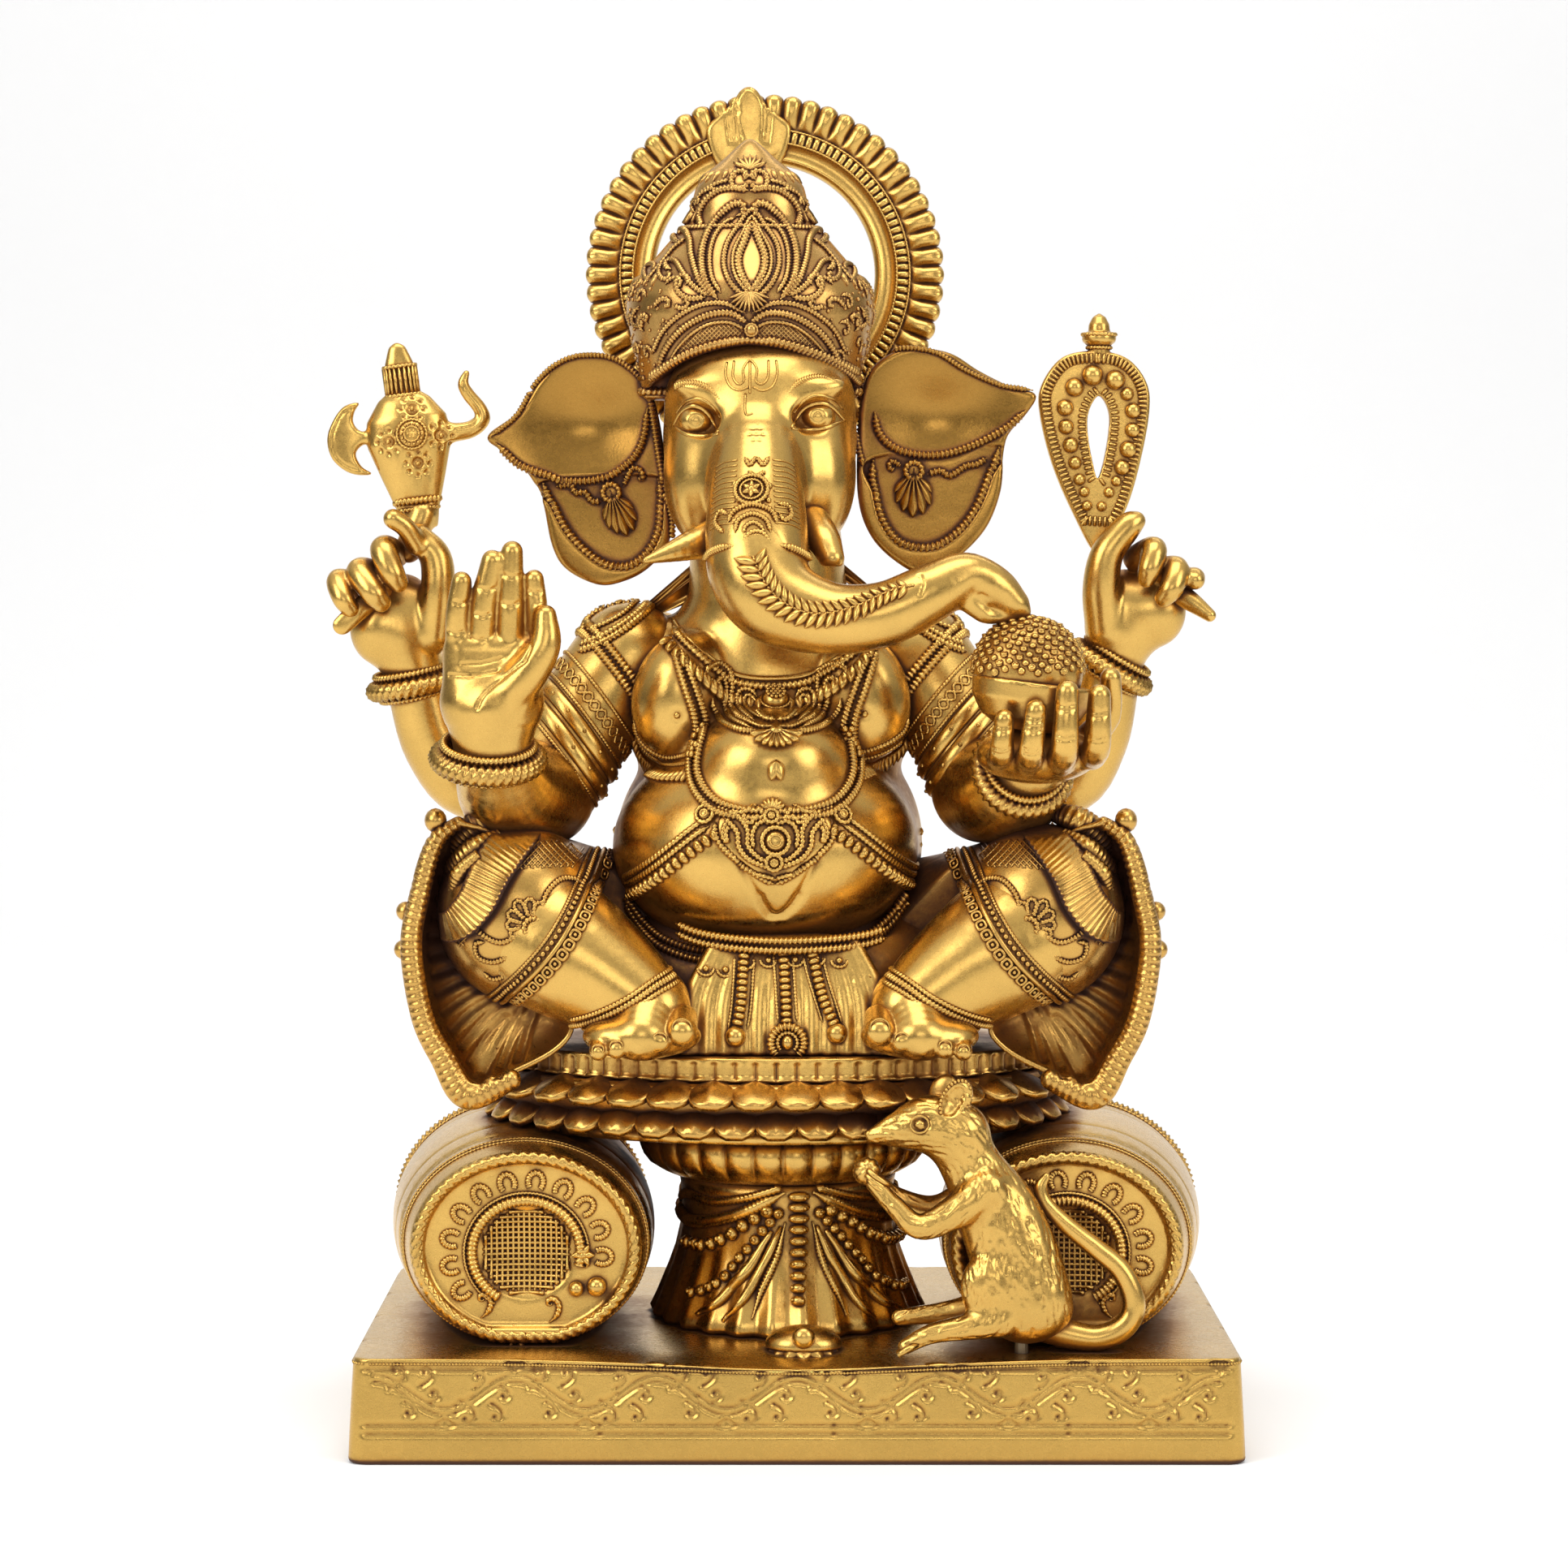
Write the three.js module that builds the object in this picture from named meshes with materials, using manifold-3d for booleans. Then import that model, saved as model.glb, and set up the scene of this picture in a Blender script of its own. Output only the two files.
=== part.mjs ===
// A seated elephant-headed devotional figure in cast brass, on a lotus seat, two bolsters and a plinth.
// The foundry casts it in sections, then studs, screws and brazes them together.
// Millimetres, +Z up. The figure faces -Y. The origin is the middle of the plinth's underside.
// "right" and "left" are the figure's own, so right is towards -X.
import * as THREE from "three";
import { mergeVertices } from "three/addons/utils/BufferGeometryUtils.js";
import Module from "manifold-3d";

const wasm = await Module();
wasm.setup();

// ---- driving dimensions
const GAP = 0.35; // left between neighbouring castings
const PLINTH = { halfWidth: 195, halfDepth: 125, height: 46, wall: 7, halfRib: 6, corner: 8, draft: 0.988 };
const BOLSTER = { x: 119, backX: 132, halfLength: 92, endR: 48, midR: 60, squash: 0.82, z: 91, wall: 6 };
const SEAT = { x: -9, z: 134, ringHeight: 6, dishHeight: 22, rimHeight: 11, halfWidth: 141, halfDepth: 103 };
const BODY_X = -12; // the figure sits a little to the right of the plinth's middle
const HEAD = { x: -17, y: -12, z: 440, halfWidth: 47, halfDepth: 50, halfHeight: 52 };
const CROWN = { x: -20, y: -8, bottom: 468, top: 588, depthShare: 0.76 };
const HALO = { x: -14.5, y: 50, z: 524, outerR: 84, innerR: 57, thickness: 11 };
const BELLY = { y: -26, z: 272, r: [67, 62, 50] };
const CHEST = { y: 2, z: 322, r: [74, 52, 56] };
const SEAT_TOP = SEAT.z + SEAT.ringHeight + SEAT.dishHeight + SEAT.rimHeight;
const BALL_SEGMENTS = [9, 6];
const SMALL_BALL = [7, 5];
const ROUND_SIDES = 9;

const BRASS = { color: 0xc8962f, roughness: 0.32, metalness: 1 };
const DARK_BRASS = { color: 0x8a5a20, roughness: 0.45, metalness: 1 };
const STEEL = { color: 0x9a9da0, roughness: 0.4, metalness: 1 };

// ---- solids from three.js geometry. A maker is a function of g, the growth on every side in mm.
function solid(geometry) {
  const bare = geometry.clone();
  bare.deleteAttribute("normal");
  bare.deleteAttribute("uv");
  const merged = mergeVertices(bare, 1e-3);
  const build = (triVerts) =>
    new wasm.Manifold(
      new wasm.Mesh({ numProp: 3, vertProperties: merged.attributes.position.array, triVerts }),
    );
  const triVerts = new Uint32Array(merged.index.array);
  const made = build(triVerts);
  if (made.volume() > 0) return made;
  return build(triVerts.reverse());
}

function placed(geometry, centre, size, turn) {
  const quaternion = new THREE.Quaternion().setFromEuler(new THREE.Euler(...turn));
  const matrix = new THREE.Matrix4().compose(
    new THREE.Vector3(...centre),
    quaternion,
    new THREE.Vector3(...size),
  );
  return geometry.applyMatrix4(matrix);
}

// An ellipsoid with half sizes r, turned about X, Y and Z.
const ball = (centre, r, turn = [0, 0, 0], segments = BALL_SEGMENTS) => (g) => {
  const half = r.map((v) => v + g);
  return solid(placed(new THREE.SphereGeometry(1, ...segments), centre, half, turn));
};

// An upright box between two corners.
const block = (low, high) => (g) => {
  const size = low.map((v, i) => high[i] - v + 2 * g);
  const centre = low.map((v, i) => (high[i] + v) / 2);
  return solid(placed(new THREE.BoxGeometry(...size), centre, [1, 1, 1], [0, 0, 0]));
};

// A profile of [radius, z] pairs turned about Z, then scaled in X and Y.
const turned = (centre, profile, scale = [1, 1], sides = 24) => (g) => {
  const tall = profile.map((p) => p[1]);
  const middle = (Math.min(...tall) + Math.max(...tall)) / 2;
  const half = (Math.max(...tall) - Math.min(...tall)) / 2;
  const points = profile.map(
    ([r, z]) => new THREE.Vector2(r > 0 ? r + g : 0, middle + ((z - middle) * (half + g)) / half),
  );
  const geometry = new THREE.LatheGeometry(points, sides).rotateX(Math.PI / 2);
  return solid(placed(geometry, centre, [scale[0], scale[1], 1], [0, 0, 0]));
};

// A flat outline of [x, z] pairs, smoothed unless sharp, with a thickness along Y about y.
function outlineShape(points, sharp) {
  const flat = points.map(([x, z]) => new THREE.Vector2(x, z));
  if (sharp) return new THREE.Shape(flat);
  const shape = new THREE.Shape();
  const first = flat[0].clone().add(flat.at(-1)).multiplyScalar(0.5);
  shape.moveTo(first.x, first.y);
  flat.forEach((corner, i) => {
    const next = flat[(i + 1) % flat.length];
    shape.quadraticCurveTo(corner.x, corner.y, (corner.x + next.x) / 2, (corner.y + next.y) / 2);
  });
  return shape;
}

const plate = (points, y, thickness, sharp = false) => (g) => {
  const geometry = new THREE.ExtrudeGeometry(outlineShape(points, sharp), {
    depth: thickness + 2 * g,
    bevelEnabled: false,
    curveSegments: 3,
  });
  geometry.rotateX(Math.PI / 2).translate(0, y + thickness / 2 + g, 0);
  return solid(geometry);
};

// A round limb whose centre follows a smooth curve through points, with a radius at each of them.
const limb = (points, radii, sides = ROUND_SIDES, stepsEach = 2, flat = 1) => (g) => {
  const curve = new THREE.CatmullRomCurve3(points.map((p) => new THREE.Vector3(...p)));
  const steps = (points.length - 1) * stepsEach;
  const frames = curve.computeFrenetFrames(steps, false);
  const position = [];
  const index = [];
  for (let i = 0; i <= steps; i++) {
    const along = (i / steps) * (points.length - 1);
    const k = Math.min(Math.floor(along), points.length - 2);
    const r = THREE.MathUtils.lerp(radii[k], radii[k + 1], along - k) + g;
    const centre = curve.getPoint(i / steps);
    for (let j = 0; j < sides; j++) {
      const turn = (2 * Math.PI * j) / sides;
      const out = frames.normals[i].clone().multiplyScalar(Math.cos(turn) * r);
      out.addScaledVector(frames.binormals[i], Math.sin(turn) * r);
      out.y *= flat;
      position.push(...centre.clone().add(out).toArray());
    }
  }
  for (const [i, reach] of [
    [0, -1],
    [steps, 1],
  ]) {
    const bulge = radii.at(reach < 0 ? 0 : -1) * 0.6 + g;
    const along = curve.getTangent(i / steps).multiplyScalar(reach * bulge);
    position.push(...curve.getPoint(i / steps).add(along).toArray());
  }
  const ringEnd = steps * sides;
  const poles = [(steps + 1) * sides, (steps + 1) * sides + 1];
  for (let i = 0; i < steps; i++)
    for (let j = 0; j < sides; j++) {
      const a = i * sides + j;
      const b = i * sides + ((j + 1) % sides);
      index.push(a, b, b + sides, a, b + sides, a + sides);
    }
  for (let j = 0; j < sides; j++) {
    const next = (j + 1) % sides;
    index.push(next, j, poles[0], ringEnd + j, ringEnd + next, poles[1]);
  }
  const geometry = new THREE.BufferGeometry();
  geometry.setAttribute("position", new THREE.Float32BufferAttribute(position, 3));
  geometry.setIndex(index);
  return solid(geometry);
};

// A ring about an axis, for a bangle or a band.
const ring = (centre, axis, major, minor) => (g) => {
  const geometry = new THREE.TorusGeometry(major, minor + g, 5, 14);
  const turn = new THREE.Quaternion().setFromUnitVectors(
    new THREE.Vector3(0, 0, 1),
    new THREE.Vector3(...axis).normalize(),
  );
  geometry.applyQuaternion(turn).translate(...centre);
  return solid(geometry);
};

// A round bar between two points, with as many sides as asked.
const bar = (from, to, radius, sides = 12) => (g) => {
  const a = new THREE.Vector3(...from);
  const b = new THREE.Vector3(...to);
  const along = b.clone().sub(a);
  const geometry = new THREE.CylinderGeometry(radius + g, radius + g, along.length() + 2 * g, sides);
  const up = new THREE.Vector3(0, 1, 0);
  const turn = new THREE.Quaternion().setFromUnitVectors(up, along.clone().normalize());
  geometry.applyQuaternion(turn).translate(...a.add(b).multiplyScalar(0.5).toArray());
  return solid(geometry);
};

const join = (...makers) => (g) => makers.map((make) => make(g)).reduce((a, b) => a.add(b));
const cut = (make, ...tools) => (g) => tools.reduce((a, tool) => a.subtract(tool(0)), make(g));
const mirrored = (points, about) => points.map(([x, ...rest]) => [2 * about - x, ...rest]);

// ---- the plinth: a drafted box, open underneath, with a cross of ribs flush with its underside
function plinth() {
  const { halfWidth: w, halfDepth: d, height, wall, halfRib, corner, draft } = PLINTH;
  const shape = new THREE.Shape();
  shape.moveTo(-w + corner, -d);
  shape.lineTo(w - corner, -d).absarc(w - corner, -d + corner, corner, -Math.PI / 2, 0);
  shape.lineTo(w, d - corner).absarc(w - corner, d - corner, corner, 0, Math.PI / 2);
  shape.lineTo(-w + corner, d).absarc(-w + corner, d - corner, corner, Math.PI / 2, Math.PI);
  shape.lineTo(-w, -d + corner).absarc(-w + corner, -d + corner, corner, Math.PI, 1.5 * Math.PI);
  const outer = (g) => {
    const cast = { depth: height, bevelEnabled: false, curveSegments: 3 };
    const geometry = new THREE.ExtrudeGeometry(shape, cast);
    const at = geometry.attributes.position;
    for (let i = 0; i < at.count; i++)
      if (at.getZ(i) > height / 2) at.setXY(i, at.getX(i) * draft, at.getY(i) * draft);
    geometry.scale(1 + g / w, 1 + g / d, 1);
    const grownTop = block([-w + corner, -d + corner, height / 2], [w - corner, d - corner, height]);
    return solid(geometry).add(grownTop(g));
  };
  const pockets = [-1, 1].flatMap((sx) =>
    [-1, 1].map((sy) => {
      const xs = [sx * halfRib, sx * (w - wall - corner / 2)].sort((a, b) => a - b);
      const ys = [sy * halfRib, sy * (d - wall - corner / 2)].sort((a, b) => a - b);
      return block([xs[0], ys[0], -1], [xs[1], ys[1], height - wall]);
    }),
  );
  return (g) => pockets.reduce((a, pocket) => a.subtract(pocket(-g)), outer(g));
}

// ---- a bolster: a squashed barrel lying front to back, cored out through its underside
function bolster(side) {
  const { x, backX, halfLength: l, endR, midR, squash, z, wall } = BOLSTER;
  const barrel = (shrink) => (g) => {
    const r = (share) => endR + (midR - endR) * share - shrink + g;
    const length = l - shrink + g;
    const profile = [
      [0, -length],
      [r(0), -length],
      [r(0.55), -length * 0.6],
      [r(0.92), -length * 0.25],
      [r(1), 0],
      [r(0.92), length * 0.25],
      [r(0.55), length * 0.6],
      [r(0), length],
      [0, length],
    ].map(([a, b]) => new THREE.Vector2(a, b));
    const yaw = -side * Math.atan2(backX - x, 2 * l);
    const geometry = new THREE.LatheGeometry(profile, 14).scale(1, 1, squash);
    return solid(placed(geometry, [(side * (x + backX)) / 2, 0, z], [1, 1, 1], [0, 0, yaw]));
  };
  const middle = (side * (x + backX)) / 2;
  const coreHole = block([middle - 22, -50, 0], [middle + 22, 50, z]);
  return cut(barrel(0), barrel(wall), coreHole);
}

// ---- legs, in the figure's right half; the left half mirrors them about the body's middle
const LEG = {
  thigh: [[-52, 8, 212], [-100, -18, 222], [-138, -42, 240]],
  thighR: [40, 38, 32],
  shin: [[-136, -52, 240], [-100, -66, 222], [-64, -78, 200]],
  shinR: [33, 28, 19],
  foot: [[-64, -80, 194], [-65, -97, 182]],
  footR: [15, 9],
  toeSpread: [-86, -76, -67, -58, -47],
  hem: [
    [-150, 277], [-172, 262], [-180, 226], [-170, 192], [-142, 176], [-104, 174],
    [-112, 180], [-142, 188], [-160, 206], [-166, 228], [-160, 252], [-150, 265],
  ],
};
const MIRROR_X = -7; // the legs lie evenly about this
const side = (points, left) => (left ? mirrored(points, MIRROR_X) : points);

function foot(left) {
  const toes = LEG.toeSpread.map((x, i) => {
    const big = i === 4;
    return ball([x, -101, big ? 181 : 179], big ? [6.5, 8, 7] : [4.6, 7, 5], [0, 0, 0], [5, 4]);
  });
  const sole = ball([-65, -90, 183], [25, 17, 10]);
  const whole = join(limb(LEG.foot, LEG.footR), sole, ...toes);
  return left ? (g) => whole(g).mirror([1, 0, 0]).translate([2 * MIRROR_X, 0, 0]) : whole;
}

// ---- the pleated apron that hangs between the feet
const apron = cut(
  turned([-6, -22, 0], [[0, 170], [62, 170], [56, 190], [50, 205], [46, 222], [0, 222]], [0.8, 1], 20),
  block([-80, -50, 160], [80, 60, 230]),
);

// ---- head parts
const trunkPoints = [
  [-17.5, -48, 432], [-19.5, -66, 408], [-20, -80, 385], [-10, -90, 366],
  [12, -96, 358], [36, -98, 364], [57, -97, 376], [74, -95, 386], [88, -93, 384], [96, -92, 374],
];
const trunkRadii = [27, 26, 23, 21, 19.5, 17.5, 14.5, 11.5, 9, 7.5];
const rightEar = [
  [-60, 474], [-70, 488], [-92, 487], [-112, 466], [-143, 449], [-128, 428],
  [-127, 404], [-110, 384], [-88, 376], [-66, 398], [-58, 424],
];
const leftEar = [
  [28, 474], [38, 490], [60, 491], [82, 474], [114, 468], [101, 445],
  [103, 412], [84, 388], [60, 381], [34, 400], [26, 424],
];
const crownProfile = [
  [0, 468], [52, 468], [54, 484], [58, 500], [57, 520], [48, 530], [40, 542], [30, 550],
  [29, 560], [24, 570], [10, 579], [0, CROWN.top],
];

// ---- hands: the palm's place, where each finger starts and ends, and the thumb
const finger = (from, bend, to, r) => limb([from, bend, to], [r, r * 0.95, r * 0.75], 6, 1);
const raisedHand = join(
  ball([-131, -80, 334], [24, 14, 27]),
  finger([-147, -84, 352], [-148, -86, 366], [-146, -87, 379], 6.4),
  finger([-138, -82, 356], [-137, -84, 373], [-135, -85, 391], 6.8),
  finger([-128, -82, 357], [-126, -84, 375], [-125, -85, 394], 6.8),
  finger([-119, -82, 354], [-117, -84, 368], [-116, -85, 383], 6.2),
  limb([[-116, -84, 326], [-107, -90, 340], [-108, -93, 359]], [10, 8, 5.5], 7, 1),
);
const bowlHand = join(
  ball([106, -76, 309], [27, 22, 13]),
  finger([90, -92, 308], [91, -111, 313], [92, -114, 329], 5.6),
  finger([103, -96, 306], [104, -116, 313], [106, -119, 336], 6.2),
  finger([117, -94, 307], [119, -114, 316], [120, -117, 343], 6.5),
  finger([130, -88, 309], [134, -104, 318], [134, -108, 340], 6),
);
// A fist that lets a handle pass between its thumb and its curled fingers.
const fist = (cx, cz, out) =>
  join(
    ball([cx, 14, cz], [17, 15, 26], [0, out * 0.25, 0]),
    finger([cx + out * 6, -2, cz + 20], [cx + out * 17, -7, cz + 15], [cx + out * 15, -9, cz + 4], 6),
    finger([cx + out * 12, -3, cz + 12], [cx + out * 23, -7, cz + 7], [cx + out * 20, -9, cz - 3], 5.6),
    finger([cx + out * 15, -2, cz + 3], [cx + out * 28, -6, cz - 1], [cx + out * 24, -8, cz - 9], 5.2),
    finger([cx - out * 12, 2, cz + 12], [cx - out * 6, -4, cz + 26], [cx + out * 1, -6, cz + 32], 6.4),
  );

// ---- the emblems in the two rear hands
const axeBody = [[0, 408], [8, 408], [15, 430], [18, 450], [15, 464], [7, 472], [6, 485], [0, 496]];
const axeBlade = [
  [-188, 452], [-202, 452], [-208, 462], [-203, 467], [-215, 463], [-217, 446],
  [-206, 434], [-196, 434], [-203, 442], [-200, 447], [-188, 446],
];
const axeHook = [[-160, 15, 452], [-148, 15, 452], [-143, 15, 461], [-149, 15, 473], [-146, 15, 484]];
const axe = join(
  limb([[-203, 0, 360], [-188, 6, 385], [-172, 14, 410]], [5, 4.5, 6.5], 8, 1),
  turned([-174, 15, 0], axeBody, [1, 0.45], 12),
  plate(axeBlade, 15, 4, true),
  limb(axeHook, [4, 3.6, 3.2, 2.8, 2], 6, 2),
);
const nooseFrame = [
  [137, 400], [125, 412], [111, 446], [109, 474], [124, 494], [150, 494], [165, 474], [163, 446], [148, 412],
];
const nooseSlot = [[137, 432], [132.5, 446], [132, 466], [137, 472], [142, 466], [141.5, 446]];
const nooseFinial = [[0, 484], [4.5, 484], [7, 494], [4, 497], [3.5, 499], [4.4, 502], [0, 507]];
const noose = cut(
  join(
    plate(nooseFrame, 15, 7),
    turned([138, 15, 0], nooseFinial, [1, 1], 10),
    limb([[137, 15, 404], [153, 10, 392], [170, 3, 380], [190, -4, 369]], [6, 4.5, 4.5, 4], 6, 2),
  ),
  plate(nooseSlot, 15, 12),
);

// ---- the mouse, seated in front of the left bolster
const MOUSE_Y = -107;
const mouseBody = [[99, MOUSE_Y, 66], [90, MOUSE_Y, 86], [81, MOUSE_Y, 106], [73, MOUSE_Y, 122]];
const mouseHead = [[73, MOUSE_Y, 124], [60, MOUSE_Y, 142], [46, MOUSE_Y, 142], [31, MOUSE_Y, 140]];
const mouseHindFoot = [[86, MOUSE_Y - 9, 54], [66, MOUSE_Y - 10, 53], [46, MOUSE_Y - 10, 50]];
const mouseArm = [[80, MOUSE_Y - 8, 110], [60, MOUSE_Y - 9, 106], [38, MOUSE_Y - 4, 122]];
const mouse = join(
  limb(mouseBody, [20, 19, 16, 12], 8, 1, 0.72),
  limb(mouseHead, [12, 13.5, 9, 3.6], 8, 1, 0.85),
  ball([93, MOUSE_Y - 7, 70], [17, 8, 19], [0, 0, 0], SMALL_BALL),
  ball([100, MOUSE_Y, 57], [19, 14, 10], [0, 0, 0], SMALL_BALL),
  limb(mouseHindFoot, [6, 4, 3.2], 6, 1),
  limb(mouseArm, [7.5, 5.5, 4], 6, 2),
  ball([68, MOUSE_Y - 6, 157], [8, 3, 10], [0, 0.5, 0.3], SMALL_BALL),
  ball([60, MOUSE_Y + 8, 158], [7, 3, 9], [0, 0.4, -0.3], SMALL_BALL),
);
const mouseTail = limb(
  [
    [112, -102, 54], [130, -104, 53], [147, -105, 62], [148, -105, 78],
    [131, -105, 92], [117, -104, 104], [111, -104, 117], [117, -104, 123],
  ],
  [6, 5.5, 5, 4.6, 4.2, 3.8, 3.2, 2.4], 6, 2,
);

// ---- ornaments laid on the body
// The front of the belly and chest above, and a path of [x, z] pairs laid on it, proud by so much.
const frontOf = ({ y, z, r }, x, up) => {
  const share = 1 - ((x - BODY_X) / r[0]) ** 2 - ((up - z) / r[2]) ** 2;
  return y - r[1] * Math.sqrt(Math.max(share, 0));
};
const bodyFront = (x, z) => Math.min(frontOf(BELLY, x, z), frontOf(CHEST, x, z));
const laid = (points, proud) => points.map(([x, z]) => [x, bodyFront(x, z) - proud, z]);
const collarPath = [[-62, 368], [-54, 350], [-40, 334], [-12, 322], [16, 334], [30, 350], [38, 368]];
const beltPath = [[-70, 246], [-56, 256], [-34, 266], [-12, 272], [10, 266], [32, 256], [46, 246]];
const threadPath = [[-38, 324], [-39, 308], [-31, 295], [-12, 290], [7, 295], [15, 308], [14, 324]];

// ---- the seat, from the pedestal up. Each tier ends a gap below the next one.
const dishBottom = SEAT.z + SEAT.ringHeight;
const rimBottom = dishBottom + SEAT.dishHeight;
const seatDepth = SEAT.halfDepth / SEAT.halfWidth;
const JOINT_GAP = 0.4;
const tier = (x, profile, depth, sides) => {
  const closed = [[0, profile[0][1]], ...profile, [0, profile.at(-1)[1]]];
  return turned([x, 0, 0], closed, [1, depth], sides);
};
const pedestal = tier(-4, [[62, 46.5], [56, 62], [48, 90], [50, 112]], 1.25, 20);
const capital = tier(-6, [[54, 112.4], [66, 124], [66, SEAT.z - JOINT_GAP]], 1.15, 20);
const seatRing = tier(SEAT.x, [[120, SEAT.z], [120, dishBottom - JOINT_GAP]], seatDepth, 24);
const dish = tier(
  SEAT.x,
  [[118, dishBottom], [134, dishBottom + 6], [SEAT.halfWidth, dishBottom + 13], [134, rimBottom - JOINT_GAP]],
  seatDepth,
  28,
);
const rimPlate = tier(SEAT.x, [[128, rimBottom], [128, SEAT_TOP]], seatDepth, 28);

// ---- the trunk of the body, cored from below
const torso = cut(
  join(
    ball([BODY_X, BELLY.y, BELLY.z], BELLY.r, [0, 0, 0], [14, 9]),
    ball([BODY_X, CHEST.y, CHEST.z], CHEST.r, [0, 0, 0], [14, 9]),
    limb([[BODY_X, 0, 350], [-14, -6, 398]], [38, 34]),
  ),
  ball([BODY_X, -12, 282], [54, 44, 52]),
  bar([BODY_X, 0, 200], [BODY_X, 0, 280], 30, 16),
);
const hipsBottom = SEAT_TOP + JOINT_GAP;
const hipsProfile = [[0, hipsBottom], [92, hipsBottom], [100, 198], [86, 228], [74, 246], [0, 250]];
const hips = cut(turned([BODY_X, 4, 0], hipsProfile, [1, 0.74], 20), ball([BODY_X, 0, 195], [78, 52, 60]));

// ---- arms: front ones bend forward at the elbow, rear ones bend up
const frontRight = [[-76, 0, 344], [-98, -8, 314], [-112, -18, 288]];
const frontLeft = [[54, 0, 344], [74, -8, 314], [84, -18, 290]];
const rightForearm = [[-118, -26, 284], [-128, -52, 290], [-132, -72, 306]];
const leftForearm = [[86, -24, 286], [96, -48, 290], [104, -66, 302]];
const rearRight = [[-66, 24, 344], [-112, 28, 312], [-150, 26, 284], [-166, 22, 304], [-176, 19, 332]];
const rearLeft = [[44, 24, 344], [88, 28, 312], [126, 26, 286], [138, 22, 306], [147, 19, 334]];
const REAR_ARM_R = [22, 20, 18, 17, 15];

const head = join(
  ball([HEAD.x, HEAD.y, HEAD.z], [HEAD.halfWidth, HEAD.halfDepth, HEAD.halfHeight], [0, 0, 0], [12, 8]),
  ball([HEAD.x, -8, 412], [36, 40, 32]),
);

// ---- the halo: a flat ring with a pointed leaf at its top, screwed to a bracket on the head's back
const haloRing = (g) => {
  const shape = new THREE.Shape().absarc(0, 0, HALO.outerR, 0, 2 * Math.PI);
  shape.holes.push(new THREE.Path().absarc(0, 0, HALO.innerR, 0, 2 * Math.PI, true));
  const geometry = new THREE.ExtrudeGeometry(shape, {
    depth: HALO.thickness,
    bevelEnabled: false,
    curveSegments: 18,
  });
  geometry.rotateX(Math.PI / 2).translate(HALO.x, HALO.y + HALO.thickness / 2 + g, HALO.z);
  return solid(geometry);
};
const haloLeaf = [[-40, 588], [-33, 597], [-22, 617], [-11, 597], [-4, 588], [-22, 574]];
const halo = join(haloRing, plate(haloLeaf, HALO.y, 9));
const haloBracket = join(block([-56, 31, 455], [27, 44, 469]), block([-36, 20, 450], [7, 44, 469]));
const haloScrew = (side) => bar([HALO.x + side * 30, 30, 462], [HALO.x + side * 30, 60, 462], 2.5);
const bowlProfile = [[0, 318], [14, 318], [23, 325], [25.5, 333], [0, 333]];

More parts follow.
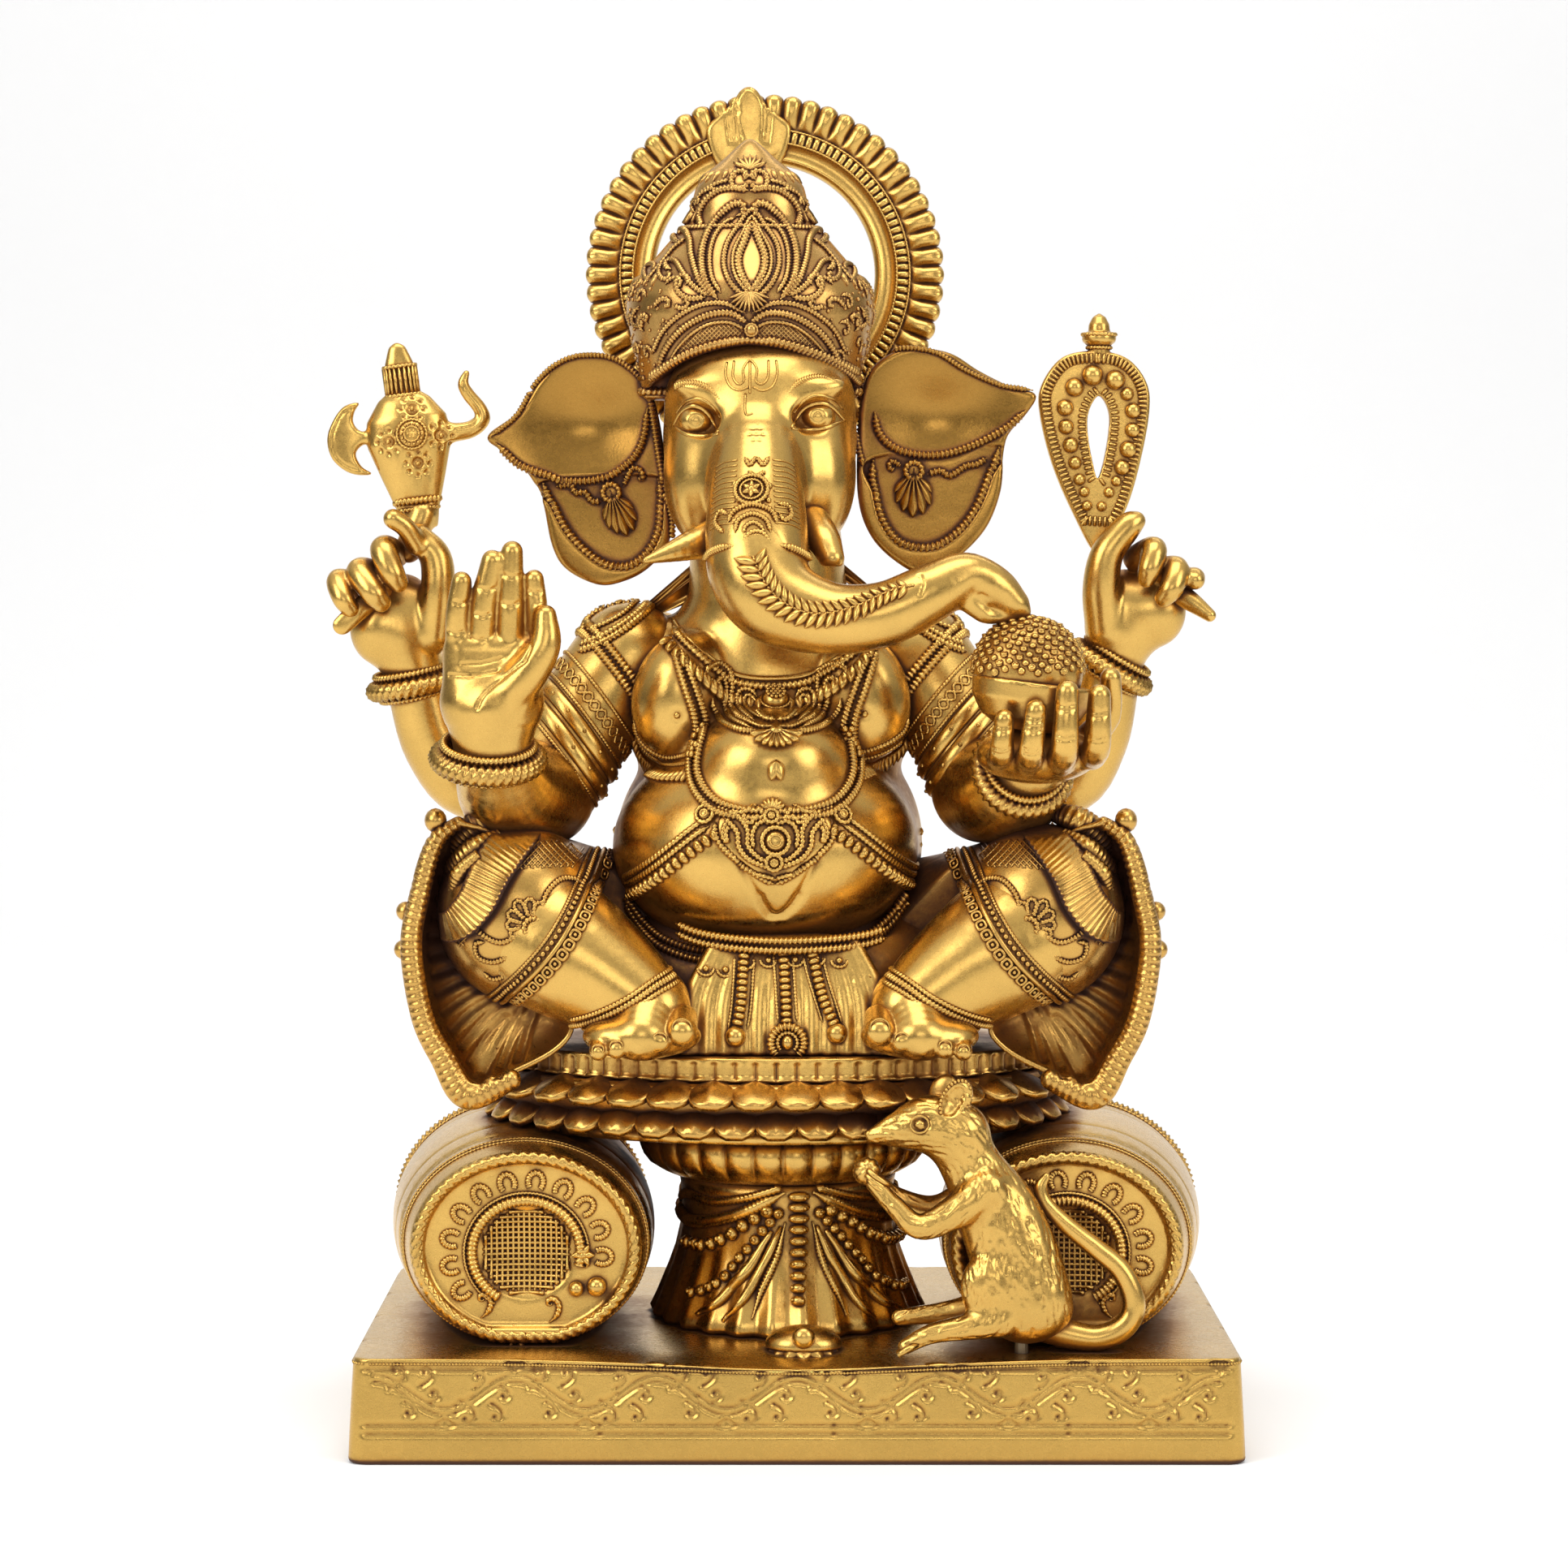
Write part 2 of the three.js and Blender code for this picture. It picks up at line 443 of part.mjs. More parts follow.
// ---- every casting and fastener, in the order in which they take their space: a later one is cut to fit
const pieces = [
  // hidden fixings
  ["tie_stud", bar([-10, 0, 30], [-10, 0, SEAT_TOP - 2], 5), STEEL],
  ["tie_washer", bar([-10, 0, 36.2], [-10, 0, 38.6], 14, 20), STEEL],
  ["tie_nut", bar([-10, 0, 32], [-10, 0, 35.8], 9.5, 6), STEEL],
  ["mouse_stud", bar([98, MOUSE_Y, 31], [98, MOUSE_Y, 62], 3), STEEL],
  ["mouse_nut", bar([98, MOUSE_Y, 33.5], [98, MOUSE_Y, 38.5], 5.8, 6), STEEL],
  ["halo_screw_right", haloScrew(-1), STEEL],
  ["halo_screw_left", haloScrew(1), STEEL],
  // plinth, bolsters and lotus seat
  ["plinth", plinth(), BRASS],
  ["bolster_right", bolster(-1), BRASS],
  ["bolster_left", bolster(1), BRASS],
  ["pedestal", pedestal, BRASS],
  ["pedestal_capital", capital, BRASS],
  ["drapery_boss", ball([2, -99, 50], [21, 15, 8]), BRASS],
  ["seat_ring", seatRing, BRASS],
  ["lotus_dish", dish, BRASS],
  ["rim_plate", rimPlate, BRASS],
  // the body and legs
  ["torso", torso, BRASS],
  ["hips", hips, BRASS],
  ["right_thigh", limb(side(LEG.thigh, false), LEG.thighR), BRASS],
  ["left_thigh", limb(side(LEG.thigh, true), LEG.thighR), BRASS],
  ["right_shin", limb(side(LEG.shin, false), LEG.shinR), BRASS],
  ["left_shin", limb(side(LEG.shin, true), LEG.shinR), BRASS],
  ["right_foot", foot(false), BRASS],
  ["left_foot", foot(true), BRASS],
  ["apron", apron, BRASS],
  // the front arms
  ["right_upper_arm", limb(frontRight, [26, 25, 23]), BRASS],
  ["left_upper_arm", limb(frontLeft, [26, 25, 23]), BRASS],
  ["right_forearm", limb(rightForearm, [25, 25, 19]), BRASS],
  ["left_forearm", limb(leftForearm, [24, 23, 17]), BRASS],
  ["right_bangle", ring([-132, -74, 305], [0.05, -0.35, 1], 23, 6), BRASS],
  ["left_bangle", ring([101, -62, 299], [0.2, -0.9, 0.5], 19, 5.5), BRASS],
  ["right_hand", raisedHand, BRASS],
  ["left_hand", bowlHand, BRASS],
  // the rear arms
  ["rear_right_arm", limb(rearRight, REAR_ARM_R), BRASS],
  ["rear_left_arm", limb(rearLeft, REAR_ARM_R), BRASS],
  ["rear_right_bangle", ring([-177, 19, 336], [-0.25, 0, 1], 18, 5), BRASS],
  ["rear_left_bangle", ring([148, 19, 338], [0.25, 0, 1], 18, 5), BRASS],
  ["axe", axe, BRASS],
  ["noose", noose, BRASS],
  ["rear_right_hand", fist(-181, 370, -1), BRASS],
  ["rear_left_hand", fist(155, 370, 1), BRASS],
  // the head
  ["head", head, BRASS],
  ["trunk", limb(trunkPoints, trunkRadii, 10, 1), BRASS],
  ["right_tusk", limb([[-36, -52, 402], [-52, -68, 396], [-66, -80, 392]], [8.5, 6.5, 2.6], 8), BRASS],
  ["left_tusk", limb([[8, -56, 406], [13, -68, 398], [15, -72, 388]], [7.5, 7, 6], 8), BRASS],
  ["right_ear", plate(rightEar, 2, 9), BRASS],
  ["left_ear", plate(leftEar, 2, 9), BRASS],
  ["crown", turned([CROWN.x, CROWN.y, 0], crownProfile, [1, CROWN.depthShare], 20), BRASS],
  ["halo", halo, BRASS],
  ["halo_bracket", haloBracket, DARK_BRASS],
  // the offering
  ["bowl", turned([102, -90, 0], bowlProfile, [1, 0.86], 18), BRASS],
  ["sweets", ball([102, -90, 342], [23.5, 20, 25.5], [0, 0, 0], [12, 8]), BRASS],
  // ornaments and cloth edges
  ["collar", limb(laid(collarPath, 3), [5, 7, 9, 13, 9, 7, 5], 8, 1, 0.6), BRASS],
  ["belt", limb(laid(beltPath, 3), [4, 5, 7, 12, 7, 5, 4], 8, 1, 0.6), BRASS],
  ["sacred_thread", limb(laid(threadPath, 2), threadPath.map(() => 3.6), 6, 1), BRASS],
  ["right_hem", plate(side(LEG.hem, false), -62, 40), BRASS],
  ["left_hem", plate(side(LEG.hem, true), -62, 40), BRASS],
  // the mouse
  ["mouse", mouse, BRASS],
  ["mouse_tail", mouseTail, BRASS],
  ["mouse_sweet", ball([31, MOUSE_Y - 4, 126], [6.5, 6.5, 6.5], [0, 0, 0], SMALL_BALL), BRASS],
];

function overlaps(a, b) {
  return [0, 1, 2].every((i) => a.min[i] <= b.max[i] && b.min[i] <= a.max[i]);
}

// What is left of a piece once the room of the earlier pieces is taken out of it, as one body.
function fitted(make, earlier) {
  let whole = make(0);
  const room = whole.boundingBox();
  for (const { grown, box } of earlier) if (overlaps(room, box)) whole = whole.subtract(grown);
  return whole.decompose().sort((a, b) => b.volume() - a.volume())[0];
}

function meshOf(name, made, finish) {
  const { vertProperties, triVerts, numProp } = made.getMesh();
  const position = new Float32Array((vertProperties.length / numProp) * 3);
  for (let i = 0; i < position.length / 3; i++)
    position.set(vertProperties.subarray(i * numProp, i * numProp + 3), i * 3);
  const geometry = new THREE.BufferGeometry();
  geometry.setAttribute("position", new THREE.BufferAttribute(position, 3));
  geometry.setIndex(new THREE.BufferAttribute(triVerts, 1));
  const mesh = new THREE.Mesh(geometry, new THREE.MeshStandardMaterial(finish));
  mesh.name = name;
  return mesh;
}

const idol = new THREE.Group();
const earlier = [];
for (const [name, make, finish] of pieces) {
  idol.add(meshOf(name, fitted(make, earlier), finish));
  const grown = make(GAP);
  earlier.push({ grown, box: grown.boundingBox() });
}

export default idol;
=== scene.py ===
"""A cast brass seated elephant-headed figure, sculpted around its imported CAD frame.

Lengths in this script are millimetres in the row frame, and meshes are turned into metres as they are made.
Each piece is drawn about the centre of its own CAD node's box, and moved by whatever that box has moved since.
"""

import math

import bpy
import numpy as np
import openvdb
from mathutils import Euler, Matrix, Vector
from mathutils.bvhtree import BVHTree


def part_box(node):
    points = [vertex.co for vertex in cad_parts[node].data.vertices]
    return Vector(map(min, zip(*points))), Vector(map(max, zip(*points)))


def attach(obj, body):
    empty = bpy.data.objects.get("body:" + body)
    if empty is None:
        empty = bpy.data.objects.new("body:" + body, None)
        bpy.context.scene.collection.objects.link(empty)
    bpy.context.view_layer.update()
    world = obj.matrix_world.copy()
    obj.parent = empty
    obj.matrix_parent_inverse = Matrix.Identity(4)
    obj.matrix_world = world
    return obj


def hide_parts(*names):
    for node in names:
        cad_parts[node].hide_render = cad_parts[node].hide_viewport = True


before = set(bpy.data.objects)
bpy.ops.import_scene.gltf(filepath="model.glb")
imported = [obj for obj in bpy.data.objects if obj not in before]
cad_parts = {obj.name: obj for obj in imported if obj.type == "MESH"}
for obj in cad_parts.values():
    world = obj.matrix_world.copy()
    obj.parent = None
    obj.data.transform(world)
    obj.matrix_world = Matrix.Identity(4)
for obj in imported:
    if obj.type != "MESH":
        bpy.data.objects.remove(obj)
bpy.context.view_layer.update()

MM = 0.001
FAR = 50.0
TAU = 2 * math.pi
FRONT = np.array([0.0, 1.0, 0.0])  # the way a ray runs from the viewer's side into the figure


# where the middle of each node's box was when its piece was drawn
CENTRES = {
    "apron": (-4.5, -68.6, 197.7),
    "axe": (-178.7, 9.1, 426.7),
    "belt": (-11.8, -62.5, 263.2),
    "bolster_left": (125.5, 0.0, 93.3),
    "bolster_right": (-125.5, 0.0, 93.3),
    "bowl": (102.0, -90.0, 325.5),
    "collar": (-12.0, -43.3, 342.2),
    "crown": (-20.0, -8.0, 528.0),
    "drapery_boss": (1.4, -99.0, 52.1),
    "halo": (-14.5, 50.0, 525.7),
    "head": (-17.0, -12.0, 442.7),
    "hips": (-12.0, 4.0, 211.6),
    "left_bangle": (101.0, -62.0, 299.0),
    "left_ear": (68.1, 2.0, 437.1),
    "left_foot": (52.1, -90.2, 188.9),
    "left_forearm": (92.2, -44.8, 289.0),
    "left_hand": (109.3, -90.0, 321.1),
    "left_hem": (128.8, -62.0, 224.1),
    "left_shin": (89.0, -71.4, 227.1),
    "left_thigh": (86.7, -16.7, 224.5),
    "left_tusk": (11.8, -64.5, 398.5),
    "left_upper_arm": (74.5, -7.8, 318.6),
    "lotus_dish": (-9.0, 0.0, 150.8),
    "mouse": (73.0, -107.5, 106.3),
    "mouse_sweet": (30.7, -111.0, 126.0),
    "mouse_tail": (131.1, -103.1, 85.9),
    "noose": (151.1, 7.1, 436.3),
    "pedestal": (-4.0, 0.0, 79.2),
    "pedestal_capital": (-6.0, 0.0, 123.0),
    "plinth": (0.0, 0.0, 23.0),
    "rear_left_arm": (98.1, 25.7, 317.0),
    "rear_left_bangle": (148.0, 19.0, 338.0),
    "rear_left_hand": (154.9, 9.2, 375.6),
    "rear_right_arm": (-123.9, 25.7, 316.3),
    "rear_right_bangle": (-177.0, 19.0, 336.0),
    "rear_right_hand": (-180.4, 9.2, 374.9),
    "right_bangle": (-132.0, -74.0, 305.0),
    "right_ear": (-98.5, 2.0, 433.2),
    "right_foot": (-66.1, -90.2, 188.9),
    "right_forearm": (-123.7, -48.7, 291.7),
    "right_hand": (-127.1, -82.2, 352.5),
    "right_hem": (-142.8, -62.0, 224.1),
    "right_shin": (-103.0, -71.4, 227.1),
    "right_thigh": (-102.4, -20.7, 225.8),
    "right_tusk": (-50.8, -64.0, 398.7),
    "right_upper_arm": (-99.4, -7.9, 317.6),
    "rim_plate": (-9.0, 0.0, 167.5),
    "sacred_thread": (-12.0, -67.7, 306.0),
    "seat_ring": (-7.4, 0.0, 136.8),
    "sweets": (102.0, -90.0, 350.4),
    "torso": (-12.0, -17.0, 321.1),
    "trunk": (28.2, -78.3, 394.0),
}


def middle(node):
    low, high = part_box(node)
    return np.array((low + high) / 2) / MM


# ---------------------------------------------------------------- shapes as signed distances


def turned(turn):
    return np.array(Euler(turn).to_matrix(), float)


def egg(centre, r, turn=(0, 0, 0)):
    """An ellipsoid, as (low corner, high corner, distance function)."""
    centre, r = np.array(centre, float), np.array(r, float)
    m = turned(turn)
    reach = np.sqrt(((m * r) ** 2).sum(1))

    def distance(x, y, z):
        x, y, z = x - centre[0], y - centre[1], z - centre[2]
        p = [x * m[0, i] + y * m[1, i] + z * m[2, i] for i in range(3)]
        a = np.sqrt(sum((q / s) ** 2 for q, s in zip(p, r)))
        b = np.sqrt(sum((q / s**2) ** 2 for q, s in zip(p, r)))
        return a * (a - 1) / np.maximum(b, 1e-6)

    return centre - reach, centre + reach, distance


def block(low, high, rounding=1.0, turn=(0, 0, 0)):
    low, high = np.array(low, float), np.array(high, float)
    centre, half = (low + high) / 2, (high - low) / 2
    m = turned(turn)
    reach = (abs(m) * half).sum(1)

    def distance(x, y, z):
        x, y, z = x - centre[0], y - centre[1], z - centre[2]
        q = [abs(x * m[0, i] + y * m[1, i] + z * m[2, i]) - half[i] + rounding for i in range(3)]
        out = np.sqrt(sum(np.maximum(v, 0) ** 2 for v in q))
        return out + np.minimum(np.maximum(np.maximum(q[0], q[1]), q[2]), 0) - rounding

    return centre - reach, centre + reach, distance


def outline_distance(points, u, v):
    """Signed distance to a closed outline of (u, v) points, on the flat."""
    points = np.array(points, float)
    best = np.full(np.broadcast(u, v).shape, 1e9)
    inside = np.zeros(best.shape, bool)
    for a, b in zip(points, np.roll(points, -1, 0)):
        e = b - a
        w = (u - a[0], v - a[1])
        t = np.clip((w[0] * e[0] + w[1] * e[1]) / max(e @ e, 1e-9), 0, 1)
        best = np.minimum(best, (w[0] - t * e[0]) ** 2 + (w[1] - t * e[1]) ** 2)
        if a[1] != b[1]:
            crosses = (a[1] > v) != (b[1] > v)
            inside ^= crosses & (u < a[0] + (v - a[1]) * e[0] / e[1])
    best = np.sqrt(best)
    return np.where(inside, -best, best)


def smooth_outline(points, per=6):
    return spline(points, per, closed=True)


def plate(points, y, thickness, rounding=1.0, dish=None, smooth=True):
    """A flat outline of (x, z) points with a thickness about y. dish bends it: y moves by dish(x, z)."""
    outline = smooth_outline(points) if smooth else np.array(points, float)
    low = np.array([outline[:, 0].min(), y - thickness / 2 - 14, outline[:, 1].min()])
    high = np.array([outline[:, 0].max(), y + thickness / 2 + 14, outline[:, 1].max()])

    def distance(x, yy, z):
        flat = outline_distance(outline, x, z) + rounding
        bend = 0 if dish is None else dish(x, z)
        deep = abs(yy - y - bend) - thickness / 2 + rounding
        out = np.sqrt(np.maximum(flat, 0) ** 2 + np.maximum(deep, 0) ** 2)
        return out + np.minimum(np.maximum(flat, deep), 0) - rounding

    return low, high, distance


def lathe(centre, profile, scale=(1, 1), wave=None):
    """A profile of (radius, z) pairs turned about an upright axis through centre, scaled in x and y."""
    profile = np.array(profile, float)
    r = profile[:, 0].max() + 4
    low = np.array([centre[0] - r * scale[0], centre[1] - r * scale[1], profile[:, 1].min()])
    high = np.array([centre[0] + r * scale[0], centre[1] + r * scale[1], profile[:, 1].max()])
    shrink = min(scale)

    def distance(x, y, z):
        dx, dy = (x - centre[0]) / scale[0], (y - centre[1]) / scale[1]
        radius = np.sqrt(dx**2 + dy**2)
        if wave is not None:
            radius = radius - wave(np.arctan2(dy, dx), z)
        return outline_distance(profile, radius, z) * shrink

    return low, high, distance


def hoop(centre, axis, major, minor, squash=1.0):
    centre = np.array(centre, float)
    axis = np.array(axis, float) / np.linalg.norm(axis)
    reach = major + minor

    def distance(x, y, z):
        x, y, z = x - centre[0], y - centre[1], z - centre[2]
        along = x * axis[0] + y * axis[1] + z * axis[2]
        out = np.sqrt(np.maximum(x * x + y * y + z * z - along * along, 0)) - major
        return np.sqrt((along / squash) ** 2 + out**2) - minor

    return centre - reach, centre + reach, distance


def spline(points, per=8, closed=False):
    """A smooth curve through points, with per steps between each pair."""
    p = np.array(points, float)
    if closed:
        p = np.concatenate([p[-1:], p, p[:2]])
    else:
        p = np.concatenate([[2 * p[0] - p[1]], p, [2 * p[-1] - p[-2]]])
    t = (np.arange(per) / per)[:, None]
    found = []
    for a, b, c, d in zip(p, p[1:], p[2:], p[3:]):
        found.append(0.5 * (2 * b + (c - a) * t + (2 * a - 5 * b + 4 * c - d) * t**2 + (3 * b - a - 3 * c + d) * t**3))
    if not closed:
        found.append(p[-2:-1])
    return np.concatenate(found)


class Clay:
    """A solid on a grid of signed distances. Metal is where the distance is below zero."""

    def __init__(self, low, high, voxel):
        self.voxel = voxel
        self.low = np.array(low, float)
        count = np.ceil((np.array(high, float) - self.low) / voxel).astype(int) + 1
        self.axes = [self.low[i] + voxel * np.arange(count[i]) for i in range(3)]
        self.d = np.full(count, FAR, np.float32)

    def room(self, low, high):
        cut = []
        for axis, a, b in zip(self.axes, low, high):
            first = max(int(np.searchsorted(axis, a)) - 1, 0)
            cut.append(slice(first, max(min(int(np.searchsorted(axis, b)) + 1, len(axis)), first)))
        x, y, z = (axis[c] for axis, c in zip(self.axes, cut))
        return tuple(cut), x[:, None, None], y[None, :, None], z[None, None, :]

    def _join(self, cut, d, k):
        old = self.d[cut]
        if k > 0:
            h = np.maximum(k - abs(old - d), 0)
            self.d[cut] = np.minimum(old, d) - h * h / (4 * k)
        else:
            self.d[cut] = np.minimum(old, d)

    def add(self, shape, k=0.0):
        low, high, distance = shape
        reach = k + 3 * self.voxel
        cut, x, y, z = self.room(low - reach, high + reach)
        if self.d[cut].size:
            self._join(cut, np.broadcast_to(distance(x, y, z), self.d[cut].shape), k)
        return self

    def carve(self, shape, k=0.0):
        low, high, distance = shape
        reach = k + 3 * self.voxel
        cut, x, y, z = self.room(low - reach, high + reach)
        if self.d[cut].size:
            old, d = self.d[cut], -np.broadcast_to(distance(x, y, z), self.d[cut].shape)
            h = np.maximum(k - abs(old - d), 0) if k > 0 else 0
            self.d[cut] = np.maximum(old, d) + (h * h / (4 * k) if k > 0 else 0)
        return self

    def limb(self, points, radii, k=0.0, per=6, flat=None, carve=False):
        """A round bar along a smooth curve. flat is a (axis, share) pair that squashes its section."""
        path = spline(points, per)
        r = spline(np.array(radii, float)[:, None], per)[:, 0]
        reach = k + 3 * self.voxel + r.max()
        cut, x, y, z = self.room(path.min(0) - reach, path.max(0) + reach)
        d = np.full(self.d[cut].shape, FAR, np.float32)
        if not d.size:
            return self
        starts = [c.start for c in cut]
        for a, b, ra, rb in zip(path, path[1:], r, r[1:]):
            near = k + 3 * self.voxel + max(ra, rb)
            sub, sx, sy, sz = self.room(np.minimum(a, b) - near, np.maximum(a, b) + near)
            inner = tuple(slice(max(c.start - s, 0), max(c.stop - s, 0)) for c, s in zip(sub, starts))
            e = b - a
            px, py, pz = sx - a[0], sy - a[1], sz - a[2]
            t = np.clip((px * e[0] + py * e[1] + pz * e[2]) / max(e @ e, 1e-9), 0, 1)
            q = [px - t * e[0], py - t * e[1], pz - t * e[2]]
            if flat is not None:
                q[flat[0]] = q[flat[0]] / flat[1]
            new = np.sqrt(q[0] ** 2 + q[1] ** 2 + q[2] ** 2) - (ra + t * (rb - ra))
            d[inner] = np.minimum(d[inner], new)
        if carve:
            old = self.d[cut]
            h = np.maximum(k - abs(old + d), 0) if k > 0 else 0
            self.d[cut] = np.maximum(old, -d) + (h * h / (4 * k) if k > 0 else 0)
        else:
            self._join(cut, d, k)
        return self

    def keep_above(self, z, k=0.0):
        d = (z - self.axes[2])[None, None, :]
        self.d = np.maximum(self.d, np.broadcast_to(d, self.d.shape))
        return self

    def soften(self, rounds=1):
        for _ in range(rounds):
            d = np.clip(self.d, -6 * self.voxel, 6 * self.voxel)
            for axis in range(3):
                d = (np.roll(d, 1, axis) + 2 * d + np.roll(d, -1, axis)) / 4
            self.d = d
        return self

    def shell(self):
        grid = openvdb.FloatGrid(float(FAR))
        grid.copyFromArray(np.ascontiguousarray(np.clip(self.d, -FAR, FAR), dtype=np.float32))
        points, quads = grid.convertToQuads(isovalue=0.0)
        return Shell(np.array(points, float) * self.voxel + self.low, np.array(quads))


# ---------------------------------------------------------------- meshes


class Shell:
    """Points with quads and triangles between them."""

    def __init__(self, co, quads=None, tris=None):
        self.co = np.array(co, float)
        self.quads = np.zeros((0, 4), int) if quads is None else np.array(quads, int)
        self.tris = np.zeros((0, 3), int) if tris is None else np.array(tris, int)

    def tree(self):
        faces = self.quads.tolist() + self.tris.tolist()
        return BVHTree.FromPolygons(self.co.tolist(), faces, all_triangles=False)


def joined(shells):
    co, quads, tris, start = [], [], [], 0
    for s in shells:
        co.append(s.co)
        quads.append(s.quads + start)
        tris.append(s.tris + start)
        start += len(s.co)
    return Shell(np.concatenate(co), np.concatenate(quads), np.concatenate(tris))


def mesh_object(name, shell, material):
    mesh = bpy.data.meshes.new(name)
    mesh.vertices.add(len(shell.co))
    mesh.vertices.foreach_set("co", (shell.co * MM).astype(np.float32).ravel())
    nq, nt = len(shell.quads), len(shell.tris)
    mesh.loops.add(4 * nq + 3 * nt)
    mesh.polygons.add(nq + nt)
    loops = np.concatenate([shell.quads.ravel(), shell.tris.ravel()]).astype(np.int32)
    mesh.loops.foreach_set("vertex_index", loops)
    starts = np.concatenate([4 * np.arange(nq), 4 * nq + 3 * np.arange(nt)]).astype(np.int32)
    mesh.polygons.foreach_set("loop_start", starts)
    mesh.update(calc_edges=True)
    mesh.polygons.foreach_set("use_smooth", np.ones(nq + nt, bool))
    mesh.materials.append(material)
    obj = bpy.data.objects.new(name, mesh)
    bpy.context.scene.collection.objects.link(obj)
    return obj


def thinned(obj, least=30000, share=0.5, most=150000):
    """Collapses the needlessly fine triangles of a dense piece."""
    mesh = obj.data
    count = sum(len(p.vertices) - 2 for p in mesh.polygons)
    if count < least:
        return
    thin = obj.modifiers.new("thin", "DECIMATE")
    thin.ratio = min(share, most / count)
    graph = bpy.context.evaluated_depsgraph_get()
    graph.update()
    obj.data = bpy.data.meshes.new_from_object(obj.evaluated_get(graph))
    obj.modifiers.clear()
    bpy.data.meshes.remove(mesh)


def piece(node, shells, material, also=(), share=0.5, most=150000):
    """One visible piece: the shells, drawn about the node's design centre, put where its box is now."""
    whole = joined(shells)
    whole.co += middle(node) - np.array(CENTRES[node], float)
    obj = mesh_object(node + "_cast", whole, material)
    thinned(obj, share=share, most=most)
    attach(obj, "root")
    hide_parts(node, *also)
    return obj


# ---------------------------------------------------------------- ornament made of fine meshes


def along(path):
    """How far each point of a path is from its start."""
    return np.concatenate([[0], np.cumsum(np.linalg.norm(np.diff(path, axis=0), axis=1))])


def resampled(path, step, normals=None):
    path = np.asarray(path, float)
    s = along(path)
    count = max(int(round(s[-1] / step)), 2)
    at = np.linspace(0, s[-1], count + 1)
    new = np.stack([np.interp(at, s, path[:, i]) for i in range(3)], 1)
    if normals is None:
        return new
    n = np.stack([np.interp(at, s, normals[:, i]) for i in range(3)], 1)
    return new, unit(n)


def unit(v):
    v = np.asarray(v, float)
    return v / np.maximum(np.linalg.norm(v, axis=-1, keepdims=True), 1e-9)


def tangents(path, closed=False):
    if closed:
        return unit(np.roll(path, -1, 0) - np.roll(path, 1, 0))
    return unit(np.gradient(path, axis=0))


def frames(path, normals=None, closed=False):
    """Two unit vectors across a path at each of its points; the first is near normals."""
    t = tangents(path, closed)
    if normals is None:
        start = np.cross(t[0], [0.3, 0.2, 1.0])
        n = np.empty_like(path)
        n[0] = unit(start)
        for i in range(1, len(path)):
            n[i] = unit(n[i - 1] - t[i] * (n[i - 1] @ t[i]))
    else:
        normals = np.broadcast_to(normals, path.shape)
        n = unit(normals - t * (normals * t).sum(1, keepdims=True))
    return n, np.cross(t, n)


def tube(path, radius, sides=8, normals=None, closed=False, flat=1.0, wide=1.0):
    """A round bar along a path. radius is a number, one per point, or one per point and side."""
    path = np.asarray(path, float)
    n, b = frames(path, normals, closed)
    phi = TAU * np.arange(sides) / sides
    r = np.asarray(radius, float)
    r = np.broadcast_to(r if r.ndim == 2 else (r[:, None] if r.ndim == 1 else r), (len(path), sides))
    ring = n[:, None] * (np.cos(phi) * r * flat)[..., None] + b[:, None] * (np.sin(phi) * r * wide)[..., None]
    co = (path[:, None] + ring).reshape(-1, 3)
    rows = len(path) if closed else len(path) - 1
    i, j = np.meshgrid(np.arange(rows), np.arange(sides), indexing="ij")
    nxt, up = (j + 1) % sides, (i + 1) % len(path)
    quads = np.stack([i * sides + j, i * sides + nxt, up * sides + nxt, up * sides + j], -1).reshape(-1, 4)
    if closed:
        return Shell(co, quads)
    ends = np.array([path[0], path[-1]])
    j = np.arange(sides)
    last = (len(path) - 1) * sides
    tris = np.concatenate(
        [
            np.stack([(j + 1) % sides, j, np.full(sides, len(co))], 1),
            np.stack([last + j, last + (j + 1) % sides, np.full(sides, len(co) + 1)], 1),
        ]
    )
    return Shell(np.concatenate([co, ends]), quads, tris)


def rope(path, r=1.0, pitch=2.2, depth=0.22, lean=1, normals=None, closed=False, flat=1.0, wide=1.0, sides=8, taper=0):
    """A milled cord: ribs every pitch, leaning round it by so many turns, as a chasing tool leaves them."""
    step = pitch / 5
    path = np.asarray(path, float)
    if closed:
        path = np.concatenate([path, path[:1]])
        normals = None if normals is None else np.concatenate([normals, normals[:1]])
    if normals is None:
        path = resampled(path, step)
    else:
        path, normals = resampled(path, step, np.asarray(normals, float))
    if closed:
        path = path[:-1]
        normals = None if normals is None else normals[:-1]
    s = along(path)
    if closed:
        pitch = s[-1] / max(round(s[-1] / pitch), 1)
    phi = TAU * np.arange(sides) / sides
    wave = np.cos(TAU * s[:, None] / pitch + lean * phi[None])
    radius = r * (1 - depth + depth * wave)
    if taper:
        share = s / s[-1]
        radius = radius * np.clip(np.minimum(share, 1 - share) / taper, 0.25, 1)[:, None]
    return tube(path, radius, sides, normals, closed, flat, wide)


def unit_bead(around=8, rings=5):
    """A unit ball, pole along Z."""
    lat = np.pi * (np.arange(1, rings)) / rings
    phi = TAU * np.arange(around) / around
    co = [[0, 0, 1]]
    for a in lat:
        co += [[math.sin(a) * math.cos(p), math.sin(a) * math.sin(p), math.cos(a)] for p in phi]
    co.append([0, 0, -1])
    quads, tris = [], []
    for k in range(around):
        m = (k + 1) % around
        tris += [[0, 1 + k, 1 + m], [len(co) - 1, len(co) - 1 - around + m, len(co) - 1 - around + k]]
        for ring in range(rings - 2):
            a = 1 + ring * around
            quads.append([a + k, a + around + k, a + around + m, a + m])
    return Shell(co, quads, tris)


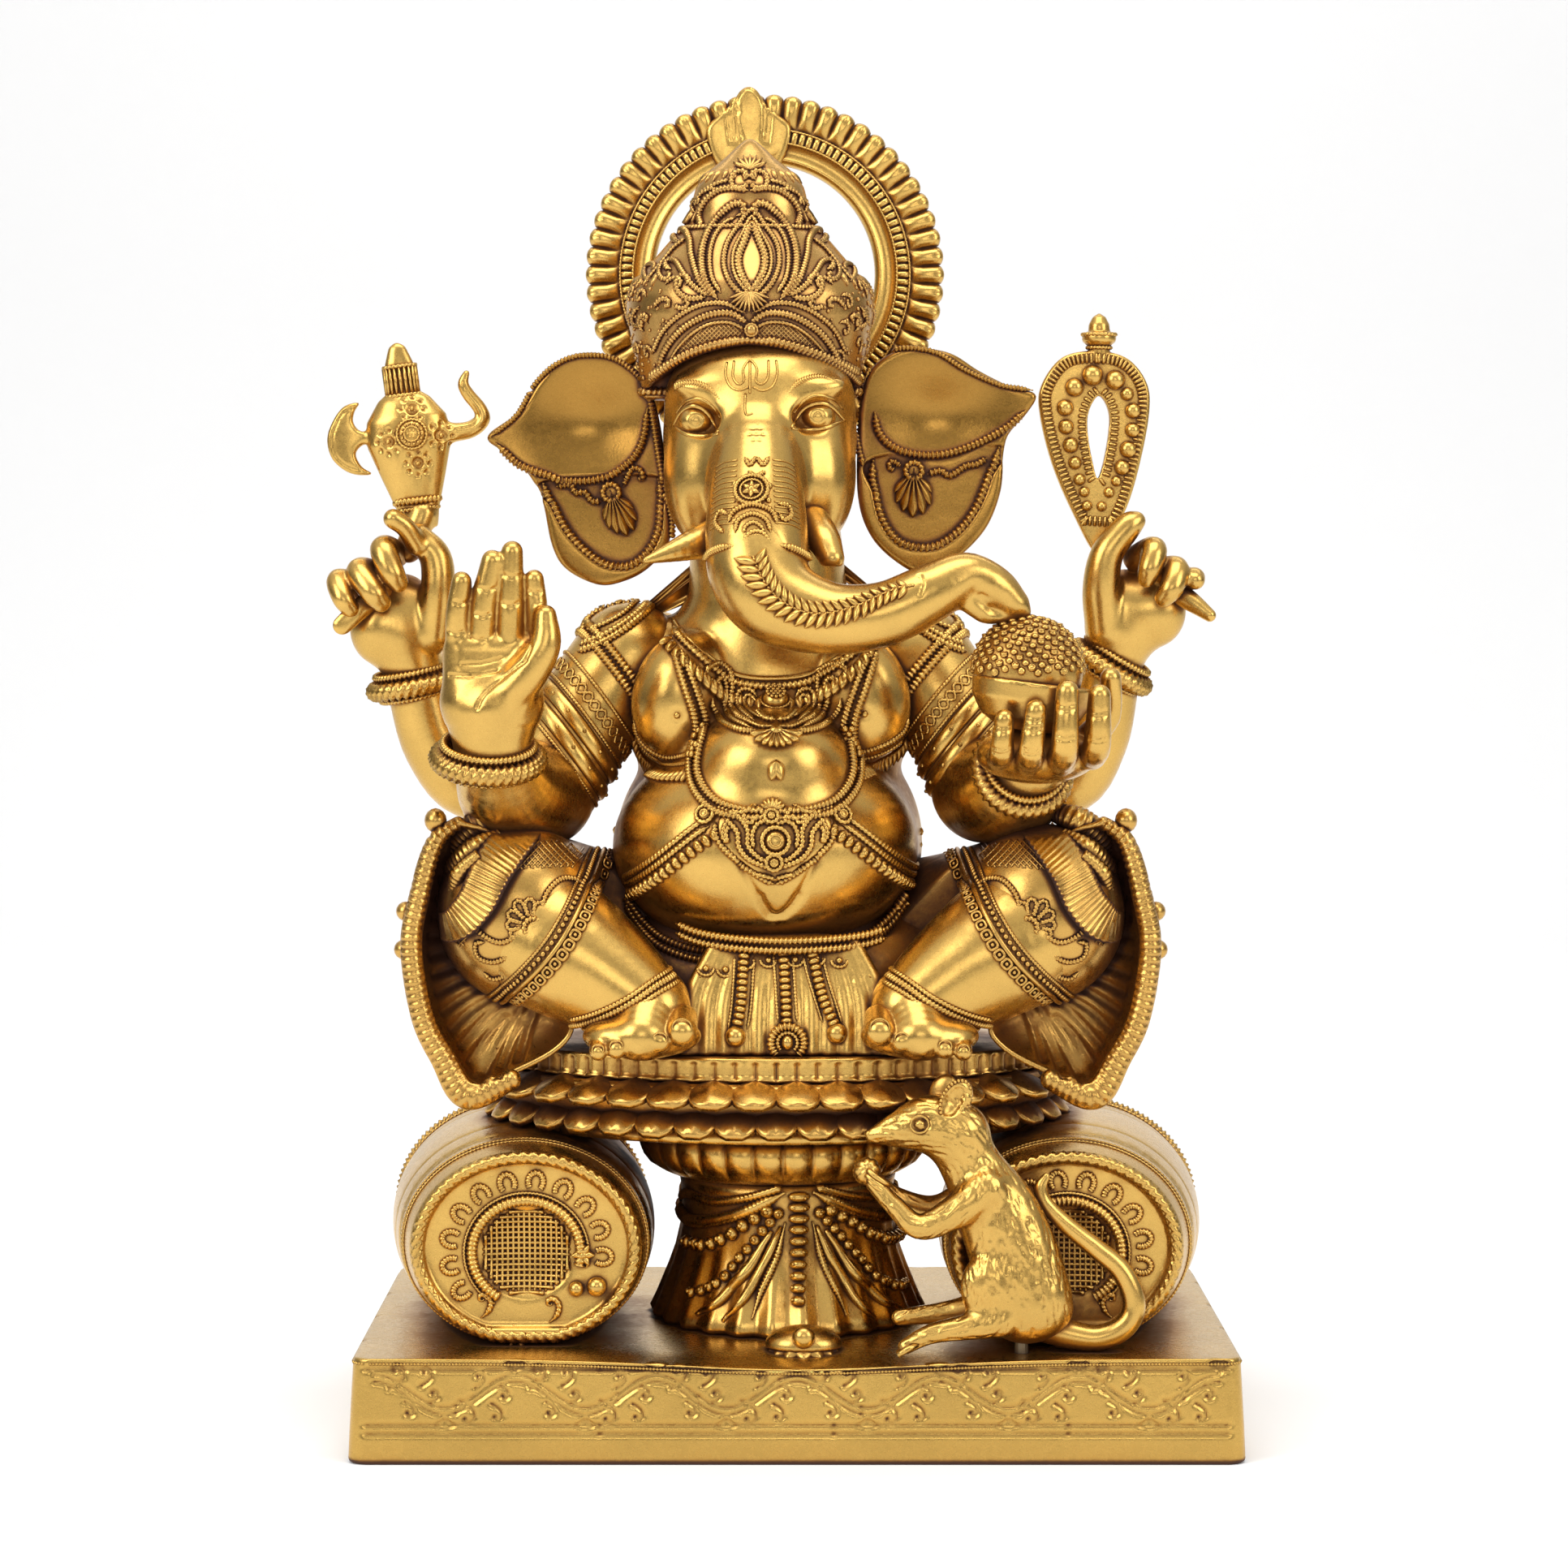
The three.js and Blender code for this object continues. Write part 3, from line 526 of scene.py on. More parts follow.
BEAD = unit_bead()
FINE_BEAD = unit_bead(12, 8)


def copies(shape, places, sizes, axes=None):
    """shape at each place, scaled by sizes (one, three, or a row for each) and turned to axes (3x3 columns)."""
    places = np.asarray(places, float).reshape(-1, 3)
    n = len(places)
    sizes = np.broadcast_to(np.asarray(sizes, float), (n, 3))
    co = shape.co[None] * sizes[:, None]
    if axes is not None:
        co = np.einsum("nij,nkj->nki", np.asarray(axes, float), co)
    co = co + places[:, None]
    start = (np.arange(n) * len(shape.co))[:, None, None]
    return Shell(
        co.reshape(-1, 3),
        (shape.quads[None] + start).reshape(-1, 4),
        (shape.tris[None] + start).reshape(-1, 3),
    )


def beads(path, r, spacing=None, normals=None, closed=False, shape=BEAD, tall=1.0):
    """Beads strung along a path, one every spacing."""
    spacing = spacing or 2.05 * r
    path = np.asarray(path, float)
    if closed:
        path = np.concatenate([path, path[:1]])
    if normals is not None and closed:
        normals = np.concatenate([normals, normals[:1]])
    if normals is None:
        new, n = resampled(path, spacing), None
    else:
        new, n = resampled(path, spacing, np.asarray(normals, float))
    if closed:
        new = new[:-1]
        n = None if n is None else n[:-1]
    if n is None or tall == 1.0:
        return copies(shape, new, r)
    a = unit(np.cross(n, [0.31, 0.17, 0.93]))
    axes = np.stack([a, np.cross(n, a), n], -1)
    return copies(shape, new, [r, r, r * tall], axes)


def axes_at(normal, up=(0, 0, 1)):
    """Columns: across, up the surface, out of it."""
    n = unit(normal)
    u = unit(np.array(up, float) - n * (np.array(up, float) @ n))
    return np.stack([np.cross(u, n), u, n], -1)


def on_plane(axes, origin, uv, lift=0.0):
    uv = np.asarray(uv, float)
    return np.asarray(origin, float) + uv[:, :1] * axes[:, 0] + uv[:, 1:2] * axes[:, 1] + lift * axes[:, 2]


def spiral(start, heading, length, curl, steps=26, opening=0.35):
    """Flat points of a scroll: it runs off along heading, and winds up ever more tightly by curl turns."""
    t = np.linspace(0, 1, steps)
    angle = heading + curl * TAU * (opening * t + (1 - opening) * t**2.4)
    step = length / steps * (1.25 - 0.95 * t)
    x = start[0] + np.concatenate([[0], np.cumsum(np.cos(angle[:-1]) * step[:-1])])
    y = start[1] + np.concatenate([[0], np.cumsum(np.sin(angle[:-1]) * step[:-1])])
    return np.stack([x, y], 1)


class Skin:
    """A surface that ornament is laid on, by rays cast at it."""

    def __init__(self, *shells):
        self.tree = joined(shells).tree()

    def hit(self, points, toward, reach=150.0):
        """Where rays through points, running the way toward, meet the skin, and the outward normals there."""
        points = np.asarray(points, float)
        toward = np.broadcast_to(np.asarray(toward, float), points.shape)
        found, normals = [], []
        for p, d in zip(points, toward):
            d = Vector(d)
            at, n, _, _ = self.tree.ray_cast(Vector(p) - d * reach, d)
            if at is None:
                at, n, _, _ = self.tree.find_nearest(Vector(p))
            if n.dot(d) > 0:
                n = -n
            found.append(at)
            normals.append(n)
        return np.array(found, float), smoothed(np.array(normals, float))

    def front(self, xz, lift=0.0, step=1.0, closed=False, per=8, smooth=True):
        """A path of (x, z) pairs laid on the front."""
        xz = np.asarray(xz, float)
        path = spline(xz, per, closed) if smooth else xz
        if closed:
            path = np.concatenate([path, path[:1]])
        path = resampled(np.stack([path[:, 0], np.zeros(len(path)), path[:, 1]], 1), step)
        if closed:
            path = path[:-1]
        at, n = self.hit(path, FRONT)
        return at + n * lift, n

    def round(self, centre, axis, points, lift=0.0):
        """Points cast at the skin square to an axis through centre."""
        points = np.asarray(points, float)
        axis = unit(axis)
        out = points - centre
        out = unit(out - axis * (out @ axis)[:, None])
        at, n = self.hit(points, -out)
        return at + n * lift, n

    def band(self, centre, axis, lift=0.0, steps=72, start=(0, -1, 0), arc=(0, TAU)):
        """A loop round a limb, in the plane through centre that is square to axis."""
        axis, centre = unit(axis), np.asarray(centre, float)
        a = unit(np.array(start, float) - axis * (np.array(start, float) @ axis))
        b = np.cross(axis, a)
        angle = np.linspace(arc[0], arc[1], steps, endpoint=arc[1] - arc[0] < TAU - 1e-6)
        out = np.cos(angle)[:, None] * a + np.sin(angle)[:, None] * b
        found, normals = [], []
        for d in out:
            at, n, _, _ = self.tree.ray_cast(Vector(centre + d * 0.5), Vector(d))
            if at is None:
                at, n = Vector(centre + d * 20), Vector(d)
            if n.dot(Vector(d)) < 0:
                n = -n
            found.append(at)
            normals.append(n)
        n = smoothed(np.array(normals, float), 2)
        return np.array(found, float) + n * lift, n


def smoothed(v, rounds=1):
    for _ in range(rounds):
        if len(v) > 2:
            inner = v[:-2] + 2 * v[1:-1] + v[2:]
            v = np.concatenate([v[:1], inner / 4, v[-1:]])
    return unit(v)


def engrave(shell, paths, width=0.9, depth=0.6):
    """Presses fine lines into a shell along paths of points that lie on it."""
    for path in paths:
        path = resampled(path, 0.4)
        low, high = path.min(0) - 3 * width, path.max(0) + 3 * width
        near = np.flatnonzero(((shell.co > low) & (shell.co < high)).all(1))
        if not len(near):
            continue
        co = shell.co[near]
        best = np.full(len(co), 1e9)
        which = np.zeros(len(co), int)
        for first in range(0, len(path), 64):
            gap = ((co[:, None] - path[None, first : first + 64]) ** 2).sum(2)
            k = gap.argmin(1)
            g = gap[np.arange(len(co)), k]
            closer = g < best
            best[closer], which[closer] = g[closer], first + k[closer]
        push = depth * np.exp(-best / width**2)
        shell.co[near] -= vertex_normals(shell, near) * push[:, None]
    return shell


def vertex_normals(shell, of=None):
    if not hasattr(shell, "normals"):
        n = np.zeros_like(shell.co)
        for faces in (shell.quads, shell.tris):
            if len(faces):
                a, b, c = (shell.co[faces[:, i]] for i in (0, 1, 2))
                d = shell.co[faces[:, -1]]
                face = np.cross(c - a, d - b) if faces.shape[1] == 4 else np.cross(b - a, c - a)
                for i in range(faces.shape[1]):
                    np.add.at(n, faces[:, i], face)
        shell.normals = unit(n)
    return shell.normals if of is None else shell.normals[of]


def turned_mesh(centre, profile, scale=(1, 1), around=360, wave=None):
    """A closed profile of (radius, z) pairs, from axis to axis, turned as an exact mesh. wave(angle, r, z) adds to r."""
    profile = np.array(profile, float)
    angle = TAU * np.arange(around) / around
    r, z = profile[1:-1, 0][:, None], profile[1:-1, 1][:, None]
    radius = r + (0 if wave is None else wave(angle[None], r, z))
    rows = len(profile) - 2
    co = np.stack(
        [
            centre[0] + radius * np.cos(angle) * scale[0],
            centre[1] + radius * np.sin(angle) * scale[1],
            np.broadcast_to(z, (rows, around)),
        ],
        -1,
    ).reshape(-1, 3)
    i, j = np.meshgrid(np.arange(rows - 1), np.arange(around), indexing="ij")
    k = (j + 1) % around
    quads = np.stack([i * around + j, i * around + k, (i + 1) * around + k, (i + 1) * around + j], -1).reshape(-1, 4)
    ends = np.array([[centre[0], centre[1], profile[0, 1]], [centre[0], centre[1], profile[-1, 1]]])
    j = np.arange(around)
    k = (j + 1) % around
    last = (rows - 1) * around
    tris = np.concatenate(
        [
            np.stack([k, j, np.full(around, len(co))], 1),
            np.stack([last + j, last + k, np.full(around, len(co) + 1)], 1),
        ]
    )
    return Shell(np.concatenate([co, ends]), quads, tris)


def grid_solid(top, bottom):
    """A closed solid between two grids of points with the same outline."""
    n, m = top.shape[:2]
    co = np.concatenate([top.reshape(-1, 3), bottom.reshape(-1, 3)])
    i, j = np.meshgrid(np.arange(n - 1), np.arange(m - 1), indexing="ij")
    up = np.stack([i * m + j, (i + 1) * m + j, (i + 1) * m + j + 1, i * m + j + 1], -1).reshape(-1, 4)
    down = up[:, ::-1] + n * m
    edge = np.concatenate(
        [
            np.arange(m - 1),
            (np.arange(n - 1) + 1) * m - 1,
            (n * m - 1) - np.arange(m - 1),
            (n - 1 - np.arange(n - 1)) * m,
        ]
    )
    nxt = np.roll(edge, -1)
    walls = np.stack([edge, nxt, nxt + n * m, edge + n * m], -1)
    return Shell(co, np.concatenate([up, down, walls])[:, ::-1])


def leaf(length, width, dome=1.0, curl=0.0, thick=0.8, ridge=0.0, ribs=0, tip=0.75, rows=12, cols=9, blunt=0.75):
    """A petal lying along +Y from the origin, with its face towards +Z. curl lifts its tip, ridge raises its middle."""
    v, u = np.meshgrid(np.linspace(0, 1, rows), np.linspace(-1, 1, cols), indexing="ij")
    half = width / 2 * np.sin(np.pi * np.clip(v, 0.02, 0.985) ** tip) ** blunt
    x, y = u * half, v * length - 0.06 * length * (1 - u**2) * (v < 0.05)
    z = dome * (1 - u**2) * np.sin(np.pi * np.clip(v, 0.04, 0.96)) ** 0.5 + curl * v**2
    z = z + ridge * np.exp(-((u / 0.22) ** 2)) * (1 - v)
    if ribs:
        z = z + 0.10 * dome * np.cos(ribs * TAU * (v * 0.5 + abs(u) * 0.12))
    top = np.stack([x, y, z + thick / 2], -1)
    return grid_solid(top, np.stack([x, y, curl * v**2 - thick / 2], -1))


def laid(skin, line, r, pitch=1.8, lean=0, lift=0.3, flat=0.85, taper=0.05, closed=False, sides=8):
    """A milled cord laid on the front of a skin along (x, z) points."""
    path, n = skin.front(line, lift, 0.8, closed)
    return rope(path, r, pitch, 0.2, lean, n, closed, sides=sides, flat=flat, taper=0 if closed else taper)


def strung(skin, line, r, spacing=None, lift=0.2, tall=1.0, shape=BEAD):
    """Beads strung along (x, z) points on the front of a skin."""
    path, n = skin.front(line, lift, 0.8)
    return beads(path, r, spacing, n, shape=shape, tall=tall)


def fan(shape, centre, toward, out, angles, sizes=1.0):
    """Copies of a leaf spread about centre on a surface whose way out is out. Angle 0 points along toward."""
    out = unit(out)
    toward = unit(np.asarray(toward, float) - out * (np.asarray(toward, float) @ out))
    side_way = np.cross(out, toward)
    axes = []
    for a in angles:
        way = toward * math.cos(a) + side_way * math.sin(a)
        axes.append(np.stack([np.cross(way, out), way, out], -1))
    count = len(axes)
    sizes = np.broadcast_to(np.asarray(sizes, float).reshape(-1, 1), (count, 3))
    return copies(shape, [centre] * count, sizes, axes)


def rosette(centre, out, r, petals=8, up=(0, 0, 1)):
    """A round boss ringed with petals."""
    angles = np.arange(petals) * TAU / petals
    out = unit(out)
    axes = axes_at(out, up)
    shells = [fan(leaf(r, r * 0.62, r * 0.22, r * 0.05, 0.5), centre, up, out, angles)]
    shells.append(copies(FINE_BEAD, [centre + out * r * 0.12], [[r * 0.36, r * 0.36, r * 0.3]], [axes]))
    return shells


def medallion(centre, out, r, bar, pitch=1.6, up=(0, 0, 1)):
    """A milled ring lying on a surface."""
    a = np.linspace(0, TAU, 41)[:-1]
    ring = on_plane(axes_at(out, up), centre, np.stack([np.cos(a) * r, np.sin(a) * r], 1))
    return rope(ring, bar, pitch, 0.2, 1, np.tile(unit(out), (40, 1)), True, sides=7)


def hatching(skin, outline, pitch, r, slopes=(1, -1)):
    """Fine raised lines crossing an area of a skin's front."""
    outline = smooth_outline(outline)
    shells, low, high = [], outline.min(0), outline.max(0)
    x = np.arange(low[0], high[0], 0.7)
    for slope in slopes:
        for c in np.arange(-90, 90, pitch):
            z = outline.mean(0)[1] + slope * (x - outline.mean(0)[0]) + c
            inside = np.flatnonzero(outline_distance(outline, x, z) < 0)
            for run in np.split(inside, np.flatnonzero(np.diff(inside) > 1) + 1):
                if len(run) > 3:
                    at, n = skin.hit(np.stack([x[run], 0 * x[run], z[run]], 1), FRONT)
                    shells.append(tube(at + n * 0.1, r, 4, n))
    return shells


def draped(skin, line, half, lift=1.2, thick=2.0, pitch=2.6, ruffle=0.0, waves=3, aim=FRONT):
    """A band of cloth laid along (x, z) points on a skin's front: hatched across, with a ruffled outer edge."""
    path = spline(np.array(line, float), 12)
    path = resampled(np.stack([path[:, 0], np.zeros(len(path)), path[:, 1]], 1), 0.65)
    across = unit(np.cross(tangents(path), [0, 1.0, 0]))
    s = along(path)
    u = np.linspace(-1, 1, 11)
    half = np.interp(s / s[-1], np.linspace(0, 1, len(half)), half)
    spots = path[:, None] + across[:, None] * (u[None, :, None] * half[:, None, None])
    at, n = skin.hit(spots.reshape(-1, 3), aim)
    at = at.reshape(spots.shape)
    for _ in range(4):
        at[1:-1, :, 1] = (at[:-2, :, 1] + 2 * at[1:-1, :, 1] + at[2:, :, 1]) / 4
        at[:, 1:-1, 1] = (at[:, :-2, 1] + 2 * at[:, 1:-1, 1] + at[:, 2:, 1]) / 4
    rise = lift + 0.45 * np.cos(TAU * s[:, None] / pitch + 1.1 * u[None]) * (1 - 0.3 * u[None] ** 2)
    rise = rise + ruffle * (u[None] > 0) * u[None] ** 2 * (1 + np.sin(TAU * waves * s[:, None] / s[-1])) + 0.9 * u[None] ** 6
    top = at - np.array(aim) * rise[..., None]
    bottom = at + np.array(aim) * (thick - 0.4 * lift)
    return grid_solid(top, bottom)


def leaned(shape, pivot, angle):
    """A shape turned by angle about an axis along Y through pivot, an (x, z) pair. Positive leans its top to -X."""
    low, high, distance = shape
    c, s = math.cos(angle), math.sin(angle)
    corners = np.array([[x - pivot[0], z - pivot[1]] for x in (low[0], high[0]) for z in (low[2], high[2])])
    moved = np.stack([c * corners[:, 0] - s * corners[:, 1], s * corners[:, 0] + c * corners[:, 1]], 1) + pivot

    def there(x, y, z):
        dx, dz = x - pivot[0], z - pivot[1]
        return distance(c * dx + s * dz + pivot[0], y, -s * dx + c * dz + pivot[1])

    return (
        np.array([moved[:, 0].min(), low[1], moved[:, 1].min()]),
        np.array([moved[:, 0].max(), high[1], moved[:, 1].max()]),
        there,
    )


def both(points, left, about=-7.0):
    """Points drawn on the figure's right, or mirrored to its left."""
    points = np.array(points, float)
    if left:
        points = points * [-1] + 0 if points.ndim == 1 else points.copy()
        points[:, 0] = 2 * about - points[:, 0]
    return points


# ---------------------------------------------------------------- materials


def node_of(tree, kind, inputs=None, **settings):
    n = tree.nodes.new(kind)
    for key, value in settings.items():
        setattr(n, key, value)
    for key, value in (inputs or {}).items():
        if isinstance(value, bpy.types.NodeSocket):
            tree.links.new(value, n.inputs[key])
        else:
            n.inputs[key].default_value = value
    return n


def brass(name, bright, amber, dark, patina_and_shade_gain=1.0, shine=0.27, rosy=None, grain=0.35, shade=1.0):
    """Cast brass: polished where it stands proud, with brown patina left in every recess. Occlusion and pointiness set
    both, so the colour also carries painted shade in recesses, between pieces and by the floor, and a painted highlight
    on proud edges.
    """
    material = bpy.data.materials.new(name)
    material.use_nodes = True
    tree = material.node_tree
    tree.nodes.clear()
    out = node_of(tree, "ShaderNodeOutputMaterial")
    shader = node_of(tree, "ShaderNodeBsdfPrincipled")
    tree.links.new(shader.outputs[0], out.inputs[0])
    place = node_of(tree, "ShaderNodeTexCoord").outputs["Object"]
    # near and wide are ambient occlusion: they paint shade into the colour in small recesses, and in broad hollows
    # between pieces and by the floor
    near = node_of(tree, "ShaderNodeAmbientOcclusion", {"Distance": 0.0045}, samples=8).outputs["AO"]
    wide = node_of(tree, "ShaderNodeAmbientOcclusion", {"Distance": 0.03}, samples=8).outputs["AO"]
    edge = node_of(tree, "ShaderNodeNewGeometry").outputs["Pointiness"]

    def noise(scale, detail=3.0, rough=0.55):
        return node_of(
            tree, "ShaderNodeTexNoise", {"Vector": place, "Scale": scale, "Detail": detail, "Roughness": rough}
        ).outputs["Fac"]

    def remap(value, low, high, to_low=0.0, to_high=1.0):
        return node_of(
            tree,
            "ShaderNodeMapRange",
            {"Value": value, "From Min": low, "From Max": high, "To Min": to_low, "To Max": to_high},
            interpolation_type="SMOOTHSTEP",
        ).outputs[0]

    def sums(kind, a, b):
        n = node_of(tree, "ShaderNodeMath", operation=kind)
        for i, v in enumerate((a, b)):
            if isinstance(v, bpy.types.NodeSocket):
                tree.links.new(v, n.inputs[i])
            else:
                n.inputs[i].default_value = v
        return n.outputs[0]

    blotch, fine = noise(28.0), noise(420.0, 2.0)
    patches = remap(blotch, 0.35, 0.68)
    # crease and hollow lay brown patina in the recesses, and painted shade with it
    crease = remap(near, 0.46, 0.97, 1.0, 0.0)
    hollow = remap(wide, 0.14, 0.86, shade, 0.0)
    cut = remap(edge, 0.40, 0.482, 0.95, 0.0)
    crease = sums("MAXIMUM", crease, cut)
    patina_and_shade = sums("MAXIMUM", crease, sums("MULTIPLY", hollow, sums("ADD", 0.55, sums("MULTIPLY", patches, 0.5))))
    patina_and_shade = sums("MULTIPLY", patina_and_shade, sums("ADD", 0.72, sums("MULTIPLY", fine, 0.5)))
    # proud edges lose their patina: real rubbed wear, which also paints an edge highlight
    worn_edge_and_highlight = remap(edge, 0.52, 0.60)
    patina_and_shade = sums("MINIMUM", sums("MULTIPLY", sums("SUBTRACT", patina_and_shade, sums("MULTIPLY", worn_edge_and_highlight, 0.35)), patina_and_shade_gain), 1.0)
    patina_and_shade = sums("MAXIMUM", patina_and_shade, 0.0)
    ramp = node_of(tree, "ShaderNodeValToRGB", {"Fac": patina_and_shade})
    steps = [(0.0, bright), (0.18, bright), (0.48, amber), (0.92, dark)]
    if rosy:
        steps.insert(3, (0.72, rosy))
    elements = ramp.color_ramp.elements
    while len(elements) < len(steps):
        elements.new(0.5)
    for element, (at, colour) in zip(elements, steps):
        element.position, element.color = at, (*colour, 1)
    tone = node_of(tree, "ShaderNodeHueSaturation", {"Color": ramp.outputs[0], "Value": remap(blotch, 0.2, 0.8, 0.9, 1.08)})
    tree.links.new(tone.outputs[0], shader.inputs["Base Color"])
    tree.links.new(remap(patina_and_shade, 0.25, 0.95, 1.0, 0.42), shader.inputs["Metallic"])
    rough = sums("ADD", remap(patina_and_shade, 0.1, 0.9, shine, shine + 0.33), sums("MULTIPLY", sums("SUBTRACT", fine, 0.5), 0.16))
    tree.links.new(rough, shader.inputs["Roughness"])
    pits = remap(noise(900.0, 3.0, 0.7), 0.30, 0.62)
    bump = node_of(tree, "ShaderNodeBump", {"Height": pits, "Strength": grain, "Distance": 0.00004})
    hand = node_of(
        tree, "ShaderNodeBump", {"Height": noise(75.0, 2.0), "Strength": 0.25, "Distance": 0.0006, "Normal": bump.outputs[0]}
    )
    tree.links.new(hand.outputs[0], shader.inputs["Normal"])
    return material


# BRIGHT is bare brass; AMBER and DARK are the patina colours, laid with painted shade where occlusion finds recesses
BRIGHT, AMBER, DARK = (0.65, 0.400, 0.105), (0.36, 0.145, 0.026), (0.055, 0.016, 0.004)
# the gain sets how much patina and painted shade each brass takes
cast = brass("cast_brass", BRIGHT, AMBER, DARK)
smooth_cast = brass("smooth_brass", BRIGHT, AMBER, DARK, patina_and_shade_gain=0.8, grain=0.2)
pale_cast = brass("plinth_brass", (0.58, 0.36, 0.092), (0.33, 0.150, 0.030), (0.07, 0.024, 0.007), patina_and_shade_gain=1.7, shade=0.35)
rosy_cast = brass("rosy_brass", (0.56, 0.325, 0.095), (0.31, 0.125, 0.030), (0.06, 0.018, 0.007), patina_and_shade_gain=1.25, rosy=(0.22, 0.072, 0.024))
ear_cast = brass("ear_brass", (0.38, 0.200, 0.042), (0.26, 0.098, 0.020), (0.060, 0.018, 0.006), patina_and_shade_gain=1.3, rosy=(0.30, 0.12, 0.06))
deep_cast = brass("deep_brass", (0.60, 0.35, 0.09), (0.30, 0.115, 0.022), (0.045, 0.013, 0.004), patina_and_shade_gain=1.45)
old_cast = brass("bracket_brass", (0.42, 0.24, 0.08), (0.22, 0.10, 0.03), (0.05, 0.02, 0.008))
steel = brass("fixing_steel", (0.26, 0.21, 0.14), (0.16, 0.12, 0.08), (0.05, 0.035, 0.02), shine=0.45)

# ---------------------------------------------------------------- the body


def one(point, left):
    return both([point], left)[0]


def corners(points, left):
    ends = both(points, left)
    return ends.min(0), ends.max(0)


def mirrored(line, about):
    return [(2 * about - x, z) for x, z in line]


SEAT_TOP = 173.2
torso = Clay([-98, -96, 196], [74, 64, 424], 1.15)
torso.add(egg((-14, -26, 262), (69, 61, 50)))
torso.add(egg((-12, 14, 262), (70, 44, 62)), 18)
torso.add(egg((-12, 2, 326), (70, 44, 50)), 10)
torso.add(egg((-11, -46, 300), (36, 34, 26)), 10)
for x in (-53, 30):
    torso.add(egg((x, -32, 330), (21, 20, 29), (0, 0.22 if x < 0 else -0.22, 0)), 5)
for x in (-74, 50):
    torso.add(egg((x, 4, 348), (21, 24, 20)), 10)
torso.limb([(-12, 0, 350), (-14, -6, 405)], [38, 34], 12)
torso_shell = torso.soften(2).shell()
skin_torso = Skin(torso_shell)
folds = []
for line in (
    [(-25, 259.3), (-22, 252.2), (-16.1, 241.6), (-11.4, 234.5)],
    [(8.6, 259.3), (5.1, 252.2), (0.4, 242.8), (-5.5, 234.5)],
    [(-16.1, 243.4), (-14.7, 239.2), (-10.2, 234.3), (-3.2, 237.5), (1, 243.4)],
):
    folds.append(skin_torso.front(line, 0, 0.8)[0])
engrave(torso_shell, folds, 1.8, 1.3)
rings = []
for x, z in ((-53.3, 322), (30.4, 322.6)):
    a = np.linspace(0, TAU, 25)
    rings.append(skin_torso.hit(np.stack([x + 2.4 * np.cos(a), 0 * a, z + 2.4 * np.sin(a)], 1), FRONT)[0])
engrave(torso_shell, rings, 0.7, 0.7)
shells = [torso_shell]
for x, z in ((-53.3, 322), (30.4, 322.6)):
    at, n = skin_torso.hit([[x, 0, z]], FRONT)
    shells.append(copies(FINE_BEAD, at, [[1.5, 1.5, 1.1]], [axes_at(n[0])]))
for line in (
    [(-72.9, 319.2), (-71.1, 312), (-65.7, 306), (-57.2, 302.7), (-46.4, 304.6)],
    [(25.6, 305.1), (32.8, 306.3), (41.2, 309.6), (47.8, 314.4), (50.2, 320.4)],
):
    shells.append(laid(skin_torso, line, 1.5, 1.6))
    shells.append(laid(skin_torso, [(x + (-0.4 if x < 0 else 0.4), z - 3.4) for x, z in line], 1.2, 1.6))
    path, n = skin_torso.front([(x + (-1 if x < 0 else 1), z - 6.5) for x, z in line], 0.4, 0.8)
    at, nn = resampled(path, 3.1, n)
    shells.append(copies(leaf(6.5, 3.8, 1.5, 1.2, 0.8), at, 1.0, [axes_at(v, (0, 0, -1)) for v in nn]))
skin_shoulders = skin_torso
for line, r in (
    ([(-98.1, 349), (-87.5, 352.7), (-76.8, 359.6), (-68, 367.6), (-62.6, 373.8)], 2.6),
    ([(-95.4, 353.4), (-85.7, 357.8), (-75.1, 365.8), (-64.4, 375.6)], 2.4),
):
    for points in (line, mirrored(line, -11)):
        points = [(x, z) for x, z in points if abs(x + 11) < 76]
        if len(points) > 2:
            shells.append(laid(skin_torso, points, r, 2.0, lift=0.4))
for line in (
    [(-63, 387.9), (-71.9, 383.5), (-80.8, 377.3), (-88.8, 369.2), (-94.6, 360.3)],
    [(-61.2, 381.7), (-70.1, 375.5), (-79, 368.4), (-87.9, 361.2), (-95.9, 355)],
):
    for points in (line, mirrored(line, -11)[::-1]):
        points = [(x, z) for x, z in points if abs(x + 11) < 74]
        if len(points) > 2:
            shells.append(draped(skin_torso, points, [3, 5.5, 5.5, 4.5], 1.6, 2.0, 2.2, 0.3, 2))
behind = np.array([0, -1.0, 0])
for heights, r, pitch in (([366, 363, 359, 355, 353, 355, 359, 363, 366], 2.3, 2.4), ([358, 355, 350, 346, 344, 346, 350, 355, 358], 1.4, 1.8),
                          ([268, 262, 258, 256, 255, 256, 258, 262, 268], 2.2, 2.3), ([262, 256, 252, 250, 249, 250, 252, 256, 262], 1.6, 2.0)):
    spread = np.linspace(-44 if heights[0] > 300 else -74, 44 if heights[0] > 300 else 74, 9) * np.array([0.75 if heights[0] > 300 else 1.0])
    line = spline(np.stack([-12 + spread, np.array(heights, float)], 1), 10)
    at, n = skin_torso.hit(np.stack([line[:, 0], 0 * line[:, 0], line[:, 1]], 1), behind)
    shells.append(rope(at + n * 0.3, r, pitch, 0.2, 1, n, sides=8, taper=0.02))
at, n = skin_torso.hit([[-12, 0, 336.0]], behind)
shells.append(fan(leaf(15, 6, 2, 0.6, 1.2, 0.6, tip=1.3), at[0] + n[0] * 0.6 + [0, 0, 8], (0, 0, -1), n[0], np.linspace(-1.2, 1.2, 7)))
shells.append(medallion(at[0] + n[0] * 1.0 + [0, 0, 8], n[0], 4.6, 1.6, 1.9))
sash = spline(np.array([(-62, 352), (-40, 330), (-14, 306), (14, 284), (38, 268)], float), 12)
at, n = skin_torso.hit(np.stack([sash[:, 0], 0 * sash[:, 0], sash[:, 1]], 1), behind)
shells.append(rope(at + n * 0.3, 1.9, 2.0, 0.2, 1, n, sides=8, taper=0.02))
piece("torso", shells, smooth_cast)

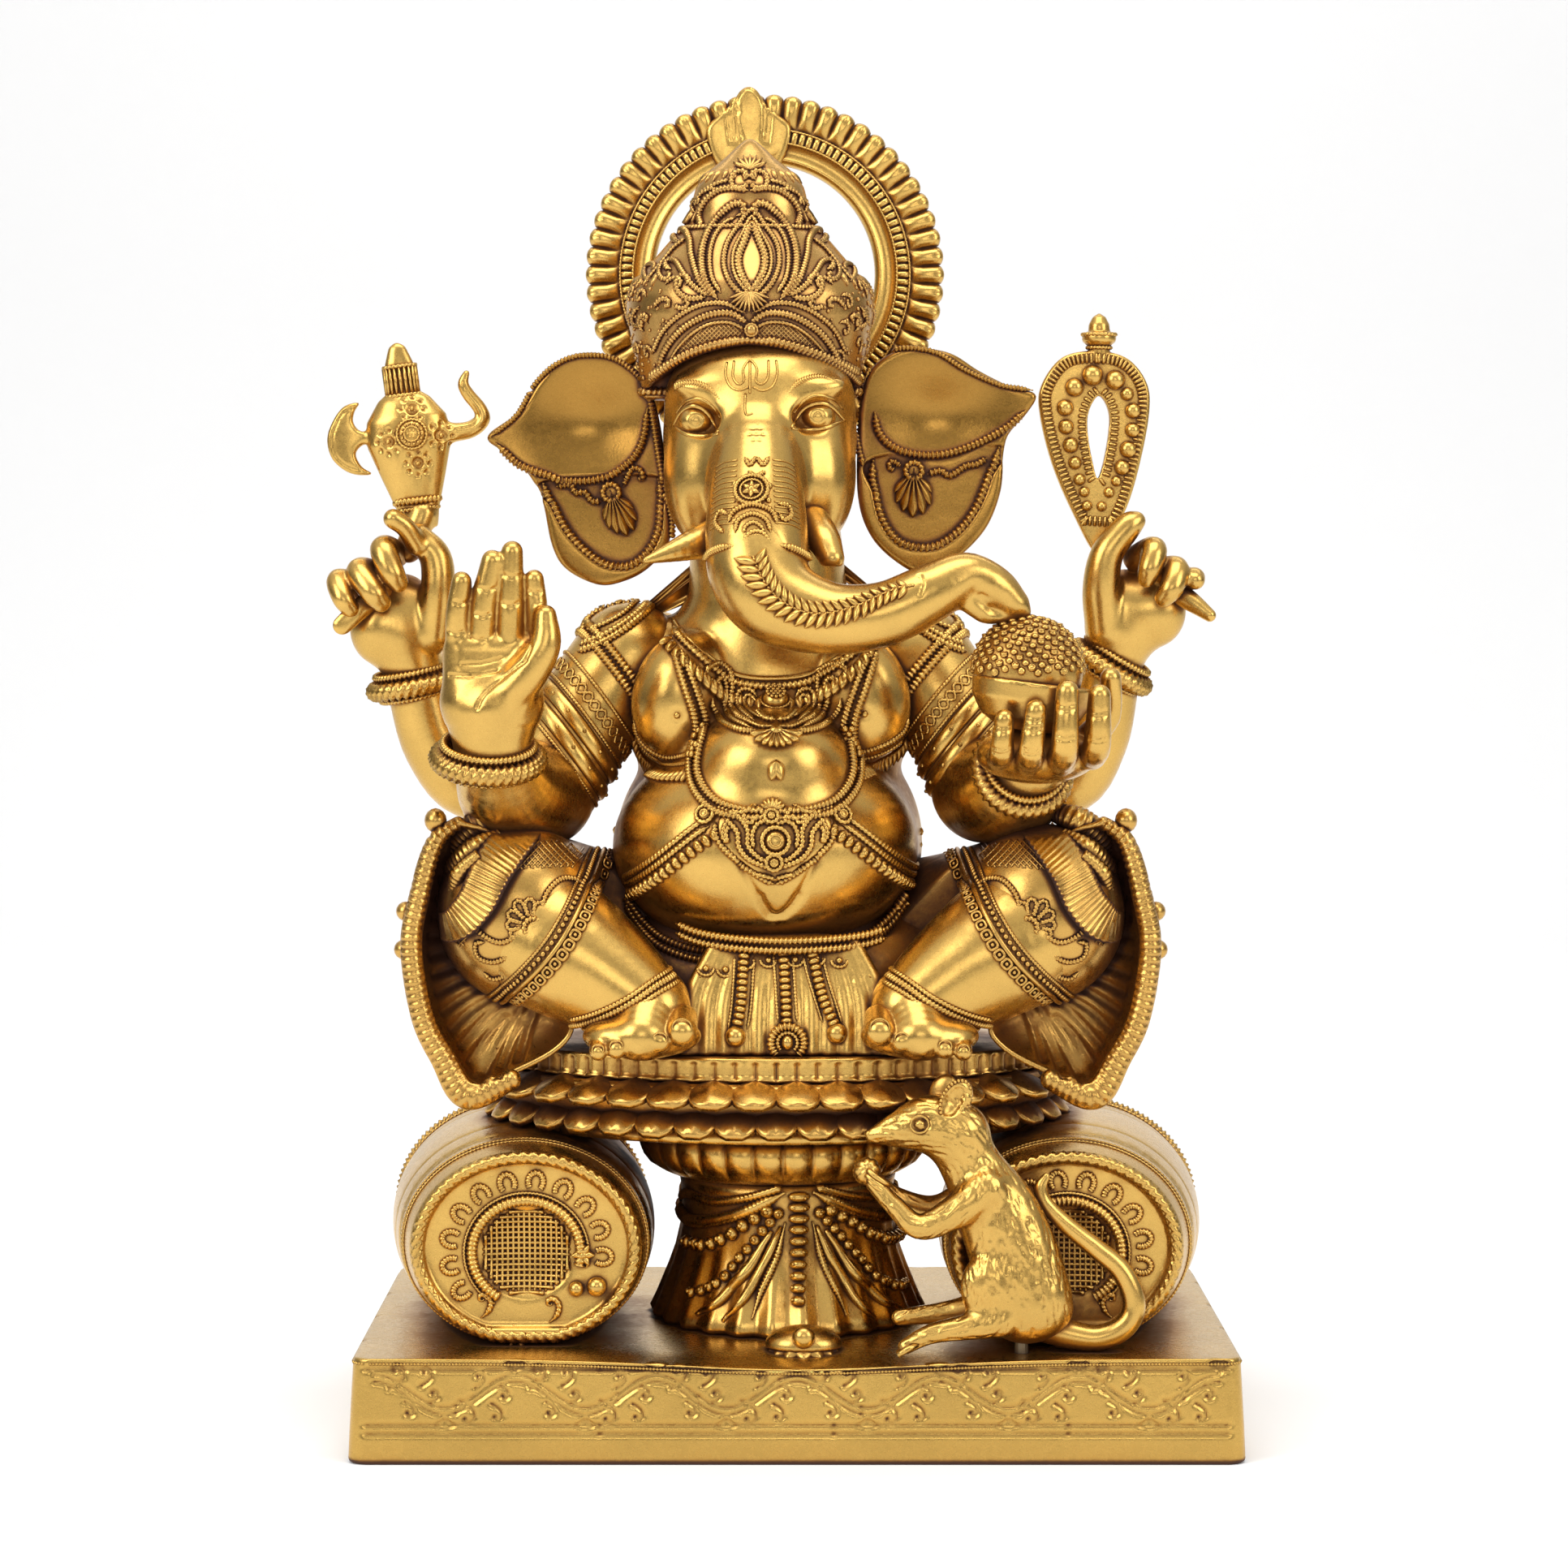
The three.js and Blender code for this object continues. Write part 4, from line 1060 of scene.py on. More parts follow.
# the collar, on its own thin bed
NECK = [(-56, 361.4), (-52.2, 356.4), (-42.6, 347.6), (-31.9, 339), (-22.3, 335.6), (-8.6, 334.7), (5.1, 336.8), (15.9, 342.6), (27.8, 351.6), (32.6, 360.2)]
bed = []
for line, r in ((NECK, 2.3),):
    path, n = skin_torso.front(line, 0.6, 0.8)
    bed.append(rope(path, r, 2.4, 0.2, 1, n, sides=9, taper=0.03))
path, n = skin_torso.front([(x, z + 3.6 - 0.02 * abs(x + 9)) for x, z in NECK], 0.2, 0.8)
bed.append(tube(path, 1.3, 7, n))
at, nn = resampled(*[skin_torso.front([(x, z - 5.2) for x, z in NECK], 0.4, 0.8)[0], 4.3, skin_torso.front([(x, z - 5.2) for x, z in NECK], 0.4, 0.8)[1]])
bed.append(copies(leaf(8, 5.4, 1.8, 1.0, 1.0, 0.6), at, 1.0, [axes_at(v, (0, 0, -1)) for v in nn]))
COLLAR = (
    ([(-39.9, 338.1), (-40.4, 342.4), (-35.4, 344.8), (-29.9, 341.7), (-28.5, 334.7), (-29.7, 327.9), (-26.3, 321.9), (-17.5, 317.9)], 1.7),
    ([(-37.8, 335.3), (-34.2, 338.8), (-31.8, 334.7), (-32.8, 327.9), (-28.8, 320.7), (-19.9, 316.7)], 1.6),
    ([(-38.2, 329.8), (-37.8, 325.3), (-33, 319.3), (-24.7, 316), (-16.3, 315.5)], 1.7),
    ([(-36.6, 337.7), (-35.4, 335.7), (-36.3, 333.8), (-37.8, 334.6)], 1.2),
    ([(-17.5, 329.5), (-20.1, 333.1), (-24.2, 333.4), (-26.3, 330), (-24.9, 324.3), (-18.5, 319.5)], 1.5),
    ([(-17.5, 327.2), (-20.8, 330.7), (-23, 329.1), (-22, 324.5), (-16.1, 321)], 1.2),
    ([(-17.5, 323.4), (-14.2, 320.7), (-9.6, 320)], 1.6),
    ([(-27, 321), (-21.1, 319.1), (-15.1, 317.2), (-10.4, 317.4)], 1.3),
)
for line, r in COLLAR:
    for points in (line, mirrored(line, -9.1)):
        path, n = skin_torso.front(points, 1.1, 0.8)
        bed.append(rope(path, r, 1.7, 0.2, 0, n, sides=8, flat=1.1, taper=0.08))
for x, z, r in (*[(x, z, 6.0) for x, z in [(-9.5, 327.9)]],):
    at, n = skin_torso.hit([[x, 0, z]], FRONT)
    bed.append(copies(FINE_BEAD, at + n * 1.5, [[r, r, 4.6]], [axes_at(n[0])]))
    bed.append(medallion(at[0] + n[0] * 1.4, n[0], r + 0.5, 0.9))
    seeds = np.array([[k * 1.9 * math.cos(q), k * 1.9 * math.sin(q)] for k in (0, 1, 2) for q in np.arange(max(1, 6 * k)) * TAU / max(1, 6 * k)])
    bed.append(copies(BEAD, on_plane(axes_at(n[0]), at[0] + n[0] * 5.4, seeds, 0.4), 0.95))
at, n = skin_torso.hit([[-9.1, 0, [(-9.6, 315)][0][1]]], FRONT)
shell_leaf = leaf(12.5, 4.4, 1.8, 1.2, 1.2, 0.5, tip=1.5, rows=14)
bed.append(fan(shell_leaf, at[0] + n[0] * 1.2, (0, 0, -1), n[0], np.linspace(-1.35, 1.35, 9), [0.95, 0.9, 0.82, 0.78, 0.76, 0.78, 0.82, 0.9, 0.95]))
bed.append(copies(FINE_BEAD, at + n * 2, [[3.2, 2.4, 2.2]], [axes_at(n[0])]))
at, n = skin_torso.hit([[-9.1, 0, 303.0]], FRONT)
bed.append(fan(leaf(9, 5.5, 1.5, 0.3, 1.0), at[0] + n[0] * 0.3, (0, 0, -1), n[0], [-0.25, 0.25]))
piece("collar", bed, cast)

# the sacred thread: two cords a side, meeting in a loop over the belly
THREAD = (
    [(-54.7, 350.9), (-52.4, 342.6), (-49.5, 333.1), (-46.4, 323.6), (-45, 314.1), (-46.2, 305.8), (-46.9, 297.5), (-45.4, 290.4), (-40.5, 283.8), (-34.1, 280), (-22.2, 277.8), (-10.3, 277.4)],
    [(-51.9, 351.4), (-48.5, 342.6), (-45.4, 334.3), (-42.4, 324.8), (-40.5, 315.3), (-42.4, 307), (-43.3, 298.7), (-41.2, 291.6), (-35.7, 285.4), (-26.9, 282.1), (-17.4, 280.7), (-10.3, 280.7)],
)
cords = []
for k, line in enumerate(THREAD):
    right = [(2 * -9.6 - x, z) for x, z in line[::-1]]
    whole = line[:-1] + right[1:] if abs(line[-1][0] + 9.6) < 3 else line + right
    path, n = skin_torso.front(whole, 1.3, 0.8)
    cords.append(rope(path, 2.1, 2.0, 0.2, 1, n, sides=9, taper=0.02))
for x, z in THREAD[0][4:6]:
    for flip in (x, 2 * -9.6 - x):
        at, n = skin_torso.hit([[flip + (2 if flip < -9 else -2), 0, z]], FRONT)
        cords.append(copies(BEAD, on_plane(axes_at(n[0]), at[0], [[-1.6, -2], [1.6, -2], [0, 0.4], [-1.6, 2.8], [1.6, 2.8]], 2.8), 1.7))
piece("sacred_thread", cords, cast)

# the belt
shells = []
STRAP = [(-39.6, 277.6), (-45.7, 273.6), (-54, 267), (-63.5, 259.2), (-72.9, 252.1), (-77.6, 249)]
for flip in (False, True):
    def turn_over(line):
        return [(2 * -9.6 - x - 0.9, z + 1.6) for x, z in line] if flip else list(line)
    shells.append(laid(skin_torso, turn_over(STRAP), 1.7, 2.3, 1, 0.6))
    shells.append(laid(skin_torso, turn_over([(x + 1.2, z - 3.2) for x, z in STRAP]), 1.7, 2.3, 1, 0.6))
    path, n = skin_torso.front(turn_over([(x + 3.6, z - 7.2) for x, z in STRAP]), 0.6, 0.8)
    at, nn = resampled(path, 4.5, n)
    t = tangents(at)
    axes = [np.stack([a, np.cross(v, a), v], -1) for a, v in zip(t, unit(nn))]
    shells.append(copies(FINE_BEAD, at, [[2.15, 3.1, 2.3]], axes))
    shells.append(copies(BEAD, at + nn * 2.0, [[0.9, 1.5, 1.0]], axes))
plaque_lines = []
for line, r in (
    ([(-35.7, 276.2), (-35.5, 271.9), (-32.9, 266.3), (-28.4, 261.8), (-22, 256.6), (-16.1, 252.7), (-9.8, 249.3)], 2.0),
    ([(-31.5, 278.1), (-26.1, 272.2), (-25.3, 266), (-20.9, 260.4), (-11.4, 256.6)], 1.7),
    ([(-33.1, 279.7), (-26.8, 279.7), (-21.6, 273.4), (-21.3, 266.3), (-16.1, 260.9), (-10.3, 259.2)], 1.6),
    ([(-18.7, 265.1), (-19.5, 270.8), (-17.3, 275.5), (-13.6, 276.9)], 1.5),
    ([(-23.2, 280.7), (-22.5, 276.9), (-19.7, 276.2), (-18, 278.8), (-14.7, 278.1)], 1.4),
    ([(-29.1, 278.1), (-31.5, 274.5), (-32.4, 270.8), (-30.3, 267.7), (-31, 271.9), (-29.1, 275)], 1.5),
    ([(-17.3, 282.8), (-15, 280.2), (-14, 276.9), (-9.5, 275.5)], 1.5),
    ([(-37.4, 281.1), (-33.8, 282.1), (-29.1, 280.7), (-23.2, 280.7), (-17.3, 284)], 1.5),
    ([(-26.8, 260.2), (-19.7, 255.2), (-9.8, 251.9)], 1.3),
):
    for points in (line, mirrored(line, -9.6)):
        plaque_lines.append((points, r))
plaque = [(-33.8, 278.1), (-33.8, 269.8), (-29.1, 263.3), (-22, 257.8), (-9.8, 250.4), (2.5, 257.8), (9.6, 263.3), (14.3, 269.8), (14.3, 278.1), (3.9, 281.6), (-9.8, 284), (-23.2, 281.6)]
patch = Clay([-50, -104, 240], [32, -60, 292], 1.0)
patch.add(egg((-14, -26, 262), (70.6, 62.6, 51.4)))
patch.carve((np.array([-60, -120, 230.0]), np.array([40, -50, 300.0]), lambda x, y, z, o=smooth_outline(plaque): -outline_distance(o, x, z)))
patch_shell = patch.shell()
shells.append(patch_shell)
skin_belt = Skin(torso_shell, patch_shell)
for points, r in plaque_lines:
    shells.append(laid(skin_belt, points, r, 1.9, lift=0.5, flat=1.15, taper=0.06))
for (x, z), r in (([(-9.4, 268.3)][0], 6.0), ([(-10, 259.1)][0], 3.4), ([(-11.2, 278.8)][0], 2.9),
                  ([(-40.1, 279.3)][0], 3.9), ([(19.7, 279)][0], 3.9)):
    at, n = skin_belt.hit([[x, 0, z]], FRONT)
    out = n[0]
    at = at - n * 0.8
    shells.append(medallion(at[0] + out * 2.4, out, r, 1.3, 1.8))
    shells.append(copies(FINE_BEAD, [at[0] + out * 1.2], [[r * 0.8, r * 0.8, 2.6]], [axes_at(out)]))
    shells.append(medallion(at[0] + out * 3.4, out, r * 0.42, 0.6, 1.2))
at, n = skin_torso.hit([[-10.6, 0, [(-11.4, 280.7)][0][1]]], FRONT)
shells.append(fan(leaf(6.5, 3.0, 1.2, 0.5, 1.0, 0.3), at[0] + n[0] * 1.6, (0, 0, 1), n[0], np.linspace(-1.1, 1.1, 7)))
piece("belt", shells, cast)

# ---------------------------------------------------------------- hips, legs and cloth
hips = Clay([-118, -84, 168], [100, 84, 262], 1.3)
hips.add(egg((-12, 4, 205), (98, 70, 42)))
hips.add(egg((-10, -30, 196), (70, 40, 26)), 10)
hips.keep_above(SEAT_TOP)
hips_shell = hips.soften(1).shell()
skin_hips = Skin(hips_shell, torso_shell)
shells = [hips_shell]
WAIST = [(-78, 239.2), (-72.1, 230.9), (-63.8, 223.8), (-54.3, 220), (-42.4, 217.8), (-27, 219.5), (-10.3, 220.4), (7.5, 221.2), (25.3, 222.3), (36, 226.1), (44.3, 233.3), (50.3, 241.6)]
for drop, r, lean in ((0, 2.0, 1), (4.0, 2.0, 1)):
    line = [(x * 0.98, z - drop) for x, z in WAIST]
    path = resampled(np.stack([spline(np.array(line), 8)[:, 0], np.full((len(line) - 1) * 8 + 1, 0.0)[: len(spline(np.array(line), 8))], spline(np.array(line), 8)[:, 1]], 1), 1.0)
    at, n = skin_hips.hit(path, FRONT)
    at[:, 1] = np.minimum(at[:, 1] - 1.0, -62 + 0.006 * (at[:, 0] + 10) ** 2)
    for _ in range(3):
        at[1:-1] = (at[:-2] + 2 * at[1:-1] + at[2:]) / 4
    shells.append(rope(at, r, 2.2, 0.2, lean, n, sides=9, flat=1.3))
for level, r in ((186, 1.5), (191, 2.0), (232, 1.8)):
    a = np.linspace(-0.12 * np.pi, 1.12 * np.pi, 120)
    points = np.stack([-12 + 140 * np.cos(a), 4 + 120 * np.sin(a), np.full(120, float(level))], 1)
    at, n = skin_hips.round(np.array([-12, 4, level]), [0, 0, 1.0], points, 0.3)
    shells.append(rope(at, r, 2.2, 0.2, 1, n, sides=8, taper=0.02))
creases = []
for a in np.linspace(0.06 * np.pi, 0.94 * np.pi, 19):
    way = np.array([math.cos(a), math.sin(a), 0])
    levels_at = np.linspace(196, 228, 12)
    sway = a + 0.03 * np.sin((levels_at - 196) / 32 * np.pi)
    points = np.stack([-12 + 140 * np.cos(sway), 4 + 120 * np.sin(sway), levels_at], 1)
    creases.append(skin_hips.round(np.array([-12, 4, 200.0]), [0, 0, 1.0], points)[0])
engrave(hips_shell, creases, 2.0, 1.4)
piece("hips", shells, deep_cast)

KNEE = [(-121, -58, 234), (37, 34, 36)]
for side, left in (("right", False), ("left", True)):
    inward = -1 if left else 1
    low, high = corners([(-176, -104, 168), (32, 46, 292)], left)
    thigh = Clay(low, high, 1.15)
    thigh.limb(both([(-52, 10, 210), (-92, -8, 220), (-122, -34, 232)], left), [40, 39, 38])
    thigh.add(egg(one((-124, -56, 234), left), (36, 35, 40), (0, -0.18 * inward, 0)), 10)
    edge = both([(-78, -60, 274), (-88, -60, 250), (-100, -60, 226), (-116, -60, 207), (-132, -60, 188), (-150, -60, 160),
                 (-30, -60, 160), (-30, -60, 274)], left)
    cut = smooth_outline(edge[:, [0, 2]])
    shin_low, shin_high = corners([(-176, -130, 150), (-20, -30, 290)], left)
    thigh.carve((shin_low, shin_high, lambda x, y, z, o=cut: np.maximum(outline_distance(o, x, z), y + 34)))
    thigh_shell = thigh.soften(2).shell()

    low, high = corners([(-160, -112, 168), (-20, -18, 284)], left)
    shin = Clay(low, high, 1.1)
    shin.limb(both([(-124, -56, 232), (-104, -66, 219), (-82, -74, 206), (-64, -82, 194)], left), [32, 30.5, 24, 17.5])
    shin.keep_above(SEAT_TOP)
    shin_shell = shin.soften(1).shell()
    skin_shin = Skin(shin_shell)
    skin_knee = Skin(thigh_shell, shin_shell)
    skin_thigh = Skin(thigh_shell)

    # the cloth's border over the knee: a row of beads, a ridge and a row of ringed squares
    border = both([(-82, 0, 268), (-88, 0, 254), (-94, 0, 238), (-103, 0, 222), (-115, 0, 208), (-128, 0, 196), (-137, 0, 188)], left)[:, [0, 2]]
    shift = np.array([inward, -0.62]) / math.hypot(1, 0.62)
    shells = [thigh_shell]
    shells.append(strung(skin_knee, border - shift * 4.6, 1.35, 3.1, 0.6))
    shells.append(laid(skin_knee, border - shift * 7.4, 1.0, 1.6, lift=0.5))
    path, n = skin_knee.front(border - shift * 1.6, 0.8, 0.8)
    shells.append(tube(path, 1.25, 7, n))
    path, n = skin_knee.front(border + shift * 2.2, 1.0, 0.8)
    at, nn = resampled(path, 5.2, n)
    t = tangents(at)
    for p, a, v in zip(at, t, unit(nn)):
        axes = np.stack([a, np.cross(v, a), v], -1)
        square = on_plane(axes, p, np.array([[math.copysign(abs(math.cos(q)) ** 0.6, math.cos(q)), math.copysign(abs(math.sin(q)) ** 0.6, math.sin(q))]
                                             for q in np.arange(20) * TAU / 20]) * 2.0)
        shells.append(tube(square, 0.75, 6, np.tile(v, (20, 1)), True))
        shells.append(copies(BEAD, [p], 1.0))
    centre_xz = one((-116, 0, 231), left)
    at, n = skin_thigh.hit([centre_xz], FRONT)
    out = n[0]
    rose = at[0] + out * 0.8
    shells.append(medallion(rose + out * 0.6, out, 3.7, 1.7, 1.8))
    shells.append(medallion(rose + out * 0.4, out, 1.5, 0.7, 1.2))
    upward = one((0.0, 0, 1), False)
    for k, a in enumerate(np.linspace(-0.35, 1.95, 6)):
        length = 12.5 - 1.0 * abs(k - 2)
        c, s_ = math.cos(a), math.sin(a)
        way = np.array([-s_ * inward, 0, c])
        across = np.array([-way[2], 0, way[0]])
        loop = [centre_xz[[0, 2]] + way[[0, 2]] * u * length + across[[0, 2]] * w for u, w in
                ((0.3, 0.5), (0.6, 1.5), (0.88, 2.0), (1.03, 0.8), (1.03, -0.8), (0.88, -2.0), (0.6, -1.5), (0.3, -0.5))]
        shells.append(laid(skin_thigh, loop, 1.15, 1.6, lift=0.4))
    scrolls = (
        [(-112, 237), (-110, 245), (-104, 251), (-97, 250), (-95, 245), (-98, 242), (-101, 244)],
        [(-111, 234), (-106, 240), (-103, 243), (-100, 240), (-102, 236)],
        [(-119, 226), (-125, 219), (-133, 215), (-140, 217), (-141, 223), (-137, 224)],
        [(-117, 224), (-121, 215), (-128, 209), (-134, 207), (-138, 210)],
        [(-121, 228), (-129, 224), (-136, 226), (-143, 232)],
    )
    for line in scrolls:
        line = both([(x, 0, z) for x, z in line], left)[:, [0, 2]]
        shells.append(laid(skin_thigh, line, 1.45, 1.7, lift=0.4))
    hatch = both([(-96, 0, 262), (-112, 0, 268), (-132, 0, 264), (-146, 0, 246), (-152, 0, 226), (-146, 0, 222), (-138, 0, 240),
                  (-126, 0, 254), (-110, 0, 256), (-98, 0, 256)], left)[:, [0, 2]]
    shells += hatching(skin_thigh, hatch, 2.6, 0.5)
    flap = both([(-112, 0, 282), (-122, 0, 272), (-133, 0, 257), (-141, 0, 241), (-151, 0, 231), (-162, 0, 229)], left)[:, [0, 2]]
    shells.append(draped(skin_thigh, flap[::inward], [5, 9, 9.5, 9, 8, 5], 3.4, 3.0, 2.4, 1.4, 2.5))
    for path, r in (
        ([(-128, -52, 279), (-138, -60, 276), (-148, -56, 268), (-154, -46, 256)], [4, 7, 7, 4]),
        ([(-132, -66, 270), (-142, -70, 264), (-150, -64, 256), (-155, -54, 246)], [3, 5.5, 5.5, 3]),
        ([(-140, -80, 262), (-148, -78, 254), (-152, -70, 244)], [2.5, 4.4, 3]),
    ):
        core = spline(both(path, left), 10)
        girth = np.interp(np.linspace(0, 1, 120), np.linspace(0, 1, len(r)), r)
        core = resampled(core, along(core)[-1] / 119)
        girth = np.interp(np.linspace(0, 1, len(core)), np.linspace(0, 1, len(girth)), girth)
        girth = girth * (0.95 + 0.05 * np.cos(TAU * along(core) / 2.2))
        shells.append(tube(core, girth[:, None] * np.ones((1, 14)), 14))
    piece(f"{side}_thigh", shells, deep_cast)

    shells = [shin_shell]
    ankle = [(-100, 186), (-88, 190), (-74, 197), (-62, 205), (-52, 210)]
    for shift_z, r, lean in ((3.2, 1.3, 1), (0, 1.9, 1), (-3.4, 1.3, 1)):
        line = both([(x, 0, z + shift_z) for x, z in ankle], left)[:, [0, 2]]
        shells.append(laid(skin_shin, line, r, 1.9, lean, 0.5, taper=0.02))
    piece(f"{side}_shin", shells, smooth_cast)

    low, high = corners([(-106, -122, 168), (-30, -60, 216)], left)
    foot = Clay(low, high, 0.75)
    foot.limb(both([(-64, -80, 196), (-68, -99, 184)], left), [17, 11], 4)
    foot.add(egg(one((-68, -91, 183), left), (26, 17, 10)), 4)
    creases = []
    for x, z, r in ((-50, 186.5, 6.6), (-59.5, 182, 4.7), (-69, 180, 4.7), (-78.5, 178.8, 4.5), (-86.5, 177.5, 4.0)):
        foot.limb(both([(x, -92, z + 4), (x, -105, z)], left), [r, r], 1.2)
    foot.keep_above(SEAT_TOP)
    foot_shell = foot.shell()
    shells = [foot_shell]
    for x, z, r in ((-50, 186.5, 6.6), (-59.5, 182, 4.7), (-69, 180, 4.7), (-78.5, 178.8, 4.5), (-86.5, 177.5, 4.0)):
        a = np.linspace(-0.75 * np.pi, 0.75 * np.pi, 20) - np.pi / 2
        nail = np.stack([x + r * 0.62 * np.cos(a), np.full(20, -106 - r * 0.6), z + r * 0.35 - r * 0.55 * np.sin(a)], 1)
        shells.append(tube(both(nail, left), 0.35, 5))
    piece(f"{side}_foot", shells, smooth_cast)

    # the cloth's flared hem: a hollow sheet behind a thick hatched lip
    lip = both([(-150, -66, 275), (-160, -72, 266), (-167, -76, 241), (-170, -78, 220), (-165, -80, 190), (-156, -82, 172),
                (-145, -84, 156), (-126, -86, 163)], left)
    low, high = corners([(-186, -100, 146), (-84, -22, 290)], left)
    hem = Clay(low, high, 1.1)
    sheet = both([(-150, 0, 276), (-162, 0, 268), (-168, 0, 241), (-171, 0, 220), (-166, 0, 190), (-157, 0, 172), (-146, 0, 155),
                  (-128, 0, 161), (-104, 0, 174), (-98, 0, 190), (-110, 0, 230), (-130, 0, 268)], left)[:, [0, 2]]
    rim = smooth_outline(sheet)
    hem.add(plate(sheet, -46, 9, 3, lambda x, z, o=rim: -26 * np.exp(outline_distance(o, x, z) / 7.0)))
    hem.keep_above(SEAT_TOP - 25)
    hem.limb(lip, [3.2, 4.4, 4.8, 5.0, 5.2, 5.6, 6.6, 5], 2)
    hem_shell = hem.soften(1).shell()
    skin_hem = Skin(hem_shell)
    cuts = []
    at = resampled(spline(lip, 10), 3.3)
    t = tangents(at)
    for p, a in zip(at, t):
        across = unit(np.cross(a, [0, 1, 0]))
        cuts.append(skin_hem.front([p[[0, 2]] + across[[0, 2]] * 4.6, p[[0, 2]] - across[[0, 2]] * 4.6], 0, 0.5, smooth=False)[0])
    engrave(hem_shell, cuts, 0.8, 1.1)
    folds = []
    heart = one((-108, 0, 216), left)[[0, 2]]
    for k, spot in enumerate(resampled(spline(lip, 10), 9.5)[1:]):
        spot = spot[[0, 2]]
        reach = 0.52 if k % 2 else 0.34
        folds.append(skin_hem.front([spot + (heart - spot) * share + np.array([0, bend]) for share, bend in
                                     ((0.12, 0), (0.12 + reach * 0.5, 1.5), (0.12 + reach, 0))], 0, 0.8)[0])
    engrave(hem_shell, folds, 2.2, 2.0)
    shells = [hem_shell]
    for x, z in ((-173, 236), (-174, 219), (-165, 190)):
        shells.append(copies(FINE_BEAD, [one((x, -70, z), left)], [[4.4, 5, 4.4]]))
    knob = np.array([one((-160, -66, 276), left)])
    shells.append(copies(FINE_BEAD, knob, [[5, 6, 5.5]]))
    piece(f"{side}_hem", shells, deep_cast)

apron = Clay([-66, -98, 168], [56, -40, 236], 1.0)
for x in np.linspace(-46, 36, 12):
    apron.limb([(-5 + (x + 5) * 0.72, -68, 222), (x, -75, 198), (x * 1.04, -80, 172)], [4, 4.6, 4.6], 1.2)
apron.add(egg((-5, -60, 196), (44, 16, 32)), 4)
apron.carve(block((-90, -120, 226), (80, 0, 260), 1))
apron.carve(block((-92, -120, 212), (-44, 0, 250), 8, (0, 0.5, 0)), 3)
apron.carve(block((34, -120, 212), (82, 0, 250), 8, (0, -0.5, 0)), 3)
apron.keep_above(SEAT_TOP)
apron_shell = apron.soften(1).shell()
skin_apron = Skin(apron_shell)
shells = [apron_shell]
for line, ball in (
    ([(-23.2, 216.2), (-23.7, 206.1), (-24.6, 194.3), (-26.1, 184.9)], [(-26.5, 181.6)][0]),
    ([(-6.1, 217.3), (-5.3, 206.1), (-4.6, 194.3), (-4.1, 188.4)], None),
    ([(7, 216.7), (9.3, 207.3), (12.6, 196.7), (15.7, 187.8)], [(17.1, 183)][0]),
):
    path, n = skin_apron.front(line, 1.2, 0.8)
    at, nn = resampled(path, 3.0, n)
    t = tangents(at)
    axes = [np.stack([np.cross(a, v), a, v], -1) for a, v in zip(t, unit(nn))]
    shells.append(copies(FINE_BEAD, at, [[2.7, 1.65, 2.3]], axes))
    for shift_x in (-4.2, 4.2):
        shells.append(laid(skin_apron, [(x + shift_x, z) for x, z in line], 0.8, 1.6, lift=0.3))
    if ball:
        at, n = skin_apron.hit([[ball[0], 0, ball[1]]], FRONT)
        shells.append(copies(FINE_BEAD, at + n * 1.5, 4.6))
centre = np.array([[(-4.1, 179.2)][0][0], -84, [(-4.1, 179.2)][0][1]])
for r, bar, pitch in ((7.2, 2.2, 1.8), (4.4, 1.2, 1.6)):
    a = np.linspace(-0.25 * np.pi, 1.25 * np.pi, 40)
    shells.append(rope(np.stack([centre[0] + r * np.cos(a), np.full(40, -84.0), centre[2] + r * np.sin(a)], 1), bar, pitch, 0.2, 0, np.tile([0, -1.0, 0], (40, 1)), sides=8))
shells.append(copies(FINE_BEAD, [centre], [[2.6, 2.6, 3.4]]))
for drop, r in ((0, 2.1), (4.2, 2.1)):
    line = [(-54, 228 - drop), (-44, 224.5 - drop), (-30, 222.5 - drop), (-10, 221.5 - drop), (12, 222 - drop), (30, 223.5 - drop), (40, 226 - drop)]
    path = resampled(np.array([(x, -77.5 + 0.0065 * (x + 6) ** 2, z + 2) for x, z in spline(np.array(line, float), 8)]), 1.0)
    shells.append(rope(path, r, 2.2, 0.2, 1, np.tile([0, -1.0, 0.2], (len(path), 1)), sides=9, flat=1.1, taper=0.03))
drops = [(-40.3, 213.1), (-31.6, 212.6), (-22.1, 215.7), (-12.6, 216.7), (-0.8, 216.9), (8.9, 217.4), (18.6, 216.4)]
for x, z in drops:
    at, n = skin_apron.hit([[x, 0, z - 2]], FRONT)
    a = np.linspace(np.pi, TAU, 14)
    loop = on_plane(axes_at(n[0]), at[0], np.stack([3.6 * np.cos(a), 3.0 * np.sin(a)], 1), 0.6)
    shells.append(rope(loop, 0.9, 1.5, 0.2, 0, np.tile(n[0], (14, 1)), sides=6))
    shells.append(copies(BEAD, at + n * 0.6, 1.5))
piece("apron", shells, cast)

